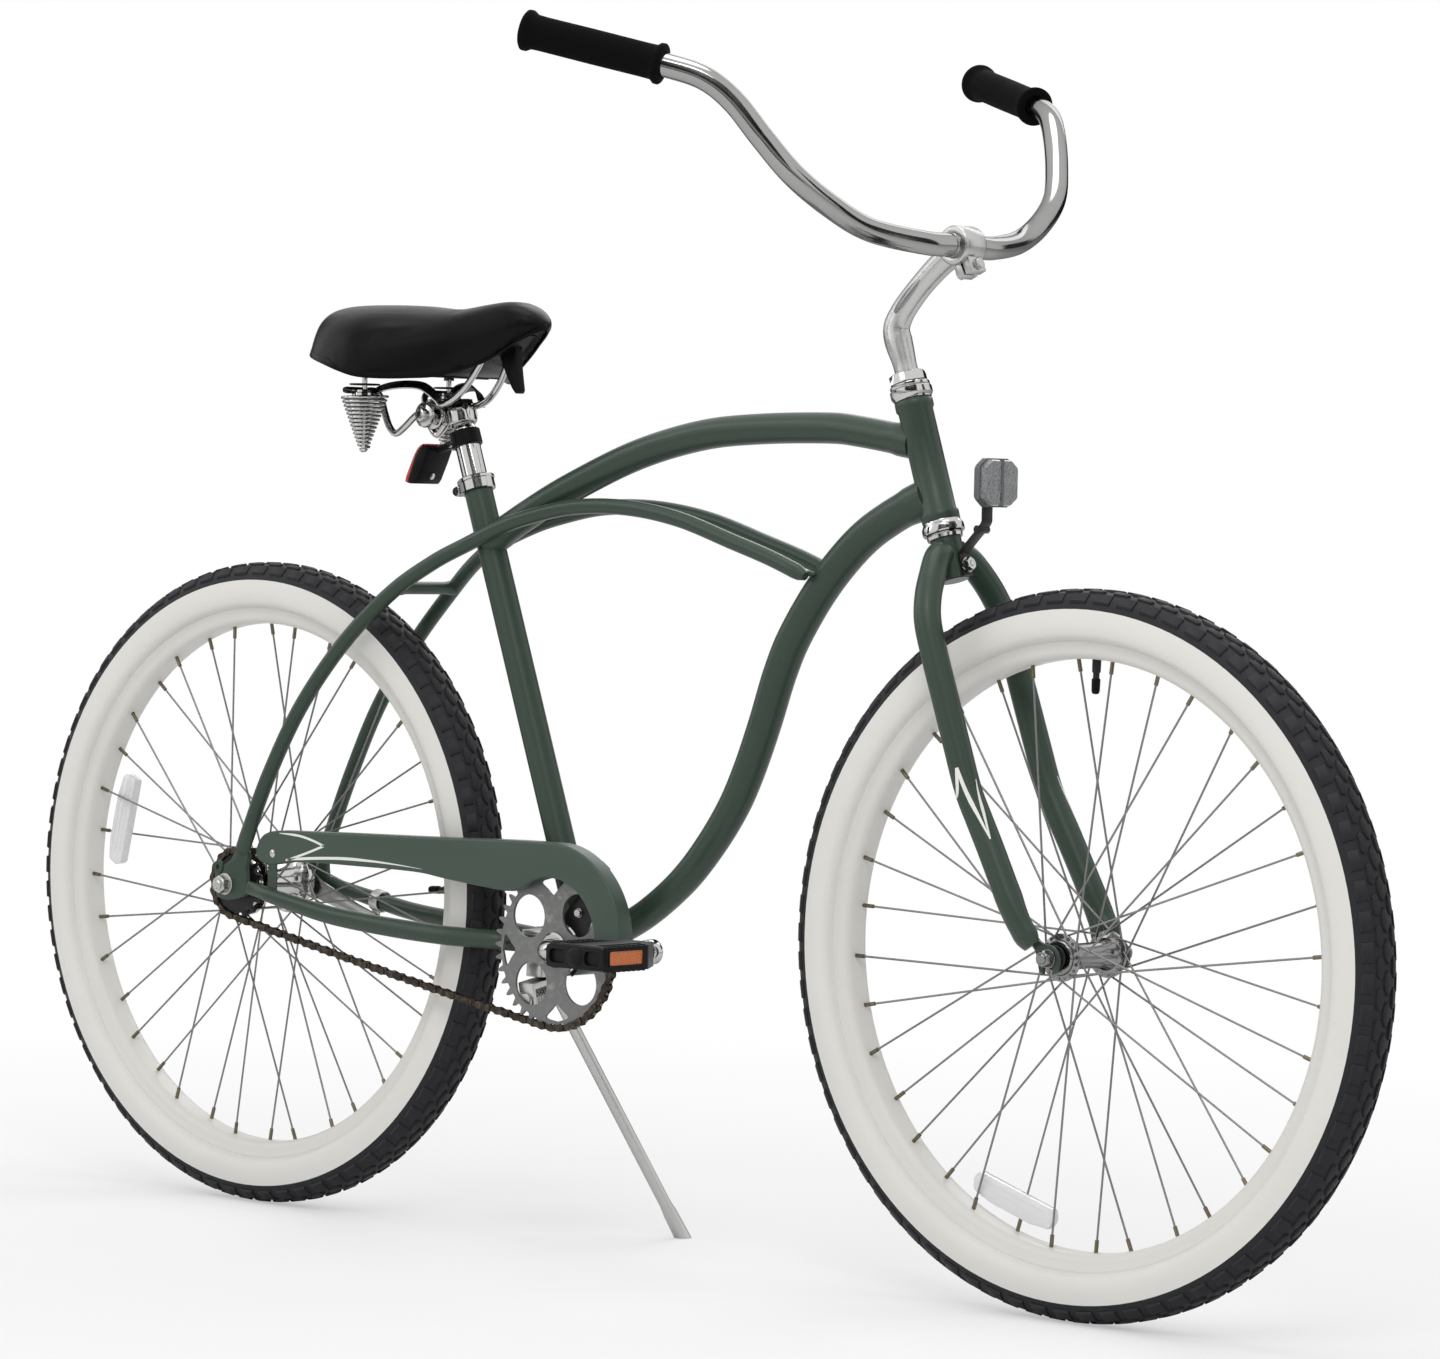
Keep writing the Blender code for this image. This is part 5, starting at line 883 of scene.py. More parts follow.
class Pattern:
    """A geometry node tree with named inputs, which ends in real geometry with its material set."""

    def __init__(self, name: str, inputs: dict[str, tuple[str, object]]) -> None:
        """Starts the tree.

        Args:
            name: the tree's name.
            inputs: each input's socket type and default value, by name.
        """
        self.tree = bpy.data.node_groups.new(name, "GeometryNodeTree")
        face = self.tree.interface
        face.new_socket("Geometry", in_out="INPUT", socket_type="NodeSocketGeometry")
        self.ids: dict[str, str] = {}
        for label, (kind, value) in inputs.items():
            socket = face.new_socket(label, in_out="INPUT", socket_type=kind)
            if value is not None:
                socket.default_value = value
            self.ids[label] = socket.identifier
        self.ids["Material"] = face.new_socket("Material", in_out="INPUT", socket_type="NodeSocketMaterial").identifier
        face.new_socket("Geometry", in_out="OUTPUT", socket_type="NodeSocketGeometry")
        self.given = self.tree.nodes.new("NodeGroupInput").outputs

    def node(self, kind: str, *links: bpy.types.NodeSocket | float | None, **settings: object) -> bpy.types.Node:
        """Adds a node, fills its first inputs in order and sets its options.

        Args:
            kind: the node's type.
            links: a socket, a value, or None to leave the input alone.
            settings: the node's properties.

        Returns:
            The node.
        """
        node = self.tree.nodes.new(kind)
        for label, value in settings.items():
            setattr(node, label, value)
        for index, value in enumerate(links):
            if isinstance(value, bpy.types.NodeSocket):
                self.tree.links.new(value, node.inputs[index])
            elif value is not None:
                node.inputs[index].default_value = value
        return node

    def math(self, operation: str, *values: bpy.types.NodeSocket | float) -> bpy.types.NodeSocket:
        """One step of arithmetic on sockets or numbers."""
        return self.node("ShaderNodeMath", *values, operation=operation).outputs[0]

    def vector(self, *values: bpy.types.NodeSocket | float) -> bpy.types.NodeSocket:
        """A vector from three numbers."""
        return self.node("ShaderNodeCombineXYZ", *values).outputs[0]

    def turns(self) -> bpy.types.NodeSocket:
        """Each repeat's angle round the axis, from the inputs Count and Phase."""
        step = self.math("DIVIDE", TAU, self.given["Count"])
        index = self.node("GeometryNodeInputIndex").outputs[0]
        return self.math("ADD", self.math("MULTIPLY", index, step), self.given["Phase"])

    def spread(
        self, points: bpy.types.NodeSocket, part: bpy.types.NodeSocket, spin: bpy.types.NodeSocket
    ) -> bpy.types.Node:
        """Sets a part on each point.

        Args:
            points: the points.
            part: the part's geometry.
            spin: the part's rotation at each point.

        Returns:
            The node, whose scale is left alone.
        """
        node = self.node("GeometryNodeInstanceOnPoints", points)
        wire(self.tree, (part, node.inputs["Instance"]), (spin, node.inputs["Rotation"]))
        return node

    def finish(self, instances: bpy.types.NodeSocket) -> "Pattern":
        """Makes the instances real, sets their material and ends the tree."""
        real = self.node("GeometryNodeRealizeInstances", instances).outputs[0]
        smooth = self.node("GeometryNodeSetShadeSmooth", real).outputs[0]
        done = self.node("GeometryNodeSetMaterial", smooth)
        out = self.tree.nodes.new("NodeGroupOutput")
        wire(self.tree, (self.given["Material"], done.inputs["Material"]), (done.outputs[0], out.inputs[0]))
        return self

    def grow(self, name: str, finish: Finish, base: bpy.types.Mesh | None = None, **values: object) -> bpy.types.Object:
        """Runs the tree and keeps its result as a plain mesh.

        Args:
            name: the new piece's name.
            finish: its finish.
            base: the mesh that the tree starts from, if it needs one.
            values: the tree's inputs, by name with _ for a space.

        Returns:
            The piece, in the scene and not yet on a body.
        """
        obj = link(bpy.data.objects.new(name, base or bpy.data.meshes.new(name)))
        modifier = obj.modifiers.new(name, "NODES")
        modifier.node_group = self.tree
        modifier[self.ids["Material"]] = finish.material()
        for label, value in values.items():
            modifier[self.ids[label.replace("_", " ")]] = value
        obj.update_tag()
        mesh = baked(obj)
        obj.modifiers.clear()
        obj.data = mesh
        mesh.name = name
        mesh.materials.clear()
        mesh.materials.append(finish.material())
        mesh.polygons.foreach_set("material_index", [0] * len(mesh.polygons))
        mesh.set_sharp_from_angle(angle=GROWN_SHARP)
        return obj


def rods_pattern() -> Pattern:
    """Rods that repeat round the wheel's axle: each runs from one radius, angle and side to another.

    Returns:
        The tree, for spokes, nipples and spoke heads.
    """
    made = Pattern("rods round an axle", {
        "Count": ("NodeSocketInt", 9), "Centre": ("NodeSocketVector", None), "Phase": ("NodeSocketFloat", 0.0),
        "Swing": ("NodeSocketFloat", 0.0), "Inner Radius": ("NodeSocketFloat", 0.02),
        "Outer Radius": ("NodeSocketFloat", 0.27), "Inner Side": ("NodeSocketFloat", 0.03),
        "Outer Side": ("NodeSocketFloat", 0.004), "Thickness": ("NodeSocketFloat", 0.001),
        "Sides": ("NodeSocketInt", 8), "From": ("NodeSocketFloat", 0.0), "To": ("NodeSocketFloat", 1.0),
    })
    given, turn, ends = made.given, made.turns(), []
    for radius, angle, side in (
        (given["Inner Radius"], turn, given["Inner Side"]),
        (given["Outer Radius"], made.math("ADD", turn, given["Swing"]), given["Outer Side"]),
    ):
        x = made.math("MULTIPLY", made.math("COSINE", angle), radius)
        z = made.math("MULTIPLY", made.math("SINE", angle), radius)
        ends.append(made.node("ShaderNodeVectorMath", made.vector(x, side, z), given["Centre"]).outputs[0])
    along = made.node("ShaderNodeVectorMath", ends[1], ends[0], operation="SUBTRACT").outputs[0]
    spots = []
    for share in (given["From"], given["To"]):
        part = made.node("ShaderNodeVectorMath", along, operation="SCALE")
        wire(made.tree, (share, part.inputs["Scale"]))
        spots.append(made.node("ShaderNodeVectorMath", ends[0], part.outputs[0]).outputs[0])
    rod = made.node("ShaderNodeVectorMath", spots[1], spots[0], operation="SUBTRACT").outputs[0]
    length = made.node("ShaderNodeVectorMath", rod, operation="LENGTH").outputs["Value"]
    points = made.node("GeometryNodePoints", given["Count"], spots[0])
    bar = made.node("GeometryNodeMeshCylinder", given["Sides"])
    bar.inputs["Radius"].default_value = 1.0
    bar.inputs["Depth"].default_value = 1.0
    lifted = made.node("GeometryNodeTransform", bar.outputs["Mesh"])
    lifted.inputs["Translation"].default_value = (0.0, 0.0, 0.5)
    aim = made.node("FunctionNodeAlignRotationToVector", axis="Z")
    wire(made.tree, (rod, aim.inputs["Vector"]))
    spread = made.spread(points.outputs[0], lifted.outputs[0], aim.outputs[0])
    wire(made.tree, (made.vector(given["Thickness"], given["Thickness"], length), spread.inputs["Scale"]))
    return made.finish(spread.outputs[0])


def turned_pattern() -> Pattern:
    """A part that repeats round an axis along Y, such as tread blocks or the ribs of a knurled edge.

    Returns:
        The tree.
    """
    made = Pattern("parts round an axis", {
        "Part": ("NodeSocketObject", None), "Count": ("NodeSocketInt", 12), "Centre": ("NodeSocketVector", None),
        "Phase": ("NodeSocketFloat", 0.0),
    })
    given, turn = made.given, made.turns()
    points = made.node("GeometryNodePoints", given["Count"], given["Centre"])
    part = made.node("GeometryNodeObjectInfo", given["Part"])
    spin = made.node("FunctionNodeEulerToRotation", made.vector(0.0, turn, 0.0))
    return made.finish(made.spread(points.outputs[0], part.outputs["Geometry"], spin.outputs[0]).outputs[0])


def placed_pattern() -> Pattern:
    """A part at each point of a mesh, turned about Y by the point's own heading.

    Returns:
        The tree, for chain links and screws.
    """
    made = Pattern("parts at points", {"Part": ("NodeSocketObject", None)})
    part = made.node("GeometryNodeObjectInfo", made.given["Part"])
    heading = made.node("GeometryNodeInputNamedAttribute", "heading", data_type="FLOAT").outputs[0]
    spin = made.node("FunctionNodeEulerToRotation", made.vector(0.0, heading, 0.0))
    return made.finish(made.spread(made.given["Geometry"], part.outputs["Geometry"], spin.outputs[0]).outputs[0])


RODS = rods_pattern()
TURNED = turned_pattern()
PLACED = placed_pattern()


def part_object(shape: Shape, name: str, bevel: float = 0.0) -> bpy.types.Object:
    """A shape as an object for a pattern to repeat, drawn about the origin."""
    return link(bpy.data.objects.new(name, shape.mesh(name, bevel, 1, 38.0)))


def spot_mesh(name: str, spots: Points, headings: Sequence[float]) -> bpy.types.Mesh:
    """Points with a heading each, for a pattern to place parts at."""
    mesh = bpy.data.meshes.new(name)
    mesh.from_pydata([tuple(p) for p in spots], [], [])
    attribute = mesh.attributes.new("heading", "FLOAT", "POINT")
    attribute.data.foreach_set("value", np.asarray(headings, np.float32))
    return mesh


def merged(name: str, objects: Sequence[bpy.types.Object]) -> bpy.types.Object:
    """Joins several grown pieces of one finish into one.

    Args:
        name: the joined piece's name.
        objects: the pieces.

    Returns:
        The joined piece.
    """
    work = bmesh.new()
    for obj in objects:
        work.from_mesh(obj.data)
    mesh = bpy.data.meshes.new(name)
    work.to_mesh(mesh)
    work.free()
    mesh.materials.append(objects[0].data.materials[0])
    mesh.polygons.foreach_set("material_index", [0] * len(mesh.polygons))
    for obj in objects:
        bpy.data.objects.remove(obj, do_unlink=True)
    mesh.set_sharp_from_angle(angle=GROWN_SHARP)
    return link(bpy.data.objects.new(name, mesh))


# Wheels
def nut(shape: Shape, centre: Points, axis: Points, half: float, height: float, washer: float = 0.0) -> Shape:
    """A hexagon nut or bolt head with a chamfered top, on a washer if one is asked for.

    Args:
        shape: what it is added to.
        centre: the middle of its seat.
        axis: the way it points.
        half: half its size across the flats.
        height: how tall it is.
        washer: the radius of the washer under it, or nought.

    Returns:
        The shape.
    """
    side, other = frame_of(axis)
    centre, axis = np.asarray(centre, float), unit(axis)
    seat = 0.0014 if washer else 0.0
    if washer:
        disc = [(0.0, 0.001), (0.0, washer), (seat * 0.8, washer), (seat, washer * 0.96), (seat, 0.001)]
        shape.lathe(disc, centre, axis, 40)
    turns = np.linspace(0.0, TAU, 36, endpoint=False)
    hexed = half / np.cos(np.mod(turns, TAU / 6) - TAU / 12)
    rings = []
    for up, limit in ((seat, 1.15), (seat + height * 0.78, 1.15), (seat + height * 0.9, 1.08), (seat + height, 0.96)):
        r = np.minimum(hexed, half * limit)[:, None]
        rings.append(centre + axis * up + r * (np.cos(turns)[:, None] * side + np.sin(turns)[:, None] * other))
    return shape.loft(rings)


def threaded(shape: Shape, start: Points, axis: Points, length: float, radius: float) -> Shape:
    """A threaded end as closely spaced ridges with a chamfered tip."""
    pitch = 0.001
    ridges = [(0.0, radius)]
    for k in range(int(length / pitch)):
        ridges += [(pitch * (k + 0.25), radius), (pitch * (k + 0.75), radius * 0.9)]
    return shape.lathe(ridges + [(length, radius * 0.82), (length, 0.0)], start, axis, 20)


@dataclass
class Wheel:
    """A spoked wheel with its balloon tyre, rim, spokes, valve and reflector."""

    name: str
    centre: Triple
    flange_y: float
    flange_r: float
    phase: float
    reflector_angle: float
    reflector_inside: float
    reflector_half: float
    valve_angle: float
    spokes: int = 36
    cross: int = 3
    apart: float = 0.0012
    rim_spread: float = 0.004
    rim_r: float = 0.286
    rim_in_r: float = 0.2695
    rim_half: float = 0.0172
    spoke_r: float = 0.001
    nipple_r: float = 0.0019
    nipple_len: float = 0.012
    facets: int = 144
    block_count: int = 76
    block_tall: float = 0.0022
    # half of the tyre's section, as (across, from the axle), from the crown to the bead
    section: tuple[Pair, ...] = (
        (0.0, 0.3312), (0.005, 0.3311), (0.01, 0.3303), (0.0145, 0.3286), (0.0185, 0.3257), (0.0218, 0.3216),
        (0.024, 0.3168), (0.0253, 0.3118), (0.0264, 0.306), (0.0269, 0.3005), (0.0266, 0.2955), (0.0252, 0.2912),
        (0.0226, 0.2884), (0.0192, 0.2868), (0.016, 0.2858), (0.0148, 0.284),
    )
    white_from: int = 7
    white_to: int = 13

    @property
    def body(self) -> str:
        """The body that the wheel turns with."""
        return f"{self.name}_wheel"

    def build(self) -> None:
        """Makes every piece of the wheel."""
        self.tyre()
        self.tread()
        self.rim()
        self.laces()
        self.valve()
        self.reflector()

    def smooth_section(self) -> list[Pair]:
        """The half section with points between its own, for a round flank."""
        fine = natural(self.section, 3 * len(self.section) - 2)
        return [(float(a), float(b)) for a, b in fine]

    def tyre(self) -> None:
        """The casing: black crown and white walls down to the rim."""
        half = self.smooth_section()
        low, high = 3 * self.white_from, 3 * self.white_to
        mirror = [(-y, r) for y, r in half]
        shape = Shape()
        crown = mirror[low::-1] + half[1 : low + 1]
        self._band(shape.using(0), crown)
        for side in (half, mirror):
            self._band(shape.using(1), side[low : high + 1])
            self._band(shape.using(1), side[high:])
        self._band(shape.using(0), [half[-1], (0.013, 0.285), (-0.013, 0.285), mirror[-1]])
        piece(shape, f"{self.name}_tyre_casing", [RUBBER, WHITEWALL], self.body, [f"{self.name}_tyre"], sharp=60.0)

    def _band(self, shape: Shape, profile: Sequence[Pair]) -> None:
        """A stretch of a section turned round the axle, open at its ends."""
        turns = np.arange(self.facets) * TAU / self.facets
        rows = [
            np.stack([r * np.sin(turns), np.full(self.facets, y), r * np.cos(turns)], axis=1) + np.array(self.centre)
            for y, r in profile
        ]
        shape.loft(rows, caps=False)

    def block(self, outline: Sequence[Pair], y: float, name: str) -> bpy.types.Object:
        """A rubber block that stands on the casing at the wheel's top, drawn about the axle.

        Args:
            outline: its edge, in (round the wheel, across) pairs from its middle.
            y: where its middle is across the tyre.
            name: its name.

        Returns:
            The block, for the pattern to repeat.
        """
        across, radius = np.array(self.section[:9]).T
        near = 1e-3
        rings = []
        for tall, inset in ((-0.001, 1.0), (self.block_tall * 0.75, 0.97), (self.block_tall, 0.86)):
            ring = []
            for run, spread in outline:
                spot = y + spread * inset
                r = float(np.interp(abs(spot), across, radius))
                slope = float(np.interp(abs(spot) + near, across, radius) - np.interp(abs(spot) - near, across, radius))
                lean = math.atan2(-slope, 2 * near)
                r_top = r + tall * math.cos(lean)
                turn = run * inset / r
                y_top = spot + math.copysign(tall * math.sin(lean), spot)
                ring.append((r_top * math.sin(turn), y_top, r_top * math.cos(turn)))
            rings.append(ring)
        return part_object(Shape().loft(rings), name)

    def tread(self) -> None:
        """The rows of blocks: hexagons in the middle, ovals beside them and lugs at the shoulders."""
        step = TAU * self.tyre_run / self.block_count
        hexagon = [(-0.42, 0.0), (-0.22, 0.0042), (0.22, 0.0042), (0.42, 0.0), (0.22, -0.0042), (-0.22, -0.0042)]
        oval = [(-0.36, 0.0), (-0.28, 0.003), (0.28, 0.003), (0.36, 0.0), (0.28, -0.003), (-0.28, -0.003)]
        lug = [(-0.33, -0.003), (-0.33, 0.004), (0.33, 0.004), (0.33, -0.003)]
        rows = [(hexagon, 0.0, 0.0), (oval, 0.0098, 0.5), (oval, -0.0098, 0.5), (lug, 0.0192, 0.0), (lug, -0.0192, 0.0)]
        grown = []
        for k, (outline, y, shift) in enumerate(rows):
            sized = [(run * step, spread) for run, spread in outline]
            part = self.block(sized, y, f"block_{k}")
            values = {"Count": self.block_count, "Centre": self.centre, "Phase": shift * TAU / self.block_count}
            grown.append(TURNED.grow(f"row_{k}", RUBBER, Part=part, **values))
            bpy.data.objects.remove(part, do_unlink=True)
        enrol(merged(f"{self.name}_tread_blocks", grown), self.body)

    @property
    def tyre_run(self) -> float:
        """The tread's radius."""
        return self.section[0][1]

    def rim(self) -> None:
        """The rim with its hooked edges, straight flanks and crowned inner face, and a thin grey ring of painted shadow
        beside the tyre.
        """
        deep, edge, w = self.rim_in_r, self.rim_r, self.rim_half
        half = [
            (w - 0.0022, edge + 0.0006), (w - 0.001, edge + 0.0012), (w, edge + 0.0006), (w + 0.0002, edge - 0.001),
            (w - 0.0002, edge - 0.0024), (w - 0.001, edge - 0.0034), (w - 0.0012, edge - 0.009),
            (w - 0.0022, deep + 0.004), (w - 0.005, deep + 0.0012), (w - 0.0085, deep + 0.0002), (0.004, deep),
        ]
        outer = [(w - 0.003, edge - 0.002), (w - 0.0032, edge - 0.009), (0.01, edge - 0.012), (0.005, edge - 0.013)]
        shape = Shape()
        profile = half + [(-y, r) for y, r in half[::-1]]
        profile += [(-y, r) for y, r in outer] + outer[::-1]
        self._band(shape, profile + profile[:1])
        # a thin grey ring at each hook: painted shadow where the tyre meets the rim
        for side in (-1, 1):
            bead = arc((side * (w - 0.0006), edge + 0.0012), 0.0007, 0.0, 360.0, 9)
            self._band(shape.using(1), bead)
        piece(shape, f"{self.name}_rim_shell", [RIM_WHITE, BEAD_SHADOW], self.body, [f"{self.name}_rim"], sharp=50.0)

    def laces(self) -> None:
        """The crossed spokes, their heads in the flanges and their nipples in the rim."""
        per_set = self.spokes // 4
        step = TAU / per_set
        swing = self.cross * 2 * TAU / self.spokes
        top = self.rim_in_r + 0.001
        spokes, nipples, heads = [], [], []
        for side in (-1, 1):
            for inward in (0, 1):
                phase = self.phase + (inward + (0.5 if side > 0 else 0.0)) * step / 2
                apart = self.apart if inward else -self.apart
                sizes = {
                    "Count": per_set, "Centre": self.centre, "Phase": phase, "Swing": swing if inward else -swing,
                    "Inner_Radius": self.flange_r, "Outer_Radius": top, "Inner_Side": side * (self.flange_y + apart),
                    "Outer_Side": side * (self.rim_spread + apart), "Sides": 10,
                }
                tag = f"{side}_{inward}"
                spokes.append(RODS.grow(f"spoke_{tag}", SPOKE_STEEL, Thickness=self.spoke_r, **sizes))
                share = 1.0 - self.nipple_len / (top - self.flange_r)
                nipples.append(RODS.grow(f"nipple_{tag}", BRASS, Thickness=self.nipple_r, From=share, **sizes))
                sizes.update(Outer_Radius=self.flange_r, Swing=0.0, Outer_Side=side * (self.flange_y - 1.6 * apart))
                sizes.update(Inner_Side=side * (self.flange_y + 1.9 * apart))
                heads.append(RODS.grow(f"head_{tag}", SPOKE_STEEL, Thickness=self.spoke_r * 1.7, **sizes))
        enrol(merged(f"{self.name}_spokes", spokes + heads), self.body)
        enrol(merged(f"{self.name}_nipples", nipples), self.body)

    def valve(self) -> None:
        """The valve's stem, nut and cap, which stand inwards from the rim."""
        out = np.array([math.cos(self.valve_angle), 0.0, math.sin(self.valve_angle)])
        foot = np.array(self.centre) + out * (self.rim_in_r + 0.0005)
        stem = [(0.0, 0.0042), (0.012, 0.004), (0.013, 0.003), (0.025, 0.003), (0.025, 0.0)]
        cap = [
            (0.018, 0.0), (0.018, 0.0038), (0.019, 0.0041), (0.0285, 0.0039), (0.031, 0.0034), (0.032, 0.0022),
            (0.0323, 0.0),
        ]
        shape = Shape().using(0).lathe([(0.0, 0.0)] + stem, foot, -out, 24)
        shape.using(1).lathe(cap, foot, -out, 24)
        piece(shape, f"{self.name}_valve", [RUBBER, PLASTIC], self.body)

    def reflector(self) -> None:
        """The clear lens between two spokes, with its long ribs."""
        out = np.array([math.cos(self.reflector_angle), 0.0, math.sin(self.reflector_angle)])
        side = np.array([-out[2], 0.0, out[0]])
        spot = np.array(self.centre) + out * (self.rim_in_r - self.reflector_inside)
        half = [(0.0, -0.012), (0.046, -0.0105), (0.05, -0.002), (0.047, 0.0085), (0.024, 0.0125), (0.0, 0.0135)]
        full = rounded(half[1:-1] + [(-x, z) for x, z in half[-2:0:-1]], 0.005)
        shape = Shape()
        deep = self.reflector_half
        inner = [(x * 0.9, z * 0.8) for x, z in full]
        rows = [(-deep, inner), (-deep * 0.8, [(x * 0.985, z * 0.97) for x, z in full]), (-deep * 0.6, full)]
        shape.slab(rows + [(-h, o) for h, o in rows[::-1]], spot, side, out, Y_AXIS)
        for up in (-0.006, 0.0, 0.006):
            shape.box(spot + out * (up + 0.0008), (0.072, 2 * deep + 0.0006, 0.0014), (side, Y_AXIS, out))
        piece(shape, f"{self.name}_wheel_reflector", [CLEAR], self.body, [f"{self.name}_spoke_reflector"], sharp=30.0)


@dataclass
class FrontHub:
    """The front hub's shell and its axle with cones, washers and nuts."""

    centre: Triple = PLAN.front
    flange_y: float = 0.034
    flange_r: float = 0.0218
    fork_half: float = 0.05
    tip: float = 0.0035
    axle_r: float = 0.0047

    def build(self) -> None:
        """Makes the shell on the wheel and the axle on the fork."""
        self.shell()
        self.axle()

    def shell(self) -> None:
        """The waisted shell with its two spoke flanges."""
        y, r = self.flange_y, self.flange_r
        half = [
            (0.0, 0.0118), (y - 0.014, 0.012), (y - 0.0075, 0.0128), (y - 0.0032, 0.015), (y - 0.0014, 0.018),
            (y - 0.0012, r - 0.0006), (y - 0.0008, r), (y + 0.0008, r), (y + 0.0012, r - 0.0006),
            (y + 0.0014, 0.0185), (y + 0.0026, 0.0165), (y + 0.0045, 0.016), (0.0396, 0.0154), (0.04, 0.0148),
            (0.04, 0.011),
        ]
        profile = [(-a, b) for a, b in half[::-1]] + half[1:]
        shape = Shape().lathe(profile, self.centre, Y_AXIS, 64, ring=True)
        piece(shape, "front_hub_shell", [DARK_CHROME], "front_wheel", ["front_hub_spokes"], sharp=30.0)

    def axle(self) -> None:
        """The axle with dark cone washers inside the fork, and washers and nuts outside."""
        shape = Shape()
        half, tip = self.fork_half, self.tip
        for side in (-1, 1):
            way = Y_AXIS * side
            cone = [
                (0.03, 0.0), (0.03, self.axle_r), (0.0385, 0.01), (0.0415, 0.01), (0.043, 0.0088), (0.0455, 0.0088),
                (0.0455, 0.0),
            ]
            shape.using(0).lathe(cone, self.centre, way, 40)
            ring = [(0.0422, 0.0), (0.0422, 0.0112), (0.043, 0.0116), (0.0452, 0.0112), (0.0452, 0.0)]
            shape.using(1).lathe(ring, self.centre, way, 40)
            shape.using(0).rod(0.0, 0.004, 0.0086, np.array(self.centre) + way * (half - 0.0046), way, 40)
            out = np.array(self.centre) + way * (half + tip + 0.0003)
            nut(shape, out, way, 0.0066, 0.008, washer=0.0088)
            threaded(shape, out + way * 0.0078, way, 0.0036, self.axle_r)
        shape.rod(-0.05, 0.05, self.axle_r, self.centre, Y_AXIS, 20)
        piece(shape, "front_axle_set", [DARK_CHROME, BLACK_METAL], "steering", ["front_axle"], sharp=30.0)


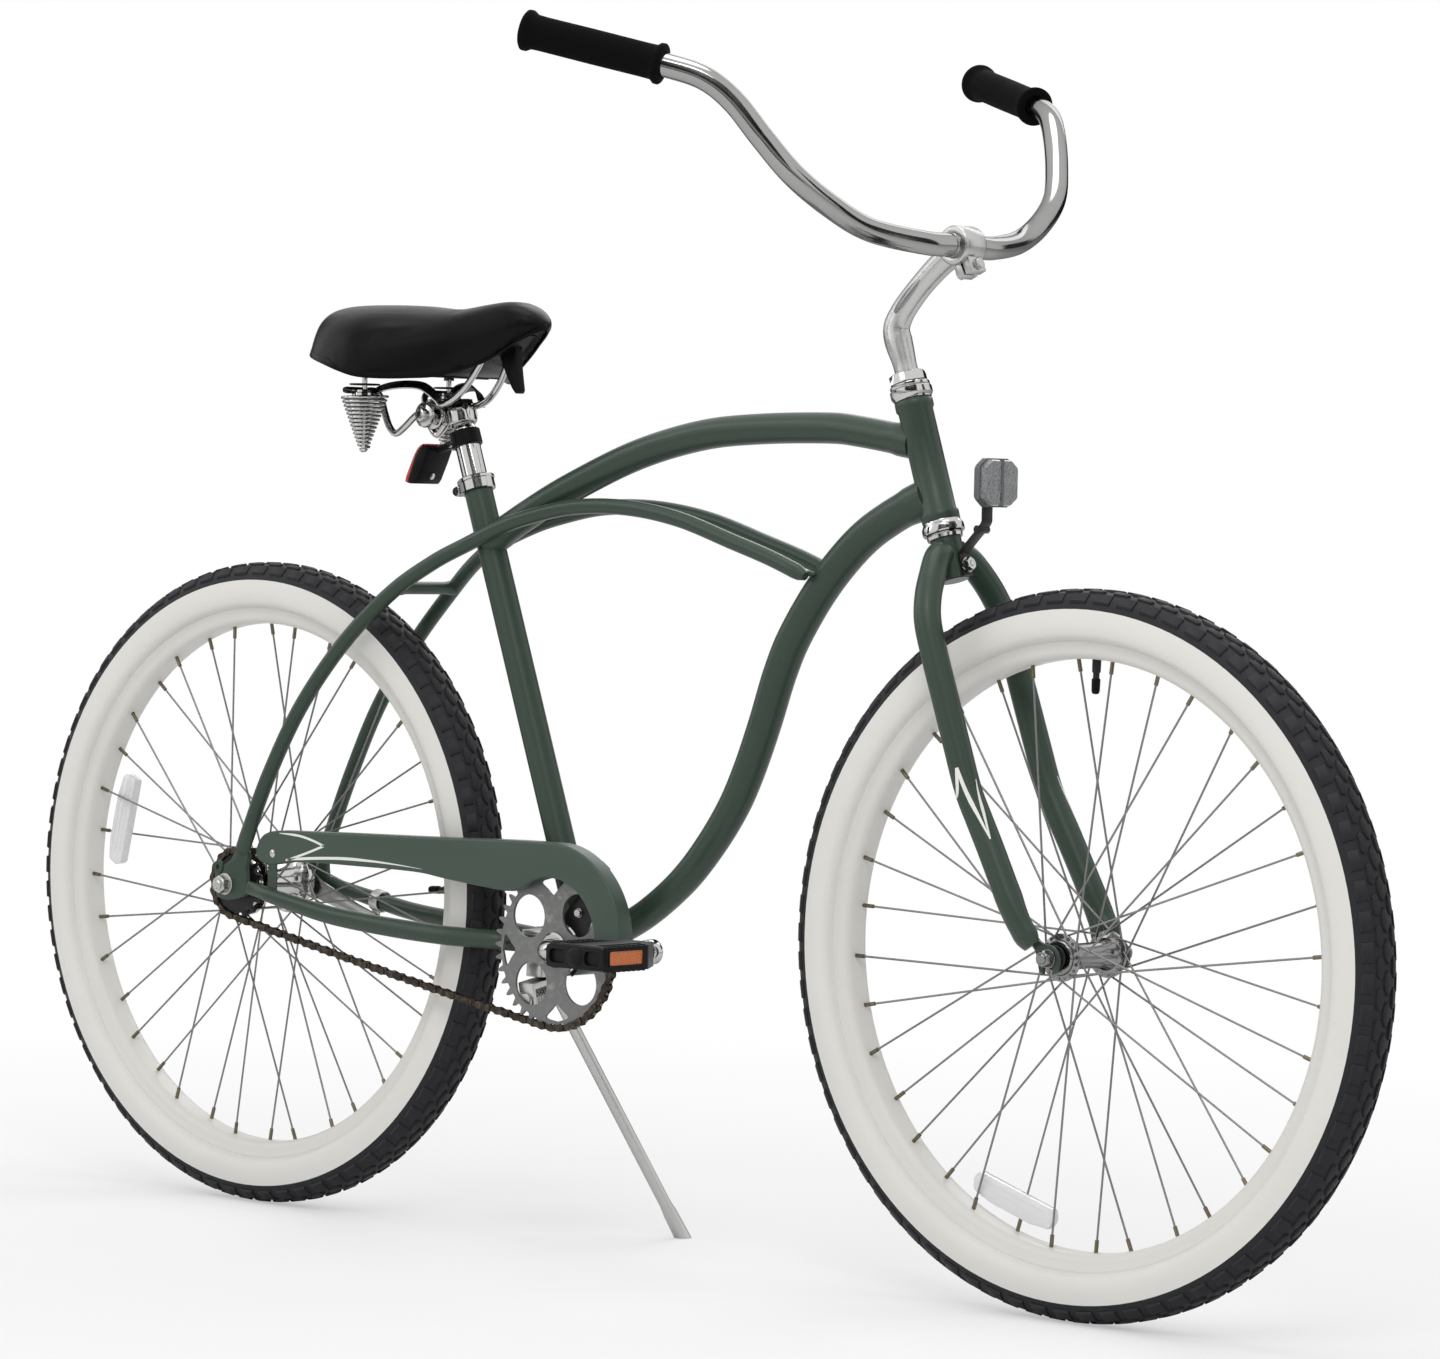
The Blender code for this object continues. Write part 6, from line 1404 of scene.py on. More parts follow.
@dataclass
class RearHub:
    """The coaster brake hub, its axle set and the brake's reaction arm with its clip."""

    centre: Triple = PLAN.rear
    flange_y: float = 0.029
    flange_r: float = 0.033
    drop_half: float = 0.055
    drop: float = 0.0052
    axle_r: float = 0.0047
    arm_end: Pair = (-0.428, 0.2985)
    arm_in: float = 0.0482
    arm_out: float = 0.0508
    arm_half: float = 0.0065
    disc_r: float = 0.0203
    stay_at: Triple = (-0.43, 0.0576, 0.3182)
    stay_way: Triple = (-0.04, 0.0008, 0.0065)

    def build(self) -> None:
        """Makes the shell, the axle set, the arm and its clip."""
        self.shell()
        self.axle()
        self.arm()
        self.clip()

    def shell(self) -> None:
        """The drum-shaped shell with its flanges and the brake's end cap."""
        y, r = self.flange_y, self.flange_r
        profile = [
            (-0.035, 0.0155), (-0.035, 0.0236), (-0.0342, 0.0246), (-y - 0.0024, 0.0262), (-y - 0.0015, 0.03),
            (-y - 0.0013, r - 0.0006), (-y - 0.0008, r), (-y + 0.0008, r), (-y + 0.0013, r - 0.0006),
            (-y + 0.0016, 0.029), (-y + 0.004, 0.0236), (-y + 0.009, 0.0216), (0.0, 0.021), (y - 0.009, 0.0216),
            (y - 0.004, 0.0236), (y - 0.0016, 0.029), (y - 0.0013, r - 0.0006), (y - 0.0008, r), (y + 0.0008, r),
            (y + 0.0013, r - 0.0006), (y + 0.0016, 0.0292), (y + 0.0042, 0.027), (0.0392, 0.0266), (0.0404, 0.0254),
            (0.0432, 0.025), (0.044, 0.024), (0.044, 0.0155),
        ]
        shape = Shape().lathe(profile, self.centre, Y_AXIS, 72, ring=True)
        piece(shape, "rear_hub_shell", [CHROME], "rear_wheel", ["rear_hub_spokes"], sharp=30.0)

    def axle(self) -> None:
        """The axle with its locknuts inside the rear ends and its nuts outside."""
        shape = Shape()
        centre = np.array(self.centre)
        for side, inner in ((-1, 0.048), (1, 0.0512)):
            way = Y_AXIS * side
            shape.using(1)
            nut(shape, centre + way * inner, way, 0.0078, self.drop_half - inner - 0.0004)
            shape.using(0)
            out = centre + way * (self.drop_half + self.drop + 0.0003)
            nut(shape, out, way, 0.0082, 0.0092, washer=0.011)
            threaded(shape, out + way * 0.0088, way, 0.0048, self.axle_r)
        cone = [
            (0.038, 0.0), (0.038, 0.0068), (0.04, 0.0138), (0.0435, 0.0138), (0.0445, 0.011), (0.048, 0.011),
            (0.048, 0.0),
        ]
        shape.using(1).lathe(cone, centre, Y_AXIS, 40)
        shape.using(0).rod(-0.06, 0.062, self.axle_r, centre, Y_AXIS, 20)
        piece(shape, "rear_axle_set", [ZINC, BLACK_METAL], "frame", ["rear_axle"], sharp=30.0)

    @property
    def arm_frame(self) -> tuple[np.ndarray, np.ndarray, float]:
        """The arm's own directions along and across, and its length."""
        end = np.array([self.arm_end[0], 0.0, self.arm_end[1]])
        way = end - np.array(self.centre)
        length = float(np.linalg.norm(way))
        way /= length
        return way, np.array([-way[2], 0.0, way[0]]), length

    def arm(self) -> None:
        """The pressed reaction arm: a round head, a waisted strap and a raised rib along it."""
        way, across, length = self.arm_frame
        outline = arc((0.0, 0.0), self.disc_r, 42.0, 318.0, 40)
        outline += [(0.03, -0.0098), (length - 0.03, -self.arm_half)]
        outline += arc((length - 0.002, 0.0), self.arm_half, -90.0, 90.0, 12)
        outline += [(length - 0.03, self.arm_half), (0.03, 0.0098)]
        holes = [circle((0.0, 0.0), 0.0056, 24), circle((length - 0.003, 0.0), 0.0032, 16)]
        base = np.array(self.centre) + Y_AXIS * self.arm_in
        shape = Shape().plate(outline, base, way, across, Y_AXIS * (self.arm_out - self.arm_in), holes)
        rib = rounded([(0.025, -0.0028), (length - 0.016, -0.0022), (length - 0.016, 0.0022), (0.025, 0.0028)], 0.002)
        raised = [(0.0, rib), (0.0008, [(x + (0.0006 if x < 0.03 else -0.0006), z * 0.7) for x, z in rib])]
        shape.slab(raised, base + Y_AXIS * (self.arm_out - self.arm_in), way, across, Y_AXIS)
        piece(shape, "coaster_arm", [SATIN], "frame", ["brake_arm"], bevel=0.0004, sharp=30.0)

    def clip(self) -> None:
        """The band round the stay with its two ears, bolt and nut."""
        way, _, length = self.arm_frame
        bolt = np.array(self.centre) + way * (length - 0.003)
        centre, along = np.array(self.stay_at), unit(self.stay_way)
        band = [(-0.006, 0.0101), (-0.006, 0.0114), (0.006, 0.0114), (0.006, 0.0101)]
        shape = Shape().lathe(band, centre, along, 48, ring=True)
        middle = 0.5 * (bolt[2] + centre[2]) - 0.0066
        shape.box((centre[0], self.arm_out + 0.0013, middle), (0.011, 0.0018, 0.0145))
        nut(shape, (bolt[0], self.arm_out + 0.002, bolt[2]), Y_AXIS, 0.0042, 0.0032)
        nut(shape, (bolt[0], self.arm_in - 0.0002, bolt[2]), -Y_AXIS, 0.0042, 0.003)
        shape.rod(-0.001, 0.008, 0.0025, (bolt[0], self.arm_in, bolt[2]), Y_AXIS, 16)
        piece(shape, "coaster_arm_clip", [ZINC], "frame", ["brake_arm_clip"], bevel=0.0003, sharp=30.0)


# Frame
@dataclass
class FrameTubes:
    """The welded frame: its tubes on their curves, with weld fillets, and the rear ends."""

    top_r: float = 0.0148
    twin_r: float = 0.0077
    seat_r: float = 0.0143
    head_r: float = 0.0165
    shell_r: float = 0.0265
    shell_half: float = 0.034
    bridge_at: Triple = (-0.315, 0.0, 0.6455)
    bridge_half: float = 0.04
    bridge_r: float = 0.0064
    weld: float = 0.0013
    weld_len: float = 0.0055
    drop_y: float = 0.055
    drop_t: float = 0.0052
    slot_r: float = 0.0054
    top_path: tuple[Pair, ...] = (
        (0.326, 0.7975), (0.26, 0.807), (0.218, 0.8103), (0.131, 0.8088), (0.057, 0.8022),
        (-0.0265, 0.7827), (-0.1117, 0.7506), (-0.17, 0.7235), (-0.2247, 0.6945),
    )
    down_path: tuple[Pair, ...] = (
        (0.345, 0.748), (0.3, 0.728), (0.26, 0.703), (0.218, 0.662), (0.183, 0.614),
        (0.164, 0.576), (0.1465, 0.528), (0.1275, 0.482), (0.108, 0.445), (0.08, 0.407),
        (0.047, 0.372), (0.005, 0.34), (-0.035, 0.318), (-0.08, 0.298),
    )
    twin_path: tuple[Triple, ...] = (
        (0.214, 0.0236, 0.67), (0.17, 0.0236, 0.686), (0.12, 0.0236, 0.701), (0.05, 0.0227, 0.721),
        (-0.02, 0.0218, 0.731), (-0.09, 0.0218, 0.7305), (-0.15, 0.0218, 0.72), (-0.19, 0.0216, 0.709),
        (-0.235, 0.0216, 0.6915), (-0.275, 0.03, 0.672), (-0.3218, 0.0425, 0.64), (-0.3799, 0.051, 0.5877),
        (-0.4358, 0.056, 0.5203), (-0.4777, 0.0592, 0.4483), (-0.505, 0.06, 0.39), (-0.5145, 0.06, 0.369),
    )
    stay_path: tuple[Triple, ...] = (
        (-0.095, 0.025, 0.299), (-0.13, 0.027, 0.299), (-0.17, 0.03, 0.2995), (-0.2, 0.0375, 0.3),
        (-0.235, 0.047, 0.301), (-0.3, 0.054, 0.3045), (-0.38, 0.0565, 0.3105), (-0.45, 0.058, 0.3215),
        (-0.506, 0.0585, 0.332),
    )

    def build(self) -> None:
        """Makes the tubes and the rear ends."""
        self.front_tubes()
        self.twins()
        self.stays()
        for side, name in SIDES:
            self.ends(side, name)

    def flared(self, path: np.ndarray, radius: np.ndarray, start: bool, end: bool, keep: float = 0.0) -> np.ndarray:
        """A tube's radii with a weld fillet where it meets another tube.

        Args:
            path: the centre line.
            radius: the plain radii.
            start: whether the start has a fillet.
            end: whether the end has one.
            keep: how far from each end of the path the other tube's surface lies.

        Returns:
            The radii.
        """
        run = run_of(path)
        grown = np.array(radius, float)
        for wanted, away in ((start, run), (end, run[-1] - run)):
            if wanted:
                grown += self.weld * np.exp(-((np.maximum(away - keep, 0.0) / self.weld_len) ** 2))
        return grown

    def front_tubes(self) -> None:
        """The head tube, top tube, down tube, seat tube and bottom bracket shell."""
        head = PLAN.head_high - PLAN.head_low
        rim = 0.0016
        profile = [
            (0.0, self.head_r - 0.0022), (0.0, self.head_r + 0.0004), (0.0012, self.head_r + rim),
            (0.008, self.head_r + rim), (0.0105, self.head_r), (head - 0.0105, self.head_r),
            (head - 0.008, self.head_r + rim), (head - 0.0012, self.head_r + rim), (head, self.head_r + 0.0004),
            (head, self.head_r - 0.0022),
        ]
        shape = Shape().lathe(profile, PLAN.steer(PLAN.head_low), PLAN.up, 56, ring=True)
        piece(shape, "frame_head_tube", [PAINT], "frame", ["head_tube"], sharp=50.0)
        count = 90
        top = natural([(x, 0.0, z) for x, z in self.top_path], count)
        shape = Shape().tube(top, self.flared(top, np.full(count, self.top_r), True, True, 0.0175), 40)
        piece(shape, "frame_top_tube", [PAINT], "frame", ["top_tube"])
        count = 110
        down = natural([(x, 0.0, z) for x, z in self.down_path], count)
        radii = shares(count, (0, 0.35, 0.6, 0.8, 1.0), (0.0168, 0.0165, 0.0158, 0.0145, 0.014))
        shape = Shape().tube(down, self.flared(down, radii, True, True, 0.024), 40)
        piece(shape, "frame_down_tube", [PAINT], "frame", ["down_tube"])
        rise = np.linspace(0.01, PLAN.seat_tube, 40)
        post = np.array([PLAN.seat(t) for t in rise])
        seat_r = self.seat_r + self.weld * np.exp(-((np.maximum(rise - 0.0262, 0.0) / self.weld_len) ** 2))
        seat_r[-1] -= 0.0004
        piece(Shape().tube(post, seat_r, 40), "frame_seat_tube", [PAINT], "frame", ["seat_tube"])
        r, h = self.shell_r, self.shell_half
        wall = [(-h, r - 0.003), (-h, r - 0.0008), (-h + 0.0008, r), (h - 0.0008, r), (h, r - 0.0008), (h, r - 0.003)]
        shape = Shape().lathe(wall, PLAN.bottom, Y_AXIS, 64, ring=True)
        piece(shape, "frame_bottom_shell", [PAINT], "frame", ["bottom_bracket_shell"], sharp=50.0)

    def twins(self) -> None:
        """The two slim tubes that run from the down tube past the seat tube to the rear ends, and their bridge."""
        count = 120
        left = natural(self.twin_path, count)
        for flip, name in SIDES:
            path = left * np.array([1.0, flip, 1.0])
            radii = np.full(count, self.twin_r)
            radii[0] = self.twin_r * 0.55
            radii[1] = self.twin_r * 0.92
            # the lower end is crimped flat onto the rear end
            flat = shares(count, (0.0, 0.955, 0.985, 1.0), (1.0, 1.0, 0.5, 0.42))
            wide = shares(count, (0.0, 0.955, 0.985, 1.0), (1.0, 1.0, 1.22, 1.18))
            tube = Shape().tube(path, radii * wide, 28, flat=flat, hint=Y_AXIS)
            piece(self.welds(tube, path), f"frame_twin_tube_{name}", [PAINT], "frame", [f"twin_tube_{name}"])
        count = 24
        ends = [np.array(self.bridge_at) + Y_AXIS * y for y in np.linspace(-self.bridge_half, self.bridge_half, count)]
        radii = self.flared(np.array(ends), np.full(count, self.bridge_r), True, True, 0.003)
        piece(Shape().tube(ends, radii, 28), "frame_stay_bridge", [PAINT], "frame", ["stay_bridge"])

    def welds(self, shape: Shape, path: np.ndarray) -> Shape:
        """Short beads where a slim tube is welded along the down, top and seat tubes."""
        count = 14
        for at in ((0.208, 0.673), (-0.055, 0.731), (-0.1985, 0.706)):
            near = path[np.argmin(np.linalg.norm(path[:, [0, 2]] - np.array(at), axis=1))]
            inward = -math.copysign(self.twin_r * 0.75, near[1]) * Y_AXIS
            bead = [near + inward + X_AXIS * s for s in np.linspace(-0.014, 0.014, count)]
            shape.tube(bead, 0.0032 * np.sqrt(np.clip(1.0 - np.linspace(-0.98, 0.98, count) ** 2, 0.05, 1.0)), 12)
        return shape

    def stays(self) -> None:
        """The chainstays, the right one with the guard's rear tab on it."""
        count = 80
        left = natural(self.stay_path, count)
        for flip, name in SIDES:
            path = left * np.array([1.0, flip, 1.0])
            radii = shares(count, (0.0, 0.45, 0.75, 1.0), (0.0095, 0.0098, 0.009, 0.007))
            flat = shares(count, (0.0, 0.93, 0.975, 1.0), (1.0, 1.0, 0.55, 0.45))
            shape = Shape().tube(path, self.flared(path, radii, True, False, 0.02), 30, flat=flat, hint=Y_AXIS)
            if flip < 0:
                shape.box((-0.4715, -0.0567, 0.35), (0.0126, 0.0015, 0.0456))
            piece(shape, f"frame_chainstay_{name}", [PAINT], "frame", [f"chainstay_{name}"])

    def ends(self, side: int, name: str) -> None:
        """A rear end: a thick plate with a slot that opens backwards and a boss for a rack.

        Args:
            side: 1 on the left and -1 on the right.
            name: the side's name.
        """
        ax, az = PLAN.rear[0], PLAN.rear[2]
        s = self.slot_r
        edge = [
            (0.008, 0.026), (0.0175, 0.0385), (0.0325, 0.0345), (0.03, 0.018), (0.0312, 0.006),
            (0.0308, -0.008), (0.018, -0.014), (0.0, -0.0162), (-0.013, -0.0136),
        ]
        lower = [(-0.016, -s)] + arc((0.0, 0.0), s, -90.0, 90.0, 12) + [(-0.016, s), (-0.0162, 0.011), (-0.008, 0.016)]
        outline = lower + natural(edge, 40).tolist()
        shape = Shape().plate(outline, (ax, side * self.drop_y, az), X_AXIS, Z_AXIS, Y_AXIS * side * self.drop_t)
        proud = self.drop_t + 0.0012
        boss = [
            (0.0026, 0.0), (0.0026, 0.0069), (self.drop_t + 0.0008, 0.0069), (proud, 0.0065), (proud, 0.0028),
            (0.004, 0.0026), (0.004, 0.0),
        ]
        shape.lathe(boss, (ax - 0.011, side * self.drop_y, az + 0.017), Y_AXIS * side, 32)
        piece(shape, f"frame_rear_end_{name}", [PAINT], "frame", [f"dropout_{name}"], bevel=0.0005, sharp=30.0)


@dataclass
class SmallFittings:
    """The bottom bracket's cups, the seat collar and the headset's rings."""

    shell_half: float = 0.034
    cup_r: float = 0.0262
    collar_r: float = 0.018
    collar_tall: float = 0.0145

    def build(self) -> None:
        """Makes each fitting."""
        self.cups()
        self.collar()
        self.headset()

    def cups(self) -> None:
        """The two pressed cups of the bottom bracket, each with a rolled lip."""
        for side, name, seat in ((-1, "right", 0.0022), (1, "left", 0.0003)):
            low, r = self.shell_half + seat, self.cup_r
            profile = [
                (0.0262, 0.018), (0.0262, 0.0224), (low, 0.0224), (low, r - 0.0004), (low + 0.0006, r),
                (0.0374, r - 0.0002), (0.0386, r - 0.0016), (0.0388, 0.0215), (0.038, 0.02), (0.0386, 0.018),
            ]
            shape = Shape().lathe(profile, PLAN.bottom, Y_AXIS * side, 64, ring=True)
            piece(shape, f"bottom_cup_{name}", [CHROME], "frame", [f"bb_cup_{name}"], sharp=30.0)

    def collar(self) -> None:
        """The seat collar: a rolled band with a lip, two ears behind, and its bolt and nut."""
        high = PLAN.seat_tube + 0.0005
        tall, r = self.collar_tall, self.collar_r
        middle = high - tall / 2
        shape = Shape()
        profile = [
            (-tall, 0.0146), (-tall, r - 0.0012), (-tall + 0.0008, r), (-0.004, r), (-0.0034, r + 0.001),
            (-0.0008, r + 0.001), (0.0, r + 0.0002), (0.0, 0.013),
        ]
        shape.lathe(profile, PLAN.seat(high), PLAN.seat_up, 56, ring=True)
        axes = (PLAN.seat_ahead, Y_AXIS, PLAN.seat_up)
        for y in (-0.0038, 0.0038):
            ear = rounded([(-0.0052, -0.0055), (0.006, -0.0055), (0.006, 0.0055), (-0.0052, 0.0055)], 0.0045)
            shape.slab([(0.0, ear), (0.0032, ear)], PLAN.seat(middle, -0.0198, y - 0.0016), axes[0], axes[2], Y_AXIS)
        bolt = PLAN.seat(middle, -0.0215)
        nut(shape, bolt - Y_AXIS * 0.0054, -Y_AXIS, 0.0044, 0.0046)
        shape.rod(-0.006, 0.006, 0.0026, bolt, Y_AXIS, 20)
        head = [(0.0054, 0.0), (0.0054, 0.005), (0.0072, 0.005), (0.0096, 0.0036), (0.0102, 0.0)]
        shape.lathe(head, bolt, Y_AXIS, 28)
        piece(shape, "seat_clamp_collar", [CHROME], "frame", ["seat_collar"], sharp=30.0)

    def headset(self) -> None:
        """The headset's cups and its locknut with a toothed washer under it."""
        low, high = PLAN.steer(PLAN.head_low), PLAN.steer(PLAN.head_high)
        lower = [
            (-0.0112, 0.015), (-0.0112, 0.0192), (-0.01, 0.02), (-0.0052, 0.02), (-0.0034, 0.0192),
            (-0.0014, 0.018), (-0.0003, 0.0178), (-0.0003, 0.015),
        ]
        shape = Shape().lathe(lower, low, PLAN.up, 64, ring=True)
        piece(shape, "headset_cup_low", [CHROME], "frame", ["headset_lower_cup"], sharp=30.0)
        upper = [
            (0.0003, 0.014), (0.0003, 0.0178), (0.0014, 0.018), (0.004, 0.0196), (0.005, 0.02), (0.0104, 0.02),
            (0.0115, 0.019), (0.0115, 0.014),
        ]
        shape = Shape().lathe(upper, high, PLAN.up, 64, ring=True)
        piece(shape, "headset_cup_high", [CHROME], "frame", ["headset_upper_cup"], sharp=30.0)
        ring = [(0.0119, 0.0), (0.0119, 0.0186), (0.0126, 0.019), (0.0148, 0.019), (0.0154, 0.0186), (0.0154, 0.0)]
        shape = Shape().lathe(ring, high, PLAN.up, 64)
        shape.using(1).rod(0.0156, 0.0166, 0.0178, high, PLAN.up, 40)
        nut(shape.using(0), PLAN.steer(PLAN.head_high + 0.0168), PLAN.up, 0.0163, 0.0095)
        piece(shape, "headset_top_nut", [CHROME, BLACK_METAL], "steering", ["headset_locknut"], sharp=30.0)


@dataclass
class Fork:
    """The fork: its crown stub, two curved blades with crimped tips, and the front reflector on its bracket."""

    stub_r: float = 0.0145
    tip_y: float = 0.05
    tip_t: float = 0.0035
    slot_r: float = 0.0054
    strap_half: float = 0.0068
    strap_t: float = 0.0022
    mirror_at: Triple = (0.423, 0.0, 0.761)
    mirror: Triple = (0.0156, 0.051, 0.045)
    blade_path: tuple[Triple, ...] = (
        (0.368, 0.008, 0.696), (0.3725, 0.0215, 0.6905), (0.3785, 0.035, 0.6755), (0.3845, 0.048, 0.656),
        (0.3917, 0.0565, 0.6327), (0.402, 0.058, 0.602), (0.4152, 0.0582, 0.565), (0.431, 0.0585, 0.521),
        (0.4457, 0.0588, 0.481), (0.46, 0.059, 0.454), (0.4743, 0.0597, 0.4289), (0.4928, 0.0608, 0.395),
        (0.5085, 0.0606, 0.3655), (0.5215, 0.056, 0.344),
    )

    # each stroke's (height, degrees forward round the blade) keys, and its half widths
    strokes: tuple[tuple[tuple[Pair, ...], Triple], ...] = (
        (((0.4845, -66.0), (0.4775, -54.0), (0.4825, -28.0), (0.5, -4.0)), (0.0008, 0.002, 0.0016)),
        (((0.5, -4.0), (0.4335, 32.0)), (0.0016, 0.002, 0.0006)),
        (((0.4335, 32.0), (0.4865, 66.0)), (0.0006, 0.0016, 0.0004)),
    )

    def build(self) -> None:
        """Makes the fork's pieces."""
        self.crown()
        for side, name in SIDES:
            self.blade(side, name)
        self.bracket()
        self.lens()

    def crown(self) -> None:
        """The steerer's lower end between the blades, with its race, and its threaded top."""
        low, foot = PLAN.head_low, PLAN.steer(0.0)
        stub = [
            (low - 0.057, 0.0), (low - 0.057, 0.013), (low - 0.0562, 0.0142), (low - 0.055, self.stub_r),
            (low - 0.0165, self.stub_r), (low - 0.0165, 0.0),
        ]
        race = [
            (low - 0.0165, 0.0), (low - 0.0165, 0.0166), (low - 0.0135, 0.0172), (low - 0.0118, 0.0166),
            (low - 0.0118, 0.0),
        ]
        shape = Shape().lathe(stub, foot, PLAN.up, 48)
        shape.using(1).lathe(race, foot, PLAN.up, 56)
        shape.rod(low - 0.012, PLAN.head_high + 0.0245, 0.0127, foot, PLAN.up, 32)
        piece(shape, "fork_stub", [PAINT, CHROME], "steering", ["steerer"], sharp=30.0)

    def blade(self, side: int, name: str) -> None:
        """One blade: round, then crimped flat and rounded above its slotted tip.

        Args:
            side: 1 on the left and -1 on the right.
            name: the side's name.
        """
        count = 100
        path = natural(self.blade_path, count) * np.array([1.0, side, 1.0])
        radii = shares(count, (0, 0.45, 0.85, 0.95, 0.985, 1.0), (0.0127, 0.0127, 0.0126, 0.0132, 0.015, 0.012))
        radii[0] = 0.009
        flat = shares(count, (0.0, 0.88, 0.97, 1.0), (1.0, 1.0, 0.7, 0.36))
        shape = Shape().tube(path, radii, 36, flat=flat, hint=Y_AXIS)
        ax, az, s = PLAN.front[0], PLAN.front[2], self.slot_r
        slot = [(s, -0.0143)] + arc((0.0, 0.0), s, 0.0, 180.0, 14) + [(-s, -0.0143)]
        edge = natural([(-0.0098, -0.0125), (-0.0122, -0.003), (-0.015, 0.006), (-0.024, 0.021), (-0.034, 0.038)], 20)
        front = natural([(-0.029, 0.041), (-0.012, 0.016), (0.005, 0.011), (0.0118, 0.0), (0.0096, -0.0125)], 22)
        outline = slot + edge.tolist() + front.tolist()
        shape.plate(outline, (ax, side * self.tip_y, az), X_AXIS, Z_AXIS, Y_AXIS * side * self.tip_t)
        piece(shape, f"fork_leg_{name}", [PAINT], "steering", [f"fork_blade_{name}"], sharp=34.0)
        self.line(path, radii, side, name)

    def line(self, path: np.ndarray, radii: np.ndarray, side: int, name: str) -> None:
        """The painted zigzag line on the blade's outer face, as thin strips that follow its round.

        Args:
            path: the blade's middle line.
            radii: the blade's radius at each of its points.
            side: 1 on the left and -1 on the right.
            name: the side's name.
        """
        out = np.array([0.35, 0.94 * side, 0.0])
        order = np.argsort(path[:, 2])
        shape, count = Shape(), 30
        for keys, widths in self.strokes:
            keys = natural(keys, count) if len(keys) > 2 else np.linspace(*keys, count)
            centres, normals = [], []
            for up, lean in keys:
                at = float(np.interp(up, path[order, 2], order))
                i = min(int(at), len(path) - 2)
                way = unit(path[i + 1] - path[i])
                face = unit(out - way * np.dot(out, way))
                turn = math.radians(lean)
                normals.append(face * math.cos(turn) + side * np.cross(way, face) * math.sin(turn))
                radius = np.interp(at, np.arange(len(path)), radii)
                centres.append(path[i] + (path[i + 1] - path[i]) * (at - i) + normals[-1] * radius)
            run = np.gradient(np.array(centres), axis=0)
            rings = []
            for spot, normal, way, half in zip(centres, normals, run, shares(count, (0.0, 0.5, 1.0), widths)):
                across = unit(np.cross(normal, way)) * half
                low, high = normal * -0.0003, normal * 0.0002
                rings.append([spot - across + low, spot + across + low, spot + across + high, spot - across + high])
            shape.loft(rings)
        piece(shape, f"fork_line_{name}", [STRIPE], "steering", sharp=30.0)

    def bracket(self) -> None:
        """The jointed reflector bracket: a foot under the crown bolt and an upright behind the reflector."""
        up = PLAN.head_low - 0.057
        foot = self.stub_r + 0.0006
        back = self.mirror_at[0] - self.mirror[0] / 2 - 0.001
        path = [
            PLAN.steer(up, foot + 0.0012), PLAN.steer(up + 0.018, foot + 0.0012), PLAN.steer(up + 0.0225, foot + 0.003),
            (back - 0.007, 0.0, self.mirror_at[2] - 0.043), (back - 0.0016, 0.0, self.mirror_at[2] - 0.036),
            (back - 0.0014, 0.0, self.mirror_at[2] - 0.03), (back - 0.0014, 0.0, self.mirror_at[2] - 0.004),
        ]
        line = natural(path, 40)
        way = np.gradient(line, axis=0)
        normal = np.array([unit(np.cross(w, Y_AXIS)) for w in way])
        rings = []
        for spot, out in zip(line, normal):
            wide, thick = Y_AXIS * self.strap_half, out * self.strap_t / 2
            rings.append([spot - wide - thick, spot + wide - thick, spot + wide + thick, spot - wide + thick])
        shape = Shape().loft(rings)
        joint = np.asarray(line[22])
        shape.rod(-0.0078, 0.0078, 0.0038, joint, Y_AXIS, 24)
        nut(shape.using(1), PLAN.steer(up + 0.01, foot + 0.0026), PLAN.ahead, 0.0058, 0.0048, washer=0.0074)
        threaded(shape, PLAN.steer(up + 0.01, foot + 0.0072), PLAN.ahead, 0.0024, 0.0031)
        piece(shape, "front_mirror_bracket", [BLACK_METAL, CHROME], "steering", ["front_reflector_bracket"],
              bevel=0.0003, sharp=34.0)

    def lens(self) -> None:
        """The clear reflector: a tray with slanted corners, a domed lens and its central rib."""
        deep, wide, tall = self.mirror
        x = self.mirror_at[0]
        corners = [
            (-wide / 2, -tall * 0.34), (-wide * 0.3, -tall / 2), (wide * 0.3, -tall / 2), (wide / 2, -tall * 0.34),
            (wide / 2, tall * 0.34), (wide * 0.3, tall / 2), (-wide * 0.3, tall / 2), (-wide / 2, tall * 0.34),
        ]
        full = rounded(corners, 0.004)
        shape = Shape().using(1)
        back = [(-deep / 2, [(a * 0.9, b * 0.9) for a, b in full]), (-deep * 0.3, full), (deep * 0.05, full)]
        shape.slab(back, self.mirror_at, Y_AXIS, Z_AXIS, X_AXIS)
        inner = [(a * 0.94, b * 0.94) for a, b in full]
        dome = [(deep * 0.05, inner), (deep * 0.3, inner), (deep * 0.44, [(a * 0.95, b * 0.95) for a, b in inner])]
        shape.using(0).slab(dome, self.mirror_at, Y_AXIS, Z_AXIS, X_AXIS)
        shape.using(1).box((x + deep * 0.3, 0.0, self.mirror_at[2]), (deep * 0.38, 0.0034, tall * 0.95))
        shape.box((x - deep * 0.3, 0.0, self.mirror_at[2]), (deep * 0.36, 0.015, tall * 0.5))
        piece(shape, "front_mirror_lens", [PRISM, GREY_PLASTIC], "steering", ["front_reflector"], sharp=30.0)


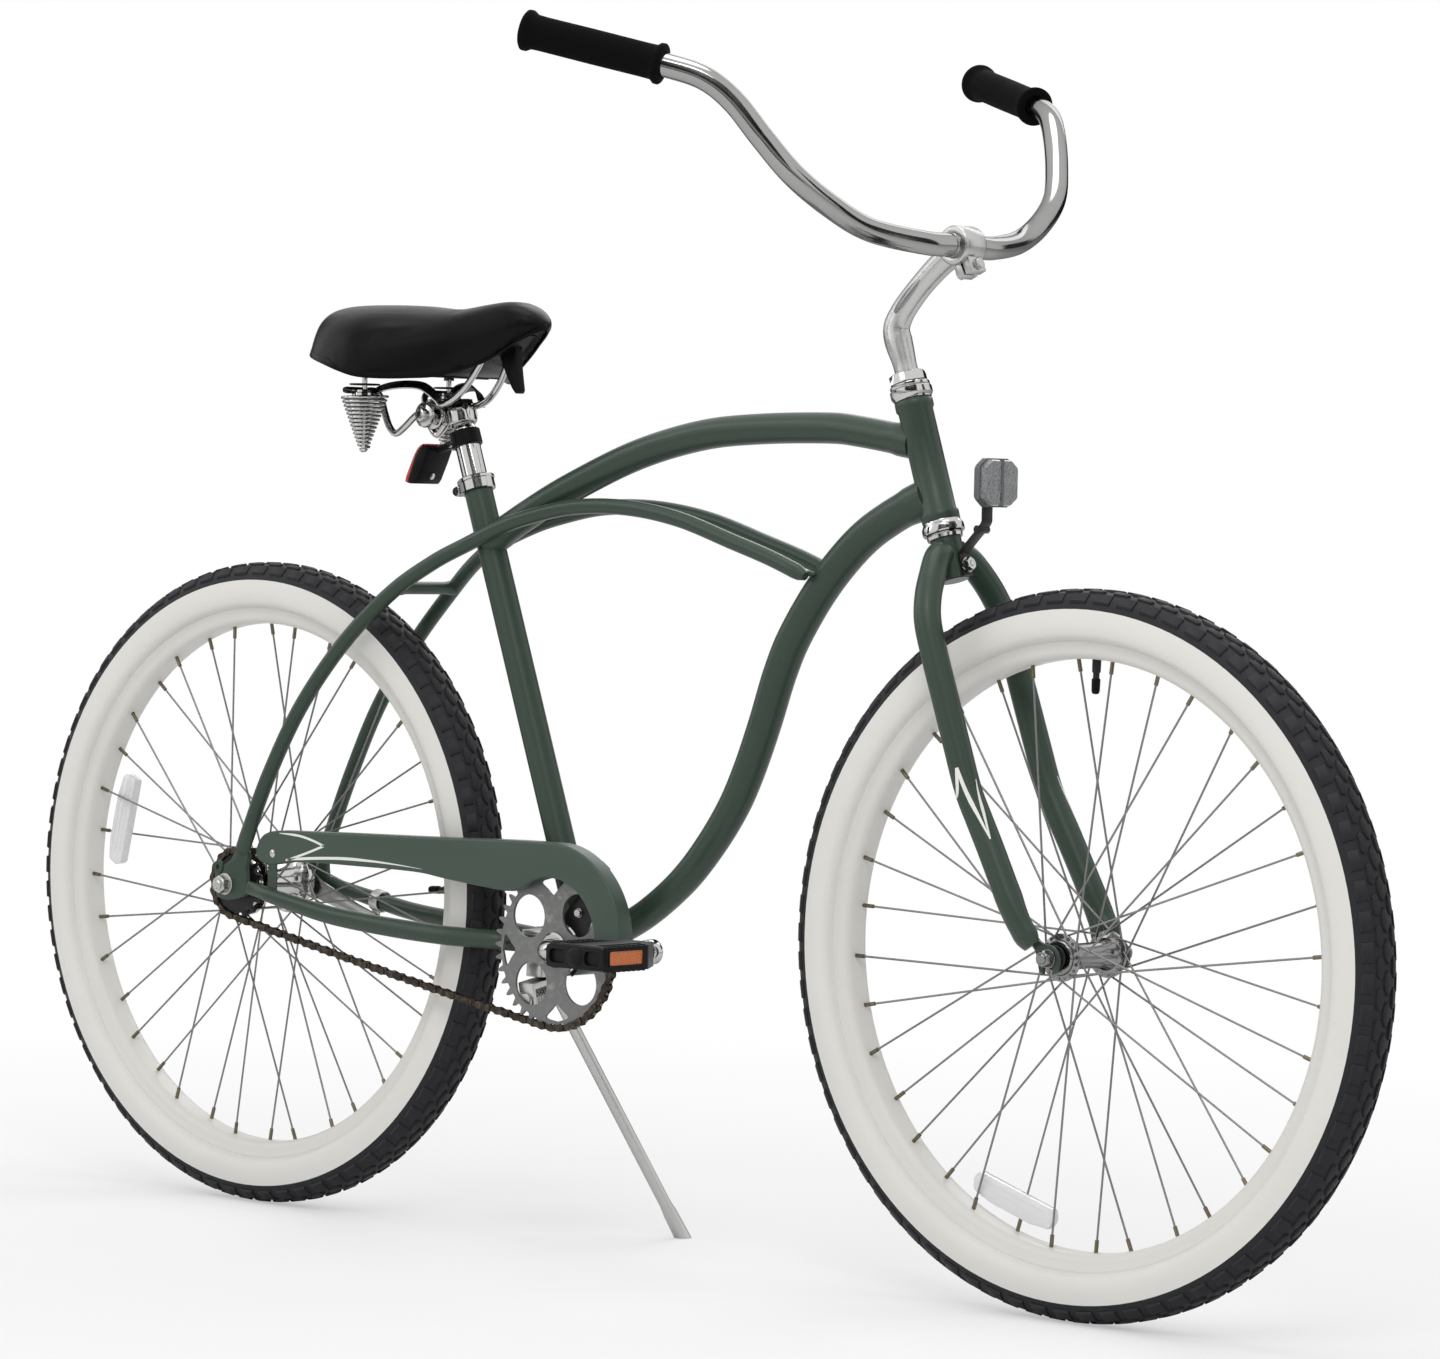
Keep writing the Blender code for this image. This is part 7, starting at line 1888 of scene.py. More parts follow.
@dataclass
class Cockpit:
    """The forged quill stem, the swept handlebar and its two foam grips."""

    clamp_up: float = 0.664
    clamp_ahead: float = 0.097
    clamp_half: float = 0.015
    bar_r: float = 0.0111
    grip_in: Triple = (0.2438, 0.27, 1.131)
    grip_out: Triple = (0.124, 0.327, 1.1632)
    stem_path: tuple[Pair, ...] = (
        (-0.174, 0.0), (-0.088, 0.0), (-0.062, -0.001), (-0.048, 0.0), (-0.038, 0.0085), (-0.0285, 0.0225),
        (-0.0175, 0.044), (-0.0075, 0.069), (-0.001, 0.093),
    )
    stem_radii: tuple[float, ...] = (0.0111, 0.0111, 0.012, 0.0135, 0.0135, 0.0122, 0.0115, 0.012, 0.013)
    bar_half: tuple[Triple, ...] = (
        (0.372, 0.05, 0.9797), (0.356, 0.108, 0.9885), (0.346, 0.152, 1.0075), (0.333, 0.19, 1.034),
        (0.316, 0.214, 1.066), (0.297, 0.233, 1.0985), (0.276, 0.25, 1.119),
    )

    def build(self) -> None:
        """Makes the stem, the bar and the grips."""
        self.stem()
        self.bar()
        for flip, name in SIDES:
            self.grip(flip, name)

    @property
    def clamp(self) -> np.ndarray:
        """The middle of the bar's clamp."""
        return PLAN.steer(self.clamp_up, self.clamp_ahead)

    def stem(self) -> None:
        """The quill, the forged neck with painted shade for a recess on each side, the clamp and its bolts."""
        count = 70
        path = natural([PLAN.steer(self.clamp_up + t, ahead) for t, ahead in self.stem_path], count)
        radii = shares(count, np.linspace(0.0, 1.0, len(self.stem_radii)), self.stem_radii)
        radii[: count * 4 // 9] = self.stem_radii[0]
        radii = np.convolve(np.pad(radii, 3, mode="edge"), np.ones(7) / 7, mode="valid")
        flat = shares(count, (0.0, 0.45, 0.6, 1.0), (1.0, 1.0, 0.86, 0.86))
        shape = Shape().tube(path, radii, 40, flat=flat, hint=Y_AXIS)
        r, h = 0.0184, self.clamp_half
        ring = [
            (-h, 0.0112), (-h, r - 0.0022), (-h + 0.001, r - 0.0008), (-h + 0.0028, r), (h - 0.0028, r),
            (h - 0.001, r - 0.0008), (h, r - 0.0022), (h, 0.0112),
        ]
        shape.lathe(ring, self.clamp, Y_AXIS, 64, ring=True)
        lug = unit((0.42, 0.0, -0.91))
        across = np.cross(lug, Y_AXIS)
        for part in (-1, 1):
            seat = self.clamp + lug * 0.02 + across * part * 0.0054
            shape.box(seat, (0.0196, 0.02, 0.0084), (lug, Y_AXIS, across))
        bolt = self.clamp + lug * 0.0235
        nut(shape, bolt + across * 0.0096, across, 0.005, 0.0048)
        shape.lathe([(-0.0136, 0.0), (-0.0136, 0.0052), (-0.0096, 0.0056), (-0.009, 0.0)], bolt, across, 28)
        shape.rod(-0.0095, 0.0095, 0.0032, bolt, across, 20)
        nut(shape, PLAN.steer(self.clamp_up - 0.038, 0.001), PLAN.up, 0.0056, 0.005, washer=0.0072)
        piece(shape, "quill_stem", [SATIN], "steering", ["stem"], bevel=0.0006, sharp=34.0)
        self.recess(path)

    def recess(self, path: np.ndarray) -> None:
        """Painted shade for the long recess on each side of the neck: a dark chrome strip laid on as a shallow inlay.
        """
        shape = Shape()
        for side in (-1, 1):
            line = path[40:56]
            spots = [p + Y_AXIS * side * 0.0098 for p in line]
            share = np.linspace(-1.0, 1.0, len(spots))
            shape.tube(spots, 0.0042 * np.sqrt(np.clip(1.0 - share**2, 0.02, 1.0)), 20, flat=0.28, hint=Y_AXIS)
        # dark strips laid on the neck as painted shade for its recesses
        piece(shape, "quill_stem_recess", [DARK_CHROME], "steering")

    def bar(self) -> None:
        """The handlebar on its curve, with the knurled sleeve in the clamp."""
        inward, outward = np.array(self.grip_in), np.array(self.grip_out)
        way = unit(outward - inward)
        spots = [self.clamp + Y_AXIS * 0.018] + [np.array(p) for p in self.bar_half] + [inward, inward + way * 0.05]
        curve = natural(spots, 90)
        curve = curve[(curve - inward) @ way < -0.002]
        left = np.vstack([curve, [inward, outward - way * 0.0045]])
        path = np.vstack([(left * MIRROR)[::-1], left])
        shape = Shape().tube(path, self.bar_r, 36, hint=Z_AXIS)
        sleeve = [(-0.019, 0.0), (-0.019, 0.0112), (-0.018, 0.0118), (0.018, 0.0118), (0.019, 0.0112), (0.019, 0.0)]
        shape.lathe(sleeve, self.clamp, Y_AXIS, 48)
        piece(shape, "swept_handlebar", [DEEP_CHROME], "steering", ["handlebar"])

    def grip(self, flip: int, name: str) -> None:
        """A foam grip with flared ends and a rounded cap.

        Args:
            flip: 1 on the left and -1 on the right.
            name: the side's name.
        """
        side = np.array([1.0, flip, 1.0])
        start, end = np.array(self.grip_in) * side, np.array(self.grip_out) * side
        length = float(np.linalg.norm(end - start))
        profile = [
            (0.0, 0.0112), (0.0, 0.0178), (0.0012, 0.0189), (0.003, 0.019), (0.0048, 0.0188), (0.0066, 0.0172),
            (0.0085, 0.016), (0.02, 0.0158), (length / 2, 0.016), (length - 0.02, 0.0158), (length - 0.011, 0.0161),
            (length - 0.0085, 0.0174), (length - 0.0062, 0.0188), (length - 0.0038, 0.019), (length - 0.0018, 0.0187),
            (length - 0.0004, 0.0168), (length, 0.012), (length, 0.0),
        ]
        shape = Shape().lathe([(0.0, 0.0)] + profile, start, end - start, 56)
        piece(shape, f"foam_grip_{name}", [FOAM], "steering", [f"grip_{name}"], sharp=60.0)


# Drivetrain
@dataclass
class ChainLine:
    """The chain's pitch line round both sprockets, with a nearly taut lower run and an even count of links."""

    ring_teeth: int = 38
    cog_teeth: int = 17
    sag: float = 0.002
    pins: np.ndarray = field(init=False)

    def __post_init__(self) -> None:
        """Settles the pins."""
        links = 2 * int(self.centres / PLAN.pitch)
        while self.march(PLAN.pitch, links)[1] < 0:
            links += 2
        low, high = 0.98 * PLAN.pitch, PLAN.pitch
        for _ in range(30):
            mid = 0.5 * (low + high)
            if self.march(mid, links)[1] > 0:
                high = mid
            else:
                low = mid
        self.pins = self.march(high, links)[0]

    @property
    def ring_r(self) -> float:
        """The chainring's pitch radius."""
        return PLAN.pitch / (2 * math.sin(math.pi / self.ring_teeth))

    @property
    def cog_r(self) -> float:
        """The rear cog's pitch radius."""
        return PLAN.pitch / (2 * math.sin(math.pi / self.cog_teeth))

    @property
    def bottom(self) -> np.ndarray:
        """The ring's middle, seen from the side."""
        return np.array([PLAN.bottom[0], PLAN.bottom[2]])

    @property
    def rear(self) -> np.ndarray:
        """The cog's middle, seen from the side."""
        return np.array([PLAN.rear[0], PLAN.rear[2]])

    @property
    def centres(self) -> float:
        """The distance between the two middles."""
        return float(np.linalg.norm(self.rear - self.bottom))

    @property
    def ring_phase(self) -> float:
        """The angle of a valley of the ring."""
        return math.atan2(*(self.pins[0] - self.bottom)[::-1])

    @property
    def cog_phase(self) -> float:
        """The angle of a valley of the cog."""
        behind = [p for p in self.pins if p[0] < self.rear[0] - 0.4 * self.cog_r]
        return math.atan2(*(behind[len(behind) // 2] - self.rear)[::-1])

    def curve(self) -> np.ndarray:
        """The pitch line as a dense closed polyline in (x, z), from the ring's front."""
        back = (self.rear - self.bottom) / self.centres
        tilt = math.atan2(back[1], back[0])
        spread = math.acos((self.ring_r - self.cog_r) / self.centres)
        top, low = tilt - spread, tilt + spread
        turns = np.linspace(low - TAU, top, 400)
        over = self.bottom + self.ring_r * np.stack([np.cos(turns), np.sin(turns)], 1)
        turns = np.linspace(top, low, 200)
        round_cog = self.rear + self.cog_r * np.stack([np.cos(turns), np.sin(turns)], 1)
        s = np.linspace(0.0, 1.0, 200)[1:-1, None]
        upper = over[-1] + s * (round_cog[0] - over[-1])
        run = over[0] - round_cog[-1]
        normal = np.array([run[1], -run[0]]) / np.linalg.norm(run)
        normal = -normal if normal[1] > 0 else normal
        return np.vstack([over, upper, round_cog, round_cog[-1] + s * run + normal * self.sag * 4 * s * (1 - s)])

    def march(self, pitch: float, links: int) -> tuple[np.ndarray, float]:
        """Pins one pitch apart along the pitch line.

        Args:
            pitch: the distance between two pins.
            links: how many links to lay.

        Returns:
            The pins, and how far the last link ends past the first pin.
        """
        line = self.curve()
        closed = np.vstack([line, line, line[:1]])
        run = run_of(closed)
        pins = [closed[0]]
        i, where = 0, 0.0
        for _ in range(links):
            here = pins[-1]
            while np.linalg.norm(closed[i + 1] - here) < pitch:
                i += 1
            low, high = 0.0, 1.0
            for _ in range(30):
                mid = 0.5 * (low + high)
                if np.linalg.norm(closed[i] + mid * (closed[i + 1] - closed[i]) - here) < pitch:
                    low = mid
                else:
                    high = mid
            pins.append(closed[i] + high * (closed[i + 1] - closed[i]))
            where = run[i] + high * (run[i + 1] - run[i])
        return np.array(pins[:-1]), where - run[len(line)]


def toothed(count: int, pitch_r: float, phase: float) -> list[Pair]:
    """The outline of a sprocket whose round valleys sit at the pins.

    Args:
        count: its teeth.
        pitch_r: its pitch radius.
        phase: the angle of one valley.

    Returns:
        The outline.
    """
    half, floor = math.pi / count, pitch_r - 0.0041
    tooth = ((-0.46, floor + 0.0003), (-0.2, floor), (0.2, floor), (0.46, floor + 0.0003), (0.66, pitch_r + 0.0002),
             (0.82, pitch_r + 0.003), (0.92, pitch_r + 0.0038), (1.08, pitch_r + 0.0038), (1.18, pitch_r + 0.003),
             (1.34, pitch_r + 0.0002))
    return [
        (r * math.cos(phase + (2 * k + turn) * half), r * math.sin(phase + (2 * k + turn) * half))
        for k in range(count) for turn, r in tooth
    ]


@dataclass
class Drivetrain:
    """The chainring, the rear cog, the chain, the one-piece crank with its pedal spindles, and both pedals."""

    line: ChainLine = field(default_factory=ChainLine)
    plate_t: float = 0.0028
    link_tall: float = 0.0038
    pedal_y: float = 0.086
    eye_t: float = 0.013

    def build(self) -> None:
        """Makes the parts of the drive."""
        self.ring()
        self.cog()
        self.chain()
        self.crank()
        for side, name in SIDES[::-1]:
            self.spindle(side, name)
            Pedal(name, side, PLAN.crank(-side * PLAN.crank_len, 0.0)).build()

    def ring(self) -> None:
        """The toothed ring with its four round windows and the small ones between them."""
        holes = []
        for k in range(4):
            mid = math.radians(45 + 90 * k) + PLAN.crank_angle
            holes.append(circle((0.047 * math.cos(mid), 0.047 * math.sin(mid)), 0.0212, 40))
            mid = math.radians(90 * k) + PLAN.crank_angle
            corners = [(0.0692, -0.26), (0.0706, 0.0), (0.0692, 0.26), (0.059, 0.115), (0.052, 0.0), (0.059, -0.115)]
            spots = [(r * math.cos(mid + a), r * math.sin(mid + a)) for r, a in corners]
            holes.append(rounded(spots, 0.0045, 6))
        holes.append(circle((0.0, 0.0), 0.0125, 32))
        outline = toothed(self.line.ring_teeth, self.line.ring_r, self.line.ring_phase)
        base = np.array(PLAN.bottom) + Y_AXIS * (PLAN.chain_y - self.plate_t / 2)
        shape = Shape().plate(outline, base, X_AXIS, Z_AXIS, Y_AXIS * self.plate_t, holes)
        lug = PLAN.crank(0.026, PLAN.chain_y - self.plate_t / 2)
        shape.lathe([(-0.001, 0.0), (0.0, 0.0046), (0.0045, 0.0046), (0.0052, 0.004), (0.0052, 0.0)], lug, -Y_AXIS, 24)
        piece(shape, "chainring_plate", [RING_GREY], "crank", ["chainring"], bevel=0.0003, segments=1, sharp=30.0)

    def cog(self) -> None:
        """The rear cog on its driver, with a dished face and a snap ring."""
        base = np.array(PLAN.rear) + Y_AXIS * (PLAN.chain_y - self.plate_t / 2)
        outline = toothed(self.line.cog_teeth, self.line.cog_r, self.line.cog_phase)
        shape = Shape().plate(outline, base, X_AXIS, Z_AXIS, Y_AXIS * self.plate_t, [circle((0.0, 0.0), 0.0138, 40)])
        driver = [
            (-0.0472, 0.0072), (-0.0472, 0.012), (-0.0466, 0.0128), (-0.0458, 0.0128), (-0.0452, 0.0142),
            (-0.0444, 0.0142), (-0.033, 0.0142), (-0.033, 0.0072),
        ]
        shape.lathe(driver, PLAN.rear, Y_AXIS, 48, ring=True)
        piece(
            shape, "rear_cog", [BLACK_METAL], "rear_sprocket", ["rear_sprocket"], bevel=0.0003, segments=1, sharp=30.0,
        )

    def link_shape(self, outer: bool) -> Shape:
        """One link about the origin, along X: two waisted plates, with rollers on the inner kind, pins on the outer.

        Args:
            outer: whether it is the outer kind.

        Returns:
            The link.
        """
        low, high = (0.0031, 0.0041) if outer else (0.002, 0.003)
        tall = self.link_tall if outer else self.link_tall * 0.92
        half = PLAN.pitch / 2
        outline = arc((half, 0.0), tall, -100.0, 100.0, 7)
        outline += [(0.0, tall * 0.68)] + arc((-half, 0.0), tall, 80.0, 280.0, 7) + [(0.0, -tall * 0.68)]
        shape = Shape()
        for side in (-1, 1):
            shape.plate(outline, Y_AXIS * side * low, X_AXIS, Z_AXIS, Y_AXIS * side * (high - low))
        for end in (-half, half):
            if outer:
                pin = [(0.0041, 0.0018), (0.0045, 0.0013), (0.0045, 0.0)]
                shape.lathe([(-y, r) for y, r in pin[::-1]] + pin, X_AXIS * end, Y_AXIS, 10)
            else:
                shape.rod(-0.002, 0.002, 0.0036, X_AXIS * end, Y_AXIS, 12)
        return shape

    def chain(self) -> None:
        """The chain: outer and inner links placed by turns along the pitch line."""
        pins = self.line.pins
        ahead = np.roll(pins, -1, axis=0)
        middles, ways = 0.5 * (pins + ahead), ahead - pins
        grown = []
        for outer, label in ((True, "outer"), (False, "inner")):
            pick = slice(1, None, 2) if outer else slice(0, None, 2)
            spots = [(x, PLAN.chain_y, z) for x, z in middles[pick]]
            headings = [math.atan2(-dz, dx) for dx, dz in ways[pick]]
            part = part_object(self.link_shape(outer), f"link_{label}")
            base = spot_mesh(f"spots_{label}", spots, headings)
            grown.append(PLACED.grow(f"links_{label}", CHAIN, base=base, Part=part))
            bpy.data.objects.remove(part, do_unlink=True)
        enrol(merged("roller_chain", grown), "frame", ["chain"])

    def crank(self) -> None:
        """The forged one-piece crank with its cones, eyes and locknut."""
        along = unit((0.045, 0.006))
        y0, reach = 0.0605, 0.015
        half = [
            (PLAN.crank_len - 0.004, self.pedal_y), (0.13, self.pedal_y - 0.002), (0.09, 0.076),
            (0.055, y0 + 0.0075), (0.022, y0 + 0.022 * along[1] / along[0]),
        ]
        start, end = np.array([0.0, y0]) + along * reach, np.array([0.0, y0 - reach])
        for s in np.linspace(0.0, 1.0, 9):
            half.append(tuple((1 - s) ** 2 * start + 2 * s * (1 - s) * np.array([0.0, y0]) + s * s * end))
        full = [(-a, y) for a, y in half] + [(a, -y) for a, y in half[::-1]]
        path = natural([PLAN.crank(a, y) for a, y in full], 150)
        run = np.abs((path - np.array(PLAN.bottom)) @ unit(PLAN.crank(1.0, 0.0) - np.array(PLAN.bottom)))
        radii = np.interp(run, (0.0, 0.01, 0.022, 0.055, 0.13, 0.161), (0.011, 0.011, 0.0105, 0.0094, 0.0088, 0.0095))
        flat = np.interp(run, (0.0, 0.012, 0.03, 0.055, 0.13, 0.161), (1.0, 1.0, 0.93, 0.85, 0.78, 0.72))
        shape = Shape().tube(path, radii, 32, flat=flat, hint=Y_AXIS)
        core = 0.009
        for profile in (
            [(-0.0485, core), (-0.0485, 0.015), (-0.047, 0.017), (-0.0452, 0.017), (-0.0452, core)],
            [(-0.0418, core), (-0.0418, 0.0152), (-0.041, 0.016), (-0.0398, 0.016), (-0.0392, 0.015), (-0.0392, core)],
            [(0.0392, core), (0.0392, 0.015), (0.04, 0.016), (0.0416, 0.016), (0.0425, 0.015), (0.0425, core)],
        ):
            shape.lathe(profile, PLAN.bottom, Y_AXIS, 56, ring=True)
        nut(shape, np.array(PLAN.bottom) + Y_AXIS * 0.0426, Y_AXIS, 0.015, 0.0044)
        for sign in (-1, 1):
            eye = PLAN.crank(-sign * PLAN.crank_len, sign * self.pedal_y)
            t = self.eye_t / 2
            rim = [(t - 0.0016, 0.012), (t - 0.0006, 0.0114), (t, 0.0104), (t, 0.0)]
            shape.lathe([(-y, r) for y, r in rim[::-1]] + rim, eye, Y_AXIS * sign, 48)
        piece(shape, "one_piece_crank", [CHROME], "crank", ["crank"], sharp=32.0)

    def spindle(self, side: int, name: str) -> None:
        """A pedal's spindle: its threaded end in the eye, the flats for a spanner and the shaft.

        Args:
            side: 1 on the left and -1 on the right.
            name: the side's name.
        """
        eye = PLAN.crank(-side * PLAN.crank_len, 0.0)
        a, b = self.pedal_y - self.eye_t / 2, self.pedal_y + self.eye_t / 2
        end = [(a - 0.001, 0.0), (a - 0.001, 0.0056), (a - 0.0002, 0.0064), (a + 0.002, 0.0064), (a + 0.002, 0.0)]
        shaft = [
            (b + 0.0003, 0.0), (b + 0.0003, 0.0092), (b + 0.0012, 0.0092), (b + 0.003, 0.0074), (b + 0.005, 0.0064),
            (b + 0.007, 0.006), (b + 0.007, 0.0),
        ]
        shape = Shape().lathe(end, eye, Y_AXIS * side, 32).lathe(shaft, eye, Y_AXIS * side, 32)
        piece(shape, f"pedal_axle_{name}", [CHROME], "crank", [f"pedal_spindle_{name}"], sharp=30.0)


@dataclass
class Pedal:
    """A resin pedal: two bars about a hub, windows between them, treads and an amber reflector on each bar."""

    name: str
    side: int
    hub: np.ndarray
    inner: float = 0.099
    outer: float = 0.188
    cap: float = 0.191
    half_long: float = 0.038
    half_tall: float = 0.0114
    shoulder: float = 0.13

    def build(self) -> None:
        """Makes the body with its treads, then the reflectors."""
        body = f"pedal_{self.name}"
        shape = Shape()
        hl, ht = self.half_long, self.half_tall
        plan = [
            (-hl, self.outer), (hl, self.outer), (hl, self.shoulder), (0.017, self.inner), (-0.017, self.inner),
            (-hl, self.shoulder),
        ]
        front = rounded([(0.0135, 0.179), (0.0285, 0.179), (0.0285, 0.133), (0.0135, 0.112)], 0.003)
        back = [(-x, y) for x, y in front]
        base = self.hub - Z_AXIS * ht
        shape.plate(rounded(plan, 0.006), base, X_AXIS, Y_AXIS * self.side, Z_AXIS * 2 * ht, [front, back])
        self.cover(shape)
        for x in (-0.0333, 0.0333):
            for y in np.arange(self.shoulder + 0.004, self.outer - 0.004, 0.0068):
                for z in (-1, 1):
                    spot = self.hub + X_AXIS * x + Y_AXIS * self.side * y + Z_AXIS * z * (ht + 0.0002)
                    shape.box(spot, (0.007, 0.003, 0.0018))
        for x in (-0.021, 0.021):
            for y in (0.13, 0.147, 0.164):
                shape.box(self.hub + X_AXIS * x + Y_AXIS * self.side * y, (0.016, 0.0022, 2 * ht * 0.7))
        piece(shape, f"{body}_body", [RESIN], body, [body], bevel=0.0007, segments=2, sharp=34.0)
        self.lenses(body)

    def cover(self, shape: Shape) -> None:
        """The end cap with its two recesses and the round dust cover over the spindle."""
        hl, ht = self.half_long - 0.0012, self.half_tall - 0.0006
        edge = pad(hl, ht, 0.005)
        hole = rounded([(0.0125, -0.0066), (0.0325, -0.0066), (0.0325, 0.0066), (0.0125, 0.0066)], 0.0048)
        seat = self.hub + Y_AXIS * self.side * (self.outer - 0.0006)
        holes = [hole, [(-x, z) for x, z in hole]]
        shape.plate(edge, seat, X_AXIS, Z_AXIS, Y_AXIS * self.side * (self.cap - self.outer + 0.0006), holes)
        dome = [(0.0, 0.01), (0.0026, 0.01), (0.0044, 0.0092), (0.0056, 0.007), (0.0059, 0.0)]
        shape.lathe(dome, seat, Y_AXIS * self.side, 40)

    def lenses(self, body: str) -> None:
        """The amber reflectors, one on each bar, each in its own dark surround."""
        middle = 0.5 * (self.shoulder + 0.008 + self.outer - 0.004)
        for x, label in ((1, "front"), (-1, "rear")):
            seat = self.hub + X_AXIS * x * (self.half_long - 0.0006) + Y_AXIS * self.side * middle + Z_AXIS * 0.0008
            lens, rim = pad(0.0226, 0.0066, 0.002), pad(0.024, 0.0082, 0.0024)
            shape = Shape().using(0).plate(lens, seat, Y_AXIS, Z_AXIS, X_AXIS * x * 0.0009)
            shape.using(1).plate(rim, seat, Y_AXIS, Z_AXIS, X_AXIS * x * 0.0016, [lens])
            piece(shape, f"{body}_lens_{label}", [AMBER, RESIN], body, sharp=30.0)


@dataclass
class Guard:
    """The chainguard: a pressed tray with a rolled edge, its painted line, its bracket and screws."""

    face_y: float = -0.059
    depth: float = 0.018
    shallow: float = 0.0075
    wall: float = 0.0012
    roll: float = 0.0026
    centre: Pair = (-0.075, 0.309)
    radius: float = 0.0935
    inner_centre: Pair = (-0.078, 0.307)
    inner_r: float = 0.061
    bracket_turn: float = 55.25
    plate_y: float = -0.0359
    high: tuple[Pair, ...] = ((-0.0783, 0.4024), (-0.13, 0.402), (-0.22, 0.3993), (-0.36, 0.3958), (-0.464, 0.3928))
    tail: tuple[Pair, ...] = ((-0.476, 0.3912), (-0.486, 0.3868), (-0.4928, 0.3785), (-0.4958, 0.3695),
                              (-0.493, 0.3622), (-0.484, 0.3578))
    low: tuple[Pair, ...] = ((-0.47, 0.3572), (-0.428, 0.3625), (-0.35, 0.3632), (-0.265, 0.3625),
                             (-0.219, 0.358), (-0.15, 0.352), (-0.129, 0.352))
    arrow: tuple[Pair, ...] = ((-0.46, 0.3905), (-0.4315, 0.3894), (-0.411, 0.3856), (-0.3946, 0.381),
                               (-0.4202, 0.3721), (-0.45, 0.3628))
    sweep: tuple[Pair, ...] = ((-0.45, 0.364), (-0.4093, 0.3676), (-0.3665, 0.3699), (-0.3242, 0.3697),
                               (-0.2864, 0.3682), (-0.2531, 0.3661))

    def build(self) -> None:
        """Makes the tray, the line, the bracket and the screws."""
        self.tray()
        self.stripe()
        self.bracket()
        self.screws()

    def tray(self) -> None:
        """The tray: its flange is deep round the front, the top and the tail, and shallow along the bottom."""
        front = arc(self.centre, self.radius, -13.0, 92.0, 60)
        high = natural(self.high, 30).tolist()[1:]
        tail = natural(self.tail, 24).tolist()
        low = natural(self.low, 60).tolist()
        back = arc(self.inner_centre, self.inner_r, 126.0, -16.0, 60)
        outline = [tuple(p) for p in front + high + tail + low + back]
        n_low, n_back = len(low), len(back)
        deep = np.full(len(outline), self.depth)
        deep[-n_low - n_back :] = self.shallow
        deep[-n_back:] = self.roll
        fade = 10
        for start, first, last in (
            (-n_low - n_back - fade, self.depth, self.shallow), (-n_back - 2, self.shallow, self.roll),
        ):
            deep[start : start + fade] = np.interp(np.arange(fade), (0, fade - 1), (first, last))
        deep[0] = deep[-1] = self.roll
        deep[1] = 0.008

        def ring(by: float, y: float | np.ndarray) -> np.ndarray:
            """The outline moved inwards, at a height for each point."""
            flat = np.asarray(inset(outline, by))
            return np.stack([flat[:, 0], np.broadcast_to(y, len(flat)), flat[:, 1]], axis=1)

        face, roll, wall = self.face_y, self.roll, self.wall
        turn = [math.radians(a) for a in (0.0, 22.5, 45.0, 67.5, 90.0)]
        rings = [ring(roll * (1 - math.sin(a)), face + np.minimum(roll * (1 - math.cos(a)), deep)) for a in turn]
        rings += [ring(0.0, face + deep), ring(wall, face + deep), ring(wall, face + np.minimum(wall + 0.0008, deep))]
        rings.append(ring(wall + 0.001, face + wall))
        piece(Shape().loft(rings), "guard_tray", [GUARD_PAINT], "frame", ["chainguard"], sharp=50.0)

    def ribbon(self, shape: Shape, path: Points, half: Sequence[float]) -> None:
        """A painted line on the guard's face, as a very thin strip.

        Args:
            shape: what it is added to.
            path: its middle, in (x, z) pairs.
            half: half its width at each point.
        """
        line = np.asarray(path, float)
        side = leftward(np.gradient(line, axis=0)) * np.asarray(half)[:, None]
        edge = np.vstack([line - side, (line + side)[::-1]])
        shape.plate([tuple(p) for p in edge], Y_AXIS * (self.face_y + 0.0001), X_AXIS, Z_AXIS, -Y_AXIS * 0.00022)

    def stripe(self) -> None:
        """The white line: an arrow head at the tail and a long tapering stroke along the bottom."""
        shape = Shape()
        upper = natural(self.arrow[:4], 24)
        lower = natural(self.arrow[3:], 20)
        self.ribbon(shape, upper, shares(24, (0.0, 0.3, 1.0), (0.0003, 0.0012, 0.0012)))
        self.ribbon(shape, lower, shares(20, (0.0, 0.8, 1.0), (0.0012, 0.0012, 0.0005)))
        self.ribbon(shape, natural(self.sweep, 50), shares(50, (0.0, 0.1, 0.5, 1.0), (0.0005, 0.0014, 0.0015, 0.0001)))
        piece(shape, "guard_line", [STRIPE], "frame", sharp=30.0)

    def bracket(self) -> None:
        """The dark bracket under the right cup and the tab that carries the guard's rim."""
        bx, bz = PLAN.bottom[0], PLAN.bottom[2]
        a = math.radians(self.bracket_turn)
        out, side = np.array([math.cos(a), math.sin(a)]), np.array([-math.sin(a), math.cos(a)])
        spot = np.array(self.centre) + out * (self.radius - 0.0045)
        neck = [tuple(spot - side * 0.0072), tuple(spot + side * 0.0072)]
        outline = arc((bx, bz), 0.03, -60.0, 15.0, 16) + neck
        outline += arc((bx, bz), 0.03, 90.0, 115.0, 8) + arc((bx, bz), 0.0242, 115.0, -60.0, 30)
        thick = 0.0015
        shape = Shape().plate(outline, Y_AXIS * self.plate_y, X_AXIS, Z_AXIS, Y_AXIS * thick)
        middle = 0.5 * (self.plate_y + self.face_y) + 0.0055
        axes = (np.array([out[0], 0.0, out[1]]), Y_AXIS, np.array([side[0], 0.0, side[1]]))
        shape.box((spot[0] - out[0] * 0.0002, middle, spot[1] - out[1] * 0.0002), (0.0032, 0.014, 0.012), axes)
        piece(shape, "guard_bracket", [BLACK_METAL], "frame", bevel=0.0003, sharp=30.0)

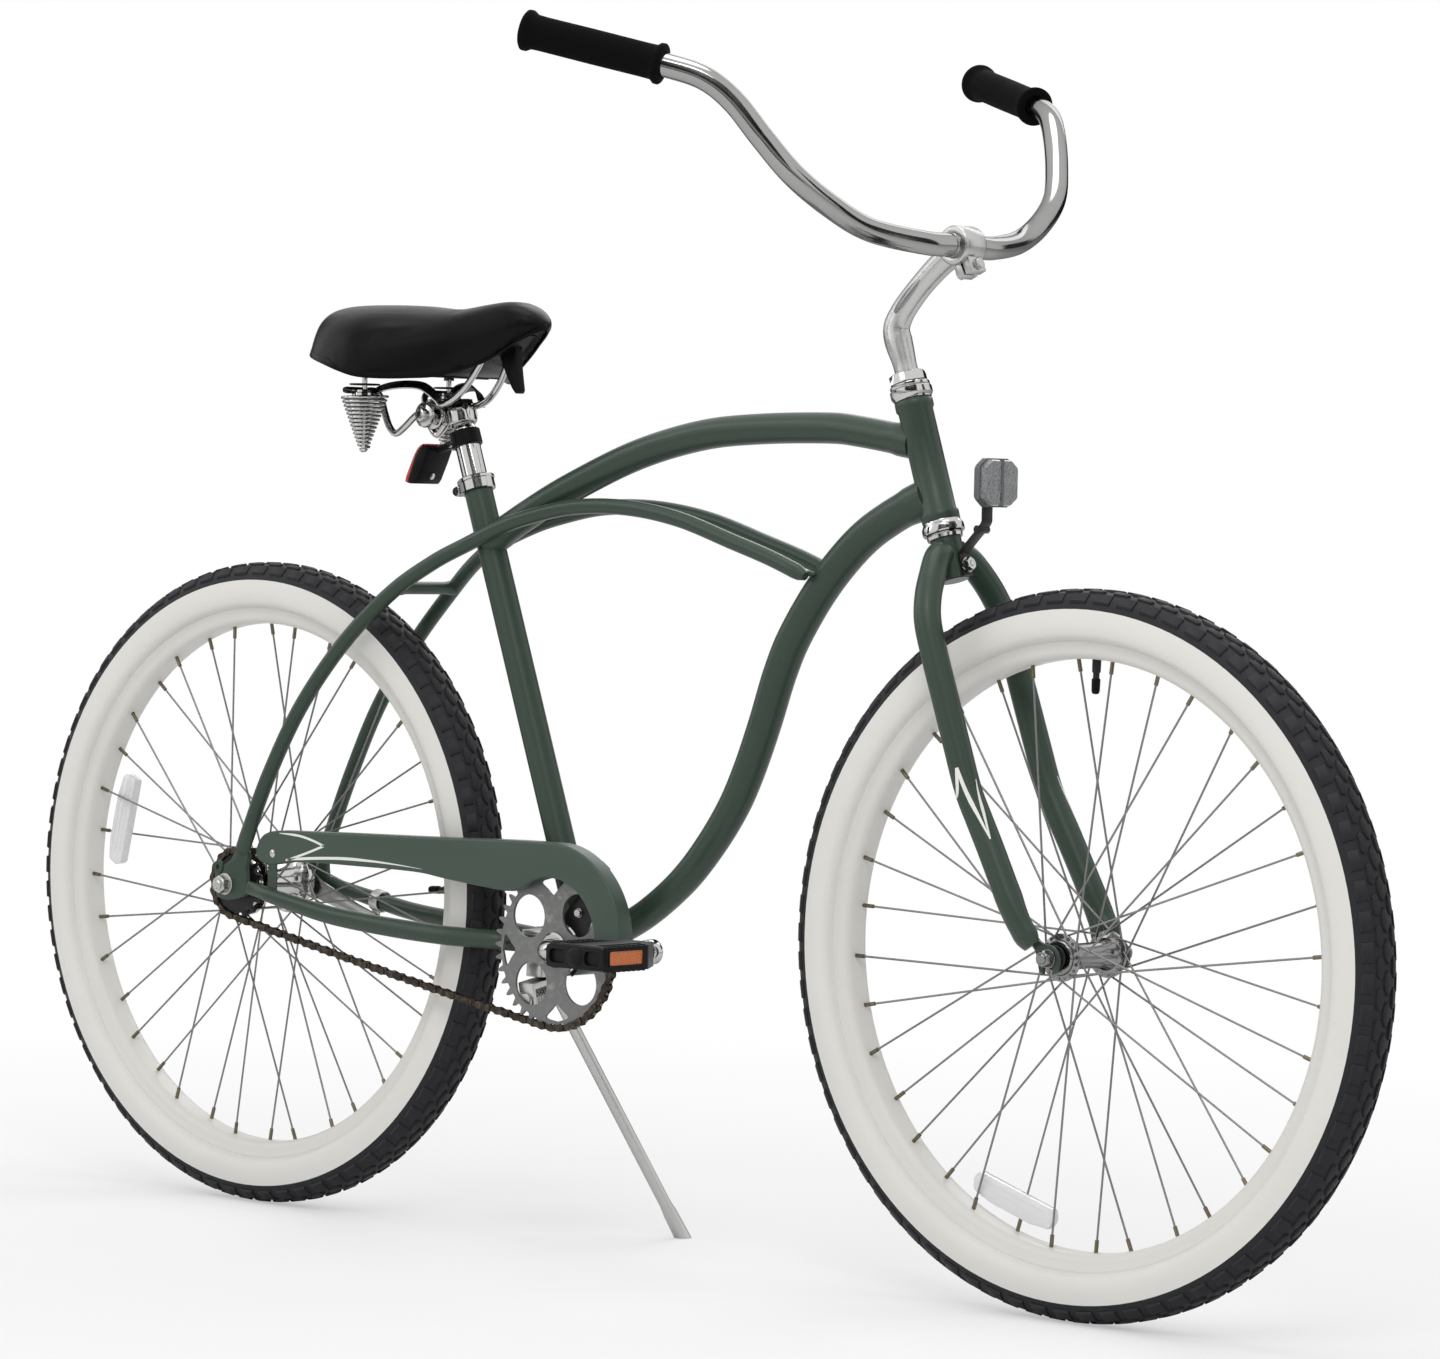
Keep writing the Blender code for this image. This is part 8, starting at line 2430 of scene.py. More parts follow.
    def screws(self) -> None:
        """The rear screw on the face and the front one on the bracket."""
        shape = Shape()
        dome = [(-0.001, 0.0), (-0.001, 0.0042), (0.0002, 0.0042), (0.001, 0.0034), (0.0016, 0.002), (0.0018, 0.0)]
        shape.lathe(dome, (-0.4702, self.face_y, 0.369), -Y_AXIS, 32)
        shape.rod(0.0, 0.015, 0.0022, (-0.4702, self.face_y + 0.0014, 0.369), Y_AXIS, 16)
        nut(shape, (-0.0579, self.plate_y, 0.3344), -Y_AXIS, 0.0036, 0.0026, washer=0.0048)
        piece(shape, "guard_screws", [CHROME], "frame", sharp=30.0)


def helix(
    start: Points, axis: Points, height: float, radii: Pair, turns: float, lead: float, phase: float = 0.0
) -> np.ndarray:
    """The centre line of a coil spring with straight ends.

    Args:
        start: the middle of its first turn.
        axis: the way it grows.
        height: from the first turn to the last.
        radii: its radius at each end.
        turns: how many turns.
        lead: the length of the straight ends.
        phase: the angle that it starts at.

    Returns:
        The points as rows.
    """
    side, other = frame_of(axis, X_AXIS)
    share = np.linspace(0.0, 1.0, int(turns * 28) + 1)[:, None]
    angle = TAU * turns * share + phase
    r = radii[0] + (radii[1] - radii[0]) * share
    line = np.asarray(start) + unit(axis) * height * share + r * (np.cos(angle) * side + np.sin(angle) * other)
    first = line[0] - unit(line[1] - line[0]) * lead
    last = line[-1] + unit(line[-1] - line[-2]) * lead
    return np.vstack([first, line, last])


@dataclass
class Stand:
    """The kickstand: its bracket round the stays, its spring and its leg."""

    tilt: float = math.radians(10.0)
    at: Triple = (-0.125, 0.0, 0.25)
    foot: Triple = (-0.067, 0.135, 0.0)
    flanges: Pair = (-0.036, -0.007)
    flange_t: float = 0.004
    leg_r: float = 0.006
    pivot_r: float = 0.0054
    wire: float = 0.0008

    @property
    def axis(self) -> np.ndarray:
        """The pivot's direction."""
        return np.array([0.0, math.cos(self.tilt), math.sin(self.tilt)])

    def spot(self, along: float, forward: float = 0.0, up: float = 0.0) -> np.ndarray:
        """A point by its distance along the pivot, and from it."""
        return np.array(self.at) + along * self.axis + forward * X_AXIS + up * np.cross(X_AXIS, self.axis)

    def build(self) -> None:
        """Makes the bracket, the spring and the leg."""
        self.bracket()
        low, high = self.flanges
        room = self.wire + 0.0003
        start, tall = self.spot(low + self.flange_t / 2 + room), high - low - self.flange_t - 2 * room
        line = helix(start, self.axis, tall, (0.0074, 0.0074), 6, 0.0016)
        piece(Shape().tube(line, self.wire, 10), "stand_spring", [ZINC], "frame", ["kickstand_spring"])
        self.leg()

    def bracket(self) -> None:
        """The two pressed plates with the long bolt, the column and the flanges that carry the pivot."""
        shape = Shape()
        for z, size in ((0.2876, (0.032, 0.064, 0.004)), (0.3104, (0.03, 0.062, 0.0036))):
            edge = pad(size[0] / 2, size[1] / 2, 0.006)
            shape.plate(edge, (-0.128, 0.0, z - size[2] / 2), X_AXIS, Y_AXIS, Z_AXIS * size[2])
        for y in (-0.0295, 0.0295):
            shape.box((-0.128, y, 0.3078), (0.029, 0.003, 0.003))
        shape.plate(pad(0.011, 0.01, 0.005), (-0.128, -0.017, 0.2662), X_AXIS, Y_AXIS, Z_AXIS * 0.02)
        axes = (X_AXIS, self.axis, np.cross(X_AXIS, self.axis))
        shape.box(self.spot(-0.021, 0.0, 0.0145), (0.0204, 0.033, 0.0056), axes)
        r = 0.0094
        ear = [(-r, 0.016), (-r, 0.0)] + arc((0.0, 0.0), r, 180.0, 360.0, 16)[1:-1] + [(r, 0.0), (r, 0.016)]
        for flange in self.flanges:
            seat = self.spot(flange) - self.axis * self.flange_t / 2
            shape.plate(ear[::-1], seat, axes[0], axes[2], self.axis * self.flange_t)
        piece(shape, "stand_bracket", [ZINC], "frame", ["kickstand_bracket"], bevel=0.0006, sharp=30.0)
        bolt = Shape()
        nut(bolt, (-0.13, 0.0, 0.3123), Z_AXIS, 0.0064, 0.0048, washer=0.009)
        bolt.rod(0.0, 0.03, 0.0039, (-0.13, 0.0, 0.284), Z_AXIS, 20)
        piece(bolt, "stand_bolt", [CHROME], "frame", sharp=30.0)

    def leg(self) -> None:
        """The leg: bent from its pivot, with a collar, down to a foot worn flat on the floor."""
        foot, top = np.array(self.foot), self.spot(0.0025)
        way, bend = unit(foot - top), 0.0072
        corner = []
        for s in np.linspace(0.0, 1.0, 10):
            corner.append((1 - s) ** 2 * (top - self.axis * bend) + 2 * s * (1 - s) * top + s * s * (top + way * bend))
        line = [self.spot(-0.0395)] + corner + [top + way * 0.03, top + way * 0.05]
        line += [foot - way * d for d in (0.16, 0.06, 0.04, 0.028)] + [foot + way * 0.002]
        path = np.array(line)
        radii = [self.pivot_r] * 8 + [self.leg_r] * (len(line) - 11) + [self.leg_r, 0.0072, 0.0078]
        sides = 28
        shape = Shape().tube(path, radii, sides, hint=X_AXIS)
        points = np.array(shape.points)
        last = points[-sides:]
        # the last ring lies flat on the floor
        points[-sides:] = last - way * (last[:, 2:] / way[2])
        shape.points = list(points)
        collar = [
            (-0.0422, 0.0), (-0.0422, 0.0078), (-0.0412, 0.0084), (-0.0398, 0.0084), (-0.0385, 0.0078), (-0.0385, 0.0),
        ]
        shape.lathe(collar, self.at, self.axis, 28)
        piece(shape, "stand_leg", [SATIN], "kickstand", ["kickstand"], sharp=32.0)


# Saddle and seat post
@dataclass
class SeatSet:
    """The seat post, the saddle's clamp, rails and springs, and the rear reflector on its band."""

    post_r: float = 0.0127
    neck_r: float = 0.0111
    post_low: float = 0.34
    post_neck: float = 0.54
    post_top: float = 0.57
    bolt_at: Triple = (-0.29, 0.0, 0.82)
    rail_r: float = 0.0035
    spring_at: Triple = (-0.347, 0.06, 0.838)
    spring_tall: float = 0.051
    spring_radii: Pair = (0.0232, 0.0046)
    spring_turns: int = 13
    wire: float = 0.0015
    band_up: float = 0.531
    housing_at: Triple = (-0.312, 0.0, 0.7705)
    housing: Triple = (0.0165, 0.036, 0.04)
    housing_lean: float = 0.42
    rail_half: tuple[Triple, ...] = (
        (-0.192, 0.0, 0.896), (-0.1945, 0.01, 0.8955), (-0.204, 0.0165, 0.892), (-0.217, 0.0185, 0.884),
        (-0.227, 0.02, 0.868), (-0.239, 0.022, 0.851), (-0.254, 0.0238, 0.8375), (-0.27, 0.0248, 0.831),
        (-0.29, 0.025, 0.8286), (-0.308, 0.0258, 0.819),
        (-0.322, 0.028, 0.807), (-0.332, 0.0295, 0.801), (-0.341, 0.03, 0.808), (-0.348, 0.03, 0.822),
        (-0.353, 0.031, 0.837), (-0.355, 0.038, 0.8435), (-0.3555, 0.05, 0.8435), (-0.3555, 0.08, 0.8435),
    )
    strap_arch: tuple[Triple, ...] = (
        (-0.34, 0.059, 0.84), (-0.329, 0.0545, 0.8455), (-0.317, 0.049, 0.8488), (-0.302, 0.043, 0.85),
        (-0.288, 0.038, 0.8485), (-0.278, 0.0345, 0.8425), (-0.272, 0.0315, 0.8355), (-0.27, 0.03, 0.8295),
    )
    housing_side: tuple[Pair, ...] = (
        (-0.5, -0.5), (0.28, -0.5), (0.4, -0.38), (0.5, 0.1), (0.5, 0.34), (0.35, 0.46), (-0.1, 0.5),
        (-0.38, 0.42), (-0.5, 0.24),
    )

    def build(self) -> None:
        """Makes each part of the seat."""
        self.post()
        self.clamp()
        self.rails()
        for side, name in SIDES[::-1]:
            self.spring(side, name)
            self.strap(side, name)
        self.band()
        self.lens()

    def post(self) -> None:
        """The seat post with its stepped neck."""
        profile = [
            (self.post_low, 0.0105), (self.post_low, self.post_r - 0.0006), (self.post_low + 0.0006, self.post_r),
            (self.post_neck - 0.0006, self.post_r), (self.post_neck + 0.001, self.post_r - 0.0003),
            (self.post_neck + 0.004, self.neck_r), (self.post_top - 0.0008, self.neck_r),
            (self.post_top, self.neck_r - 0.0008), (self.post_top, 0.0092),
        ]
        shape = Shape().lathe(profile, PLAN.bottom, PLAN.seat_up, 56, ring=True)
        piece(shape, "seat_pillar", [CHROME], "seat_post", ["seatpost"], sharp=30.0)

    def clamp(self) -> None:
        """The saddle clamp: a collar on the neck, a cross barrel, toothed washers, a bolt and nuts."""
        low, high, r = self.post_neck + 0.006, self.post_top - 0.001, 0.0152
        shape = Shape()
        collar = [
            (low, self.neck_r + 0.0003), (low, r - 0.0012), (low + 0.0008, r - 0.0002), (low + 0.002, r),
            (high - 0.002, r), (high - 0.0008, r - 0.0004), (high, r - 0.0016), (high, self.neck_r + 0.0003),
        ]
        shape.lathe(collar, PLAN.bottom, PLAN.seat_up, 56, ring=True)
        bolt = np.array(self.bolt_at)
        middle = PLAN.seat(self.post_top - 0.01)
        shape.box((0.5 * (bolt[0] + middle[0]) - 0.0045, 0.0, bolt[2] - 0.0005), (0.012, 0.0236, 0.015))
        barrel = [(-0.016, 0.0), (-0.016, 0.0092), (-0.015, 0.01), (0.015, 0.01), (0.016, 0.0092), (0.016, 0.0)]
        inner = [(0.0152, 0.0), (0.0152, 0.0136), (0.0158, 0.0144), (0.02, 0.0144), (0.0208, 0.0136), (0.0208, 0.0)]
        outer = [(0.029, 0.0), (0.029, 0.012), (0.0296, 0.0126), (0.0322, 0.0122), (0.033, 0.01), (0.033, 0.0)]
        shape.lathe(barrel, bolt, Y_AXIS, 48)
        for sign in (-1, 1):
            way = Y_AXIS * sign
            shape.lathe(inner, bolt, way, 56).rod(0.02, 0.0292, 0.0042, bolt, way, 24).lathe(outer, bolt, way, 56)
            nut(shape, bolt + way * 0.033, way, 0.0064, 0.0054)
            threaded(shape, bolt + way * 0.0382, way, 0.0018, 0.0038)
        piece(shape, "saddle_clamp_body", [CHROME], "seat_post", ["saddle_clamp"], bevel=0.0002, segments=1, sharp=30.0)
        self.teeth()

    def teeth(self) -> None:
        """The fine teeth round the clamp's four washers."""
        grown = []
        for at, radius, count in ((0.018, 0.0143, 44), (0.0308, 0.0122, 38)):
            for sign in (-1, 1):
                tooth = [(-0.0005, radius - 0.0006), (0.0005, radius - 0.0006), (0.0, radius + 0.0007)]
                low, high = sign * (at - 0.0016), sign * (at + 0.0016)
                rings = [[(x, y, z) for x, z in tooth] for y in (low, high)]
                part = part_object(Shape().loft(rings), f"tooth_{sign}_{count}")
                values = {"Part": part, "Count": count, "Centre": self.bolt_at, "Phase": 0.0}
                grown.append(TURNED.grow(f"teeth_{sign}_{count}", CHROME, **values))
                bpy.data.objects.remove(part, do_unlink=True)
        enrol(merged("saddle_clamp_teeth", grown), "seat_post")

    def rails(self) -> None:
        """The two wires from the nose through the clamp and up over the springs."""
        left = natural(self.rail_half, 90)
        path = np.vstack([(left * MIRROR)[::-1][:-1], left])
        radius = np.full(len(path), self.rail_r)
        radius[0] = radius[-1] = self.rail_r * 0.8
        piece(Shape().tube(path, radius, 20, hint=Z_AXIS), "saddle_wires", [CHROME], "seat_post", ["saddle_rails"])

    def spring(self, side: int, name: str) -> None:
        """A conical spring with its dished top plate, and the dark washer over the wire.

        Args:
            side: 1 on the left and -1 on the right.
            name: the side's name.
        """
        x, y, z = self.spring_at
        top = np.array([x, side * y, z])
        line = helix(top, -Z_AXIS, self.spring_tall, self.spring_radii, self.spring_turns, 2 * self.wire, 0.4)
        shape = Shape().tube(line, self.wire, 12)
        piece(shape, f"saddle_coil_{name}", [CHROME], "seat_post", [f"saddle_spring_{name}"])
        plate = [
            (-0.004, 0.0032), (-0.004, 0.012), (-0.0022, 0.019), (-0.0012, 0.0203), (-0.0004, 0.0203),
            (-0.0014, 0.0185), (-0.0028, 0.0118), (-0.0028, 0.0032),
        ]
        stack = [
            (-0.001, 0.0031), (-0.001, 0.0122), (-0.0002, 0.0128), (0.003, 0.0126), (0.0038, 0.0108),
            (0.0058, 0.0106), (0.0066, 0.0098), (0.0066, 0.0031),
        ]
        washer = [
            (0.0106, 0.0031), (0.0106, 0.015), (0.0112, 0.0156), (0.0119, 0.0156), (0.0124, 0.015), (0.0124, 0.0031),
        ]
        shape = Shape().lathe(plate, top, Z_AXIS, 48, ring=True).lathe(stack, top, Z_AXIS, 48, ring=True)
        shape.using(1).lathe(washer, top, Z_AXIS, 40, ring=True)
        piece(shape, f"saddle_coil_plates_{name}", [CHROME, BLACK_METAL], "seat_post", sharp=30.0)

    def strap(self, side: int, name: str) -> None:
        """The arched flat strap from a spring's top to the clamp.

        Args:
            side: 1 on the left and -1 on the right.
            name: the side's name.
        """
        count, thick, lean = 50, 0.0008, math.radians(38.0)
        line = natural(self.strap_arch, count) * np.array([1.0, side, 1.0])
        way = units(np.gradient(line, axis=0))
        level = unit(np.cross(way[20], Z_AXIS))
        level *= np.sign(level[1] * side)
        tilted = level * math.cos(lean) - Z_AXIS * math.sin(lean)
        across = np.array([unit(tilted - w * np.dot(tilted, w)) for w in way])
        out = np.cross(across, way)
        half = shares(count, (0.0, 0.1, 0.9, 1.0), (0.0045, 0.0065, 0.0058, 0.004))
        rings = [
            [p - a * h - n * thick, p + a * h - n * thick, p + a * h + n * thick, p - a * h + n * thick]
            for p, a, n, h in zip(line, across, out, half)
        ]
        piece(Shape().loft(rings), f"saddle_strap_{name}", [CHROME], "seat_post", bevel=0.0003, sharp=30.0)

    def housing_points(self, grow: float = 0.0) -> list[Pair]:
        """The reflector housing seen from the side, moved outwards by a distance."""
        return inset(rounded([self.housing_spot(a, b) for a, b in self.housing_side], 0.0035, 4), -grow)

    def housing_spot(self, a: float, b: float) -> Pair:
        """A point of the leaning housing's side, by shares of its depth and height from its middle."""
        rise = b * self.housing[2]
        return self.housing_at[0] + a * self.housing[0] + self.housing_lean * rise, self.housing_at[2] + rise

    def band(self) -> None:
        """The band round the post, its arm and the housing with its screw."""
        low, r = self.band_up, self.post_r
        profile = [
            (low - 0.008, r + 0.0004), (low - 0.008, r + 0.002), (low - 0.0072, r + 0.0028),
            (low + 0.0072, r + 0.0028), (low + 0.008, r + 0.002), (low + 0.008, r + 0.0004),
        ]
        shape = Shape().lathe(profile, PLAN.bottom, PLAN.seat_up, 56, ring=True)
        x, _, z = self.housing_at
        count, spots = 24, ((0.006, 0.013), (0.018, 0.0165), (0.031, 0.02), (0.0385, 0.022))
        arm = natural([(x + ahead, 0.0, z + up) for ahead, up in spots], count)
        shape.tube(arm, shares(count, (0.0, 0.5, 1.0), (0.0062, 0.0056, 0.0064)), 28, flat=0.72, hint=Z_AXIS)
        outline = self.housing_points(-0.0004)
        y = self.housing[1] / 2
        rows = [(-y, inset(outline, 0.0016)), (-y + 0.0006, inset(outline, 0.0005)), (-y + 0.0018, outline)]
        shape.slab(rows + [(-h, o) for h, o in rows[::-1]], (0.0, 0.0, 0.0), X_AXIS, Z_AXIS, Y_AXIS)
        piece(shape, "rear_mirror_band", [PLASTIC], "seat_post", ["rear_reflector_bracket"], sharp=34.0)
        screws = Shape()
        a, b = self.housing_spot(0.44, -0.3)
        head = [(-0.001, 0.0), (-0.001, 0.0036), (0.0008, 0.0034), (0.0015, 0.002), (0.0012, 0.0)]
        screws.lathe(head, (a, 0.001, b), (1.0, 0.0, -self.housing_lean), 24)
        ear = PLAN.seat(self.band_up, -0.0165)
        nut(screws, ear - Y_AXIS * 0.0062, -Y_AXIS, 0.0032, 0.0024)
        pin = [(-0.0066, 0.0), (-0.0066, 0.0016), (0.0066, 0.0016), (0.007, 0.003), (0.0086, 0.0028), (0.009, 0.0)]
        screws.lathe(pin, ear, Y_AXIS, 20)
        piece(screws, "rear_mirror_screws", [CHROME], "seat_post", sharp=30.0)

    def lens(self) -> None:
        """The red lens, which wraps from the housing's foot up its back and over its shoulder."""
        count = 14
        shares_at = ((-0.5, -0.47), (-0.505, -0.1), (-0.5, 0.2), (-0.4, 0.4), (-0.12, 0.5), (0.1, 0.49))
        back = natural([self.housing_spot(a, b) for a, b in shares_at], count)
        out = leftward(np.gradient(back, axis=0))
        proud = shares(count, (0.0, 0.1, 0.6, 1.0), (0.003, 0.004, 0.0022, 0.0008))[:, None]
        outline = np.vstack([back - out * 0.001, (back + out * proud)[::-1]])
        y = self.housing[1] / 2 - 0.0014
        pairs = [tuple(p) for p in outline]
        shape = Shape().plate(pairs, -Y_AXIS * y, X_AXIS, Z_AXIS, Y_AXIS * 2 * y)
        piece(shape, "rear_mirror_lens", [RED], "seat_post", ["rear_reflector"], bevel=0.0008, sharp=34.0)


@dataclass
class Saddle:
    """The sprung saddle: a padded vinyl cushion, the moulded pan under it, and the bolts through the springs."""

    roof: float = 0.008
    inner: float = 0.85
    cap: float = 0.003
    columns: int = 44
    rows: int = 96
    # along, half width, height of the crown and of the lower edge, and how far the rim is tucked in
    stations: tuple[tuple[float, float, float, float, float], ...] = (
        (-0.4385, 0.02, 0.902, 0.885, 0.0), (-0.436, 0.034, 0.911, 0.884, 0.0), (-0.43, 0.05, 0.919, 0.8825, 0.0),
        (-0.42, 0.0645, 0.925, 0.8805, 0.0), (-0.4, 0.087, 0.9295, 0.8772, 0.0), (-0.38, 0.102, 0.9305, 0.8735, 0.0),
        (-0.355, 0.112, 0.93, 0.868, 0.0), (-0.33, 0.115, 0.9287, 0.861, 0.0), (-0.31, 0.109, 0.9268, 0.8555, 0.0),
        (-0.29, 0.095, 0.9245, 0.8542, 0.02), (-0.27, 0.079, 0.9235, 0.855, 0.05), (-0.25, 0.064, 0.9248, 0.857, 0.1),
        (-0.23, 0.051, 0.9285, 0.864, 0.2), (-0.21, 0.042, 0.932, 0.8715, 0.28), (-0.192, 0.035, 0.9335, 0.8815, 0.33),
        (-0.179, 0.03, 0.931, 0.8905, 0.36), (-0.166, 0.0225, 0.925, 0.8975, 0.4), (-0.158, 0.015, 0.918, 0.902, 0.4),
        (-0.153, 0.006, 0.912, 0.905, 0.4),
    )
    keel: tuple[Pair, ...] = (
        (-0.1905, 0.895), (-0.19, 0.874), (-0.1872, 0.856), (-0.1852, 0.8445), (-0.1885, 0.8414), (-0.1945, 0.848),
        (-0.202, 0.86), (-0.208, 0.872), (-0.213, 0.881), (-0.208, 0.895),
    )
    keel_half: float = 0.005
    spring_at: Triple = (-0.347, 0.06, 0.783)

    def build(self) -> None:
        """Makes the cushion, the pan and the bolts."""
        self.cushion()
        self.pan()
        self.bolts()

    def section(self, x: float, half: float, crown: float, edge: float, tuck: float) -> list[Pair]:
        """One section of the cushion: a crowned top, leaning flanks, a thin lip and the hollow underneath.

        Args:
            x: where it is along the saddle.
            half: half its width.
            crown: the height of its middle.
            edge: the height of its lower edge.
            tuck: how far the rim is drawn in, as a share of the half width.

        Returns:
            The (across, height) pairs from the left lip over the top to the right, and back underneath.
        """
        lip = min(0.0015, 0.1 * (crown - edge))
        low = edge + lip
        lean = float(np.interp(x, (-0.4, -0.3, -0.22), (0.22, 0.14, 0.07)))
        top = []
        for a in np.linspace(0.0, math.pi, self.columns):
            t = math.sin(a) ** 0.75
            wide = (1 - lean * t) * max(0.0, 1 - t**5) ** 0.36 * (1 - tuck * max(0.0, 1 - t / 0.45) ** 2)
            top.append((math.copysign(half * wide, math.cos(a)), low + (crown - low) * t))
        up = min(self.roof, 0.4 * (crown - edge))
        rim = half * (1 - tuck)
        under = [
            (0.995 * rim, edge + lip * 0.3), (0.975 * rim, edge), (0.93 * rim, edge), (0.89 * rim, edge + up * 0.25),
            (self.inner * rim, edge + up * 0.85), (0.8 * rim, edge + up), (0.4 * rim, edge + up),
        ]
        return top + [(-y, z) for y, z in under] + under[::-1]

    def cushion(self) -> None:
        """The padded cover: lofted, puffed up by cloth pressure where it is free, then given its folded hem."""
        fine = natural(self.stations, self.rows)
        rings = [[(row[0], y, z) for y, z in self.section(*row)] for row in fine]
        shape = Shape().loft(rings)
        obj = link(bpy.data.objects.new("saddle_cover", shape.mesh("saddle_cover", 0.0, 1, 180.0)))
        self.puff(obj)
        obj.data.materials.append(VINYL.material())
        enrol(obj, "saddle", ["saddle_cushion"])
        self.seam(fine)

    def puff(self, obj: bpy.types.Object) -> None:
        """Runs a short cloth simulation on the cover, whose lower rim is held, and applies its result.

        Args:
            obj: the cover, whose mesh is replaced by the puffed one.
        """
        remesh = obj.modifiers.new("even faces", "REMESH")
        remesh.mode = "VOXEL"
        remesh.voxel_size = 0.0042
        remesh.use_smooth_shade = True
        mesh = baked(obj)
        obj.modifiers.clear()
        count = len(mesh.vertices)
        rest = np.empty(count * 3)
        mesh.vertices.foreach_get("co", rest)
        rest = rest.reshape(-1, 3)
        along, *sizes = np.array(self.stations).T
        half, crown, edge = (np.interp(rest[:, 0], along, values) for values in sizes[:3])
        share = (rest[:, 2] - edge) / np.maximum(crown - edge, 1e-4)
        free = np.clip((share - 0.22) / 0.25, 0.0, 1.0) * (np.abs(rest[:, 1]) < 2 * half)
        free[share < 0.3] = 0.0
        obj.data = mesh
        held = obj.vertex_groups.new(name="held")
        for index in np.flatnonzero(free < 1.0):
            held.add([int(index)], float(1.0 - free[index]), "REPLACE")
        cloth = obj.modifiers.new("pressure", "CLOTH")
        settings = cloth.settings
        settings.vertex_group_mass = "held"
        settings.use_pressure = True
        settings.uniform_pressure_force = 4.0
        settings.effector_weights.gravity = 0.0
        settings.quality = 5
        settings.tension_stiffness = settings.compression_stiffness = 15.0
        cloth.collision_settings.use_collision = False
        scene = bpy.context.scene
        for step in range(1, 21):
            scene.frame_set(step)
        puffed = baked(obj)
        moved = np.empty(count * 3)
        puffed.vertices.foreach_get("co", moved)
        shift = moved.reshape(-1, 3) - rest
        length = np.linalg.norm(shift, axis=1)[:, None]
        shift *= np.minimum(1.0, self.cap / np.maximum(length, 1e-9)) * free[:, None]
        obj.modifiers.clear()
        obj.vertex_groups.clear()
        scene.frame_set(1)
        mesh.vertices.foreach_set("co", (rest + shift).ravel())
        bpy.data.meshes.remove(puffed)
        smooth = obj.modifiers.new("even", "SMOOTH")
        smooth.factor, smooth.iterations = 0.5, 6
        finer = obj.modifiers.new("finer", "SUBSURF")
        finer.levels = finer.render_levels = 1
        obj.data = baked(obj)
        obj.modifiers.clear()
        obj.data.name = obj.name
        obj.data.materials.clear()
        obj.data.shade_smooth()

    def seam(self, fine: np.ndarray) -> None:
        """The thin folded hem round the cover's lower edge."""
        spots = [(x, half * (1 - tuck), edge) for x, half, _, edge, tuck in fine]
        ring = np.array(spots + [(x, -y, z) for x, y, z in spots[::-1]])
        way = np.roll(ring, -1, axis=0) - np.roll(ring, 1, axis=0)
        out = np.stack([way[:, 1], -way[:, 0]], axis=1) / np.linalg.norm(way[:, :2], axis=1)[:, None]
        out *= np.sign(np.sum(out * (ring[:, :2] - (-0.3, 0.0)), axis=1))[:, None]
        rows = []
        for away, up in ((-0.0016, 0.007), (0.0001, 0.001), (-0.0004, 0.0001), (-0.0018, 0.0002), (-0.0026, 0.006)):
            rows.append(np.column_stack([ring[:, :2] + out * away, ring[:, 2] + up]))
        rings = [[row[k] for row in rows] for k in range(len(ring))]
        piece(Shape().loft(rings, ring=True), "saddle_cover_hem", [VINYL], "saddle", sharp=50.0)

    def pan(self) -> None:
        """The moulded pan in the hollow, with ribs, and the keel under the nose."""
        fine = natural(self.stations, 60)
        shape = Shape()
        rings = []
        for x, half, crown, edge, tuck in fine[4:-5]:
            side = half * (1 - tuck) * (self.inner - 0.012)
            high = edge + min(self.roof, 0.4 * (crown - edge)) + (0.0009 if x > -0.215 else -0.0003)
            low = high - 0.0026
            rings.append([(x, side, high), (x, -side, high), (x, -side, low + 0.0006), (x, -side * 0.985, low),
                          (x, side * 0.985, low), (x, side, low + 0.0006)])
        shape.loft(rings)
        for x, half, edge in ((-0.39, 0.066, 0.8795), (-0.315, 0.084, 0.862), (-0.28, 0.066, 0.8617)):
            shape.box((x, 0.0, edge - 0.0012), (0.003, 2 * half, 0.004))
        side = self.keel_half
        shape.plate(rounded(self.keel, 0.0035, 4), -Y_AXIS * side, X_AXIS, Z_AXIS, Y_AXIS * 2 * side)
        piece(shape, "saddle_moulded_pan", [PLASTIC], "saddle", ["saddle_pan"], bevel=0.0007, segments=2, sharp=34.0)

    def bolts(self) -> None:
        """The two bolts through the springs: a domed head at each spring's foot, and its stud up in the saddle."""
        shape, studs = Shape(), Shape()
        x, y, z = self.spring_at
        for sign in (-1, 1):
            foot = (x, sign * y, z)
            head = [
                (-0.0018, 0.0), (-0.0016, 0.002), (-0.0006, 0.0036), (0.001, 0.0042), (0.0026, 0.0042),
                (0.0026, 0.0026), (0.04, 0.0026), (0.04, 0.0),
            ]
            shape.lathe(head, foot, Z_AXIS, 28)
            studs.rod(0.05, 0.088, 0.0026, foot, Z_AXIS, 28)
            nut(shape, (x, sign * y, z + 0.074), Z_AXIS, 0.0048, 0.003)
        piece(shape, "saddle_coil_bolts", [CHROME], "seat_post", sharp=30.0)
        piece(studs, "saddle_coil_studs", [CHROME], "saddle", sharp=30.0)


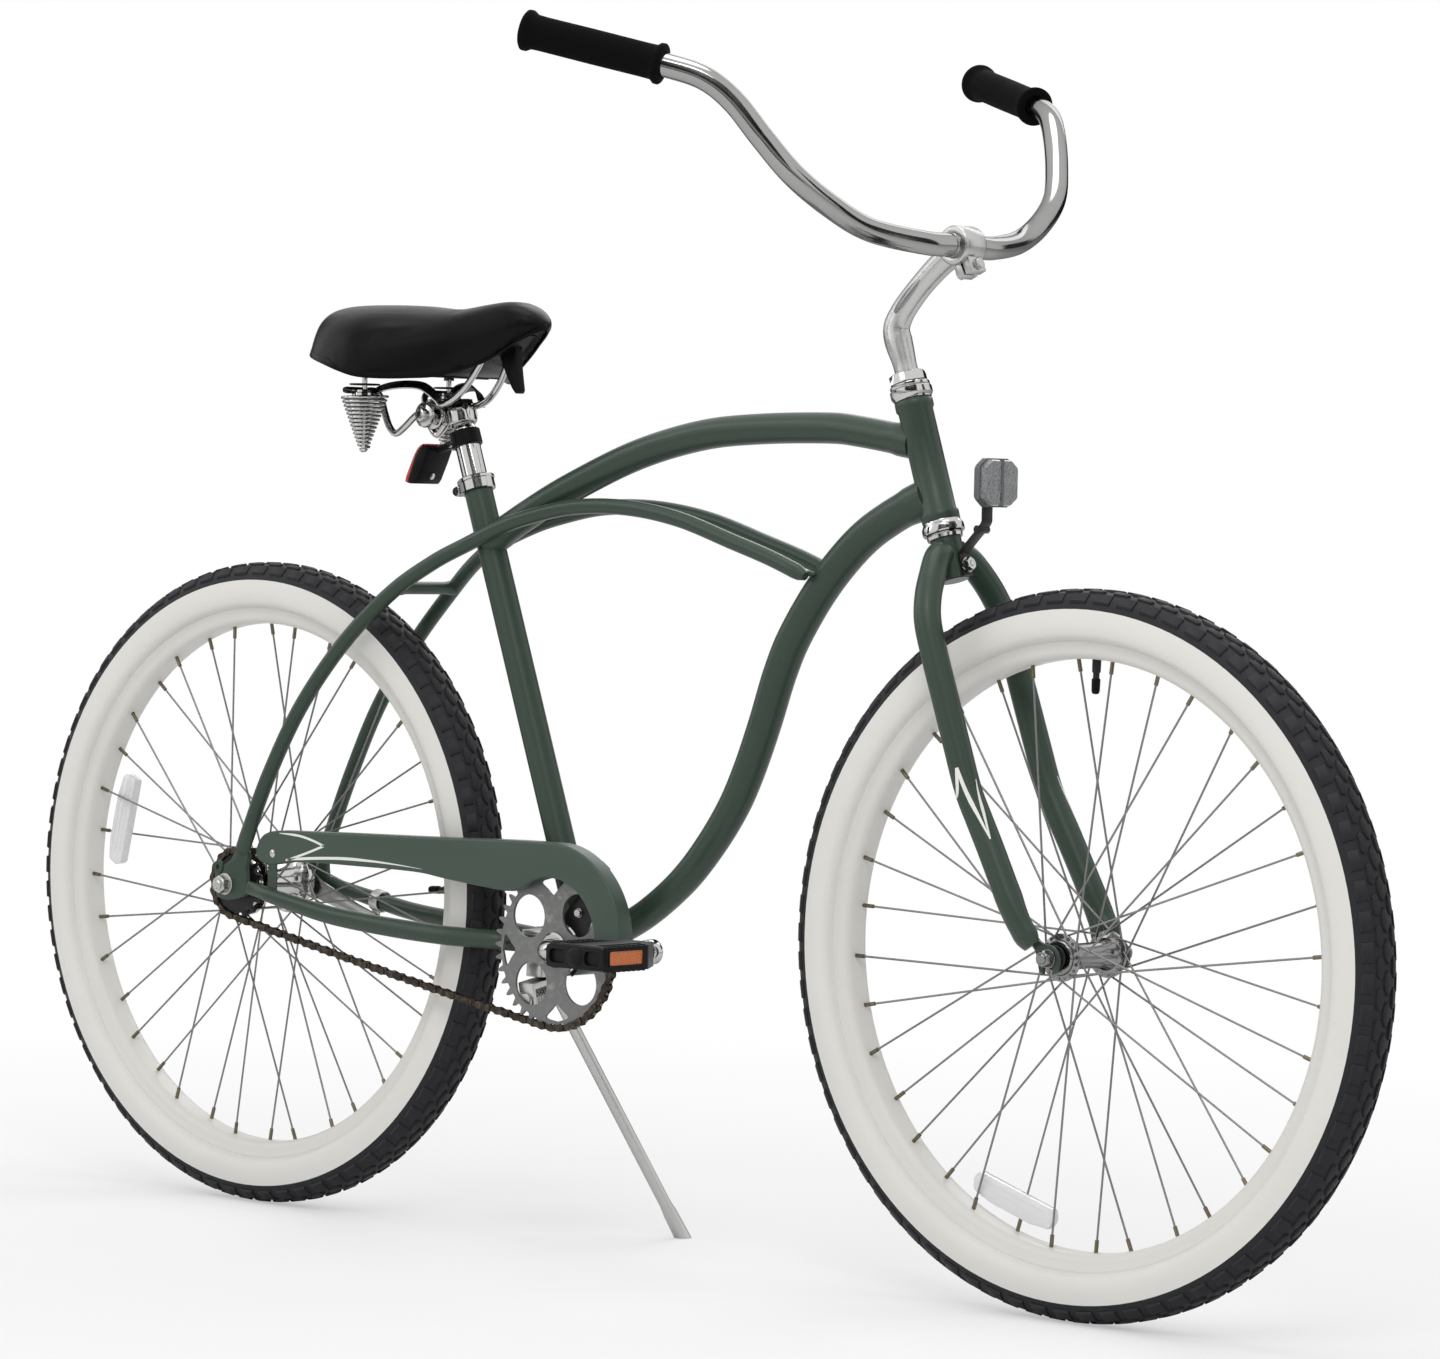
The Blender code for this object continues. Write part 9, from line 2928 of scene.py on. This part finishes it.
# Studio
@dataclass
class Studio:
    """The pale floor, the soft lights, the dark cards that metal reflects, and the camera."""

    eye: Triple = (3.4848905, -3.8021089, 0.728862)
    right: Triple = (0.7450599, 0.6666523, 0.0214591)
    down: Triple = (0.0370543, -0.0092465, -0.9992705)
    forward: Triple = (-0.6659675, 0.7453115, -0.0315916)
    lens: float = 132.492
    floor_r: float = 40.0
    floor_z: float = -0.0005
    sky: float = 0.5
    card_away: float = 3.2

    def build(self) -> None:
        """Makes the whole studio."""
        self.camera()
        self.world()
        self.floor()
        self.lamps()
        self.cards()
        bpy.context.scene.view_settings.view_transform = "Standard"

    def camera(self) -> None:
        """The camera, where the photograph was taken from."""
        data = bpy.data.cameras.new("camera")
        data.lens = self.lens
        data.clip_end = 100.0
        cam = link(bpy.data.objects.new("camera", data))
        turn = np.stack([unit(self.right), -unit(self.down), -unit(self.forward)], axis=1)
        cam.matrix_world = Matrix.Translation(Vector(self.eye)) @ Matrix(turn.tolist()).to_4x4()
        bpy.context.scene.camera = cam

    def world(self) -> None:
        """White where the camera, metal or glass sees it, and a plain soft light elsewhere."""
        world = bpy.data.worlds.new("studio")
        bpy.context.scene.world = world
        world.use_nodes = True
        tree = world.node_tree
        back = tree.nodes["Background"]
        path = tree.nodes.new("ShaderNodeLightPath")
        seen = path.outputs["Is Camera Ray"]
        for label in ("Is Glossy Ray", "Is Transmission Ray"):
            both = shader_node(tree, "ShaderNodeMath", "MAXIMUM")
            wire(tree, (seen, both.inputs[0]), (path.outputs[label], both.inputs[1]))
            seen = both.outputs[0]
        level = shader_node(tree, "ShaderNodeMapRange", To_Min=self.sky)
        wire(tree, (seen, level.inputs["Value"]), (level.outputs[0], back.inputs["Strength"]))
        back.inputs["Color"].default_value = (1.0, 1.0, 1.0, 1.0)

    def floor(self) -> None:
        """The pale floor, which fades to white and keeps the shadow."""
        mesh = bpy.data.meshes.new("floor")
        rim = [(x, y, self.floor_z) for x, y in circle((0.0, 0.0), self.floor_r, 95)]
        mesh.from_pydata(rim, [], [tuple(range(len(rim)))])
        floor = link(bpy.data.objects.new("floor", mesh))
        mat = bpy.data.materials.new("floor_paper")
        mat.use_nodes = True
        tree = mat.node_tree
        shader = tree.nodes["Principled BSDF"]
        shader.inputs["Base Color"].default_value = (0.86, 0.86, 0.86, 1.0)
        shader.inputs["Roughness"].default_value = 0.9
        shader.inputs["Specular IOR Level"].default_value = 0.0
        glow = tree.nodes.new("ShaderNodeEmission")
        path = tree.nodes.new("ShaderNodeLightPath")
        mix = tree.nodes.new("ShaderNodeMixShader")
        share = shader_node(tree, "ShaderNodeMath", "MULTIPLY")
        place = tree.nodes.new("ShaderNodeTexCoord")
        away = shader_node(tree, "ShaderNodeVectorMath", "LENGTH")
        fade = shader_node(tree, "ShaderNodeMapRange", From_Min=0.8, From_Max=2.2, To_Min=0.45, To_Max=1.0)
        wire(
            tree, (place.outputs["Object"], away.inputs[0]), (away.outputs["Value"], fade.inputs["Value"]),
            (fade.outputs[0], share.inputs[1]), (path.outputs["Is Camera Ray"], share.inputs[0]),
            (share.outputs[0], mix.inputs[0]), (shader.outputs[0], mix.inputs[1]), (glow.outputs[0], mix.inputs[2]),
            (mix.outputs[0], tree.nodes["Material Output"].inputs["Surface"]),
        )
        mesh.materials.append(mat)

    def lamps(self) -> None:
        """Four large soft lamps: the key and the fill on the camera's side, one behind and one overhead."""
        for name, at, power, size in (
            ("key", (2.4, -3.0, 3.4), 78.0, 2.6), ("fill", (-3.0, -2.6, 2.2), 30.0, 3.0),
            ("back", (-1.2, 3.4, 3.0), 46.0, 3.0), ("top", (0.0, 0.0, 4.2), 36.0, 2.4),
        ):
            data = bpy.data.lights.new(name, "AREA")
            data.shape = "DISK"
            data.size = size
            data.energy = power
            lamp = link(bpy.data.objects.new(name, data))
            aim = Vector((0.0, 0.0, 0.5)) - Vector(at)
            lamp.matrix_world = Matrix.Translation(Vector(at)) @ aim.to_track_quat("-Z", "Y").to_matrix().to_4x4()

    def cards(self) -> None:
        """Dark cards that only reflections see, so that chrome has its dark streaks."""
        mat = bpy.data.materials.new("card_black")
        mat.use_nodes = True
        inputs = mat.node_tree.nodes["Principled BSDF"].inputs
        inputs["Base Color"].default_value = (0.02, 0.02, 0.022, 1.0)
        inputs["Roughness"].default_value = 1.0
        for name, azimuth, low, high, width in (
            ("card_front", -48.0, 0.95, 3.6, 3.8), ("card_low", -48.0, -0.02, 0.4, 5.0),
            ("card_left", -140.0, 0.4, 2.2, 0.9), ("card_right", 20.0, 0.5, 2.4, 0.8),
            ("card_far", 100.0, 0.9, 1.9, 3.6), ("card_back", 160.0, 0.5, 2.2, 1.0),
        ):
            a = math.radians(azimuth)
            out = np.array([math.cos(a), math.sin(a), 0.0])
            across = np.array([-out[1], out[0], 0.0])
            spot, side = out * self.card_away, across * width / 2
            corners = [spot + side * s + Z_AXIS * z for s, z in ((-1, low), (1, low), (1, high), (-1, high))]
            mesh = bpy.data.meshes.new(name)
            mesh.from_pydata([tuple(c) for c in corners], [], [(0, 1, 2, 3)])
            mesh.materials.append(mat)
            card = link(bpy.data.objects.new(name, mesh))
            card.visible_camera = card.visible_diffuse = card.visible_shadow = card.visible_transmission = False


def main() -> None:
    """Builds the bicycle's sub-assemblies in order, then the studio."""
    logging.basicConfig(level=logging.INFO, format="%(message)s")
    front_wheel = Wheel(
        "front", PLAN.front, flange_y=0.034, flange_r=0.019, phase=math.radians(4.0),
        reflector_angle=math.radians(-107.63), reflector_inside=0.0277, reflector_half=0.005,
        valve_angle=math.radians(88.7),
    )
    rear_wheel = Wheel(
        "rear", PLAN.rear, flange_y=0.029, flange_r=0.03, phase=math.radians(1.6),
        reflector_angle=math.radians(166.55), reflector_inside=0.0395, reflector_half=0.0061,
        valve_angle=math.radians(1.7),
    )
    kinds = (FrontHub, RearHub, FrameTubes, SmallFittings, Fork, Cockpit, Drivetrain, Guard, Stand, SeatSet, Saddle)
    assemblies = [front_wheel, rear_wheel] + [kind() for kind in kinds]
    for assembly in assemblies:
        assembly.build()
        log.info("built %s", type(assembly).__name__)
    Studio().build()
    bpy.context.view_layer.update()


if __name__ == "__main__":
    main()
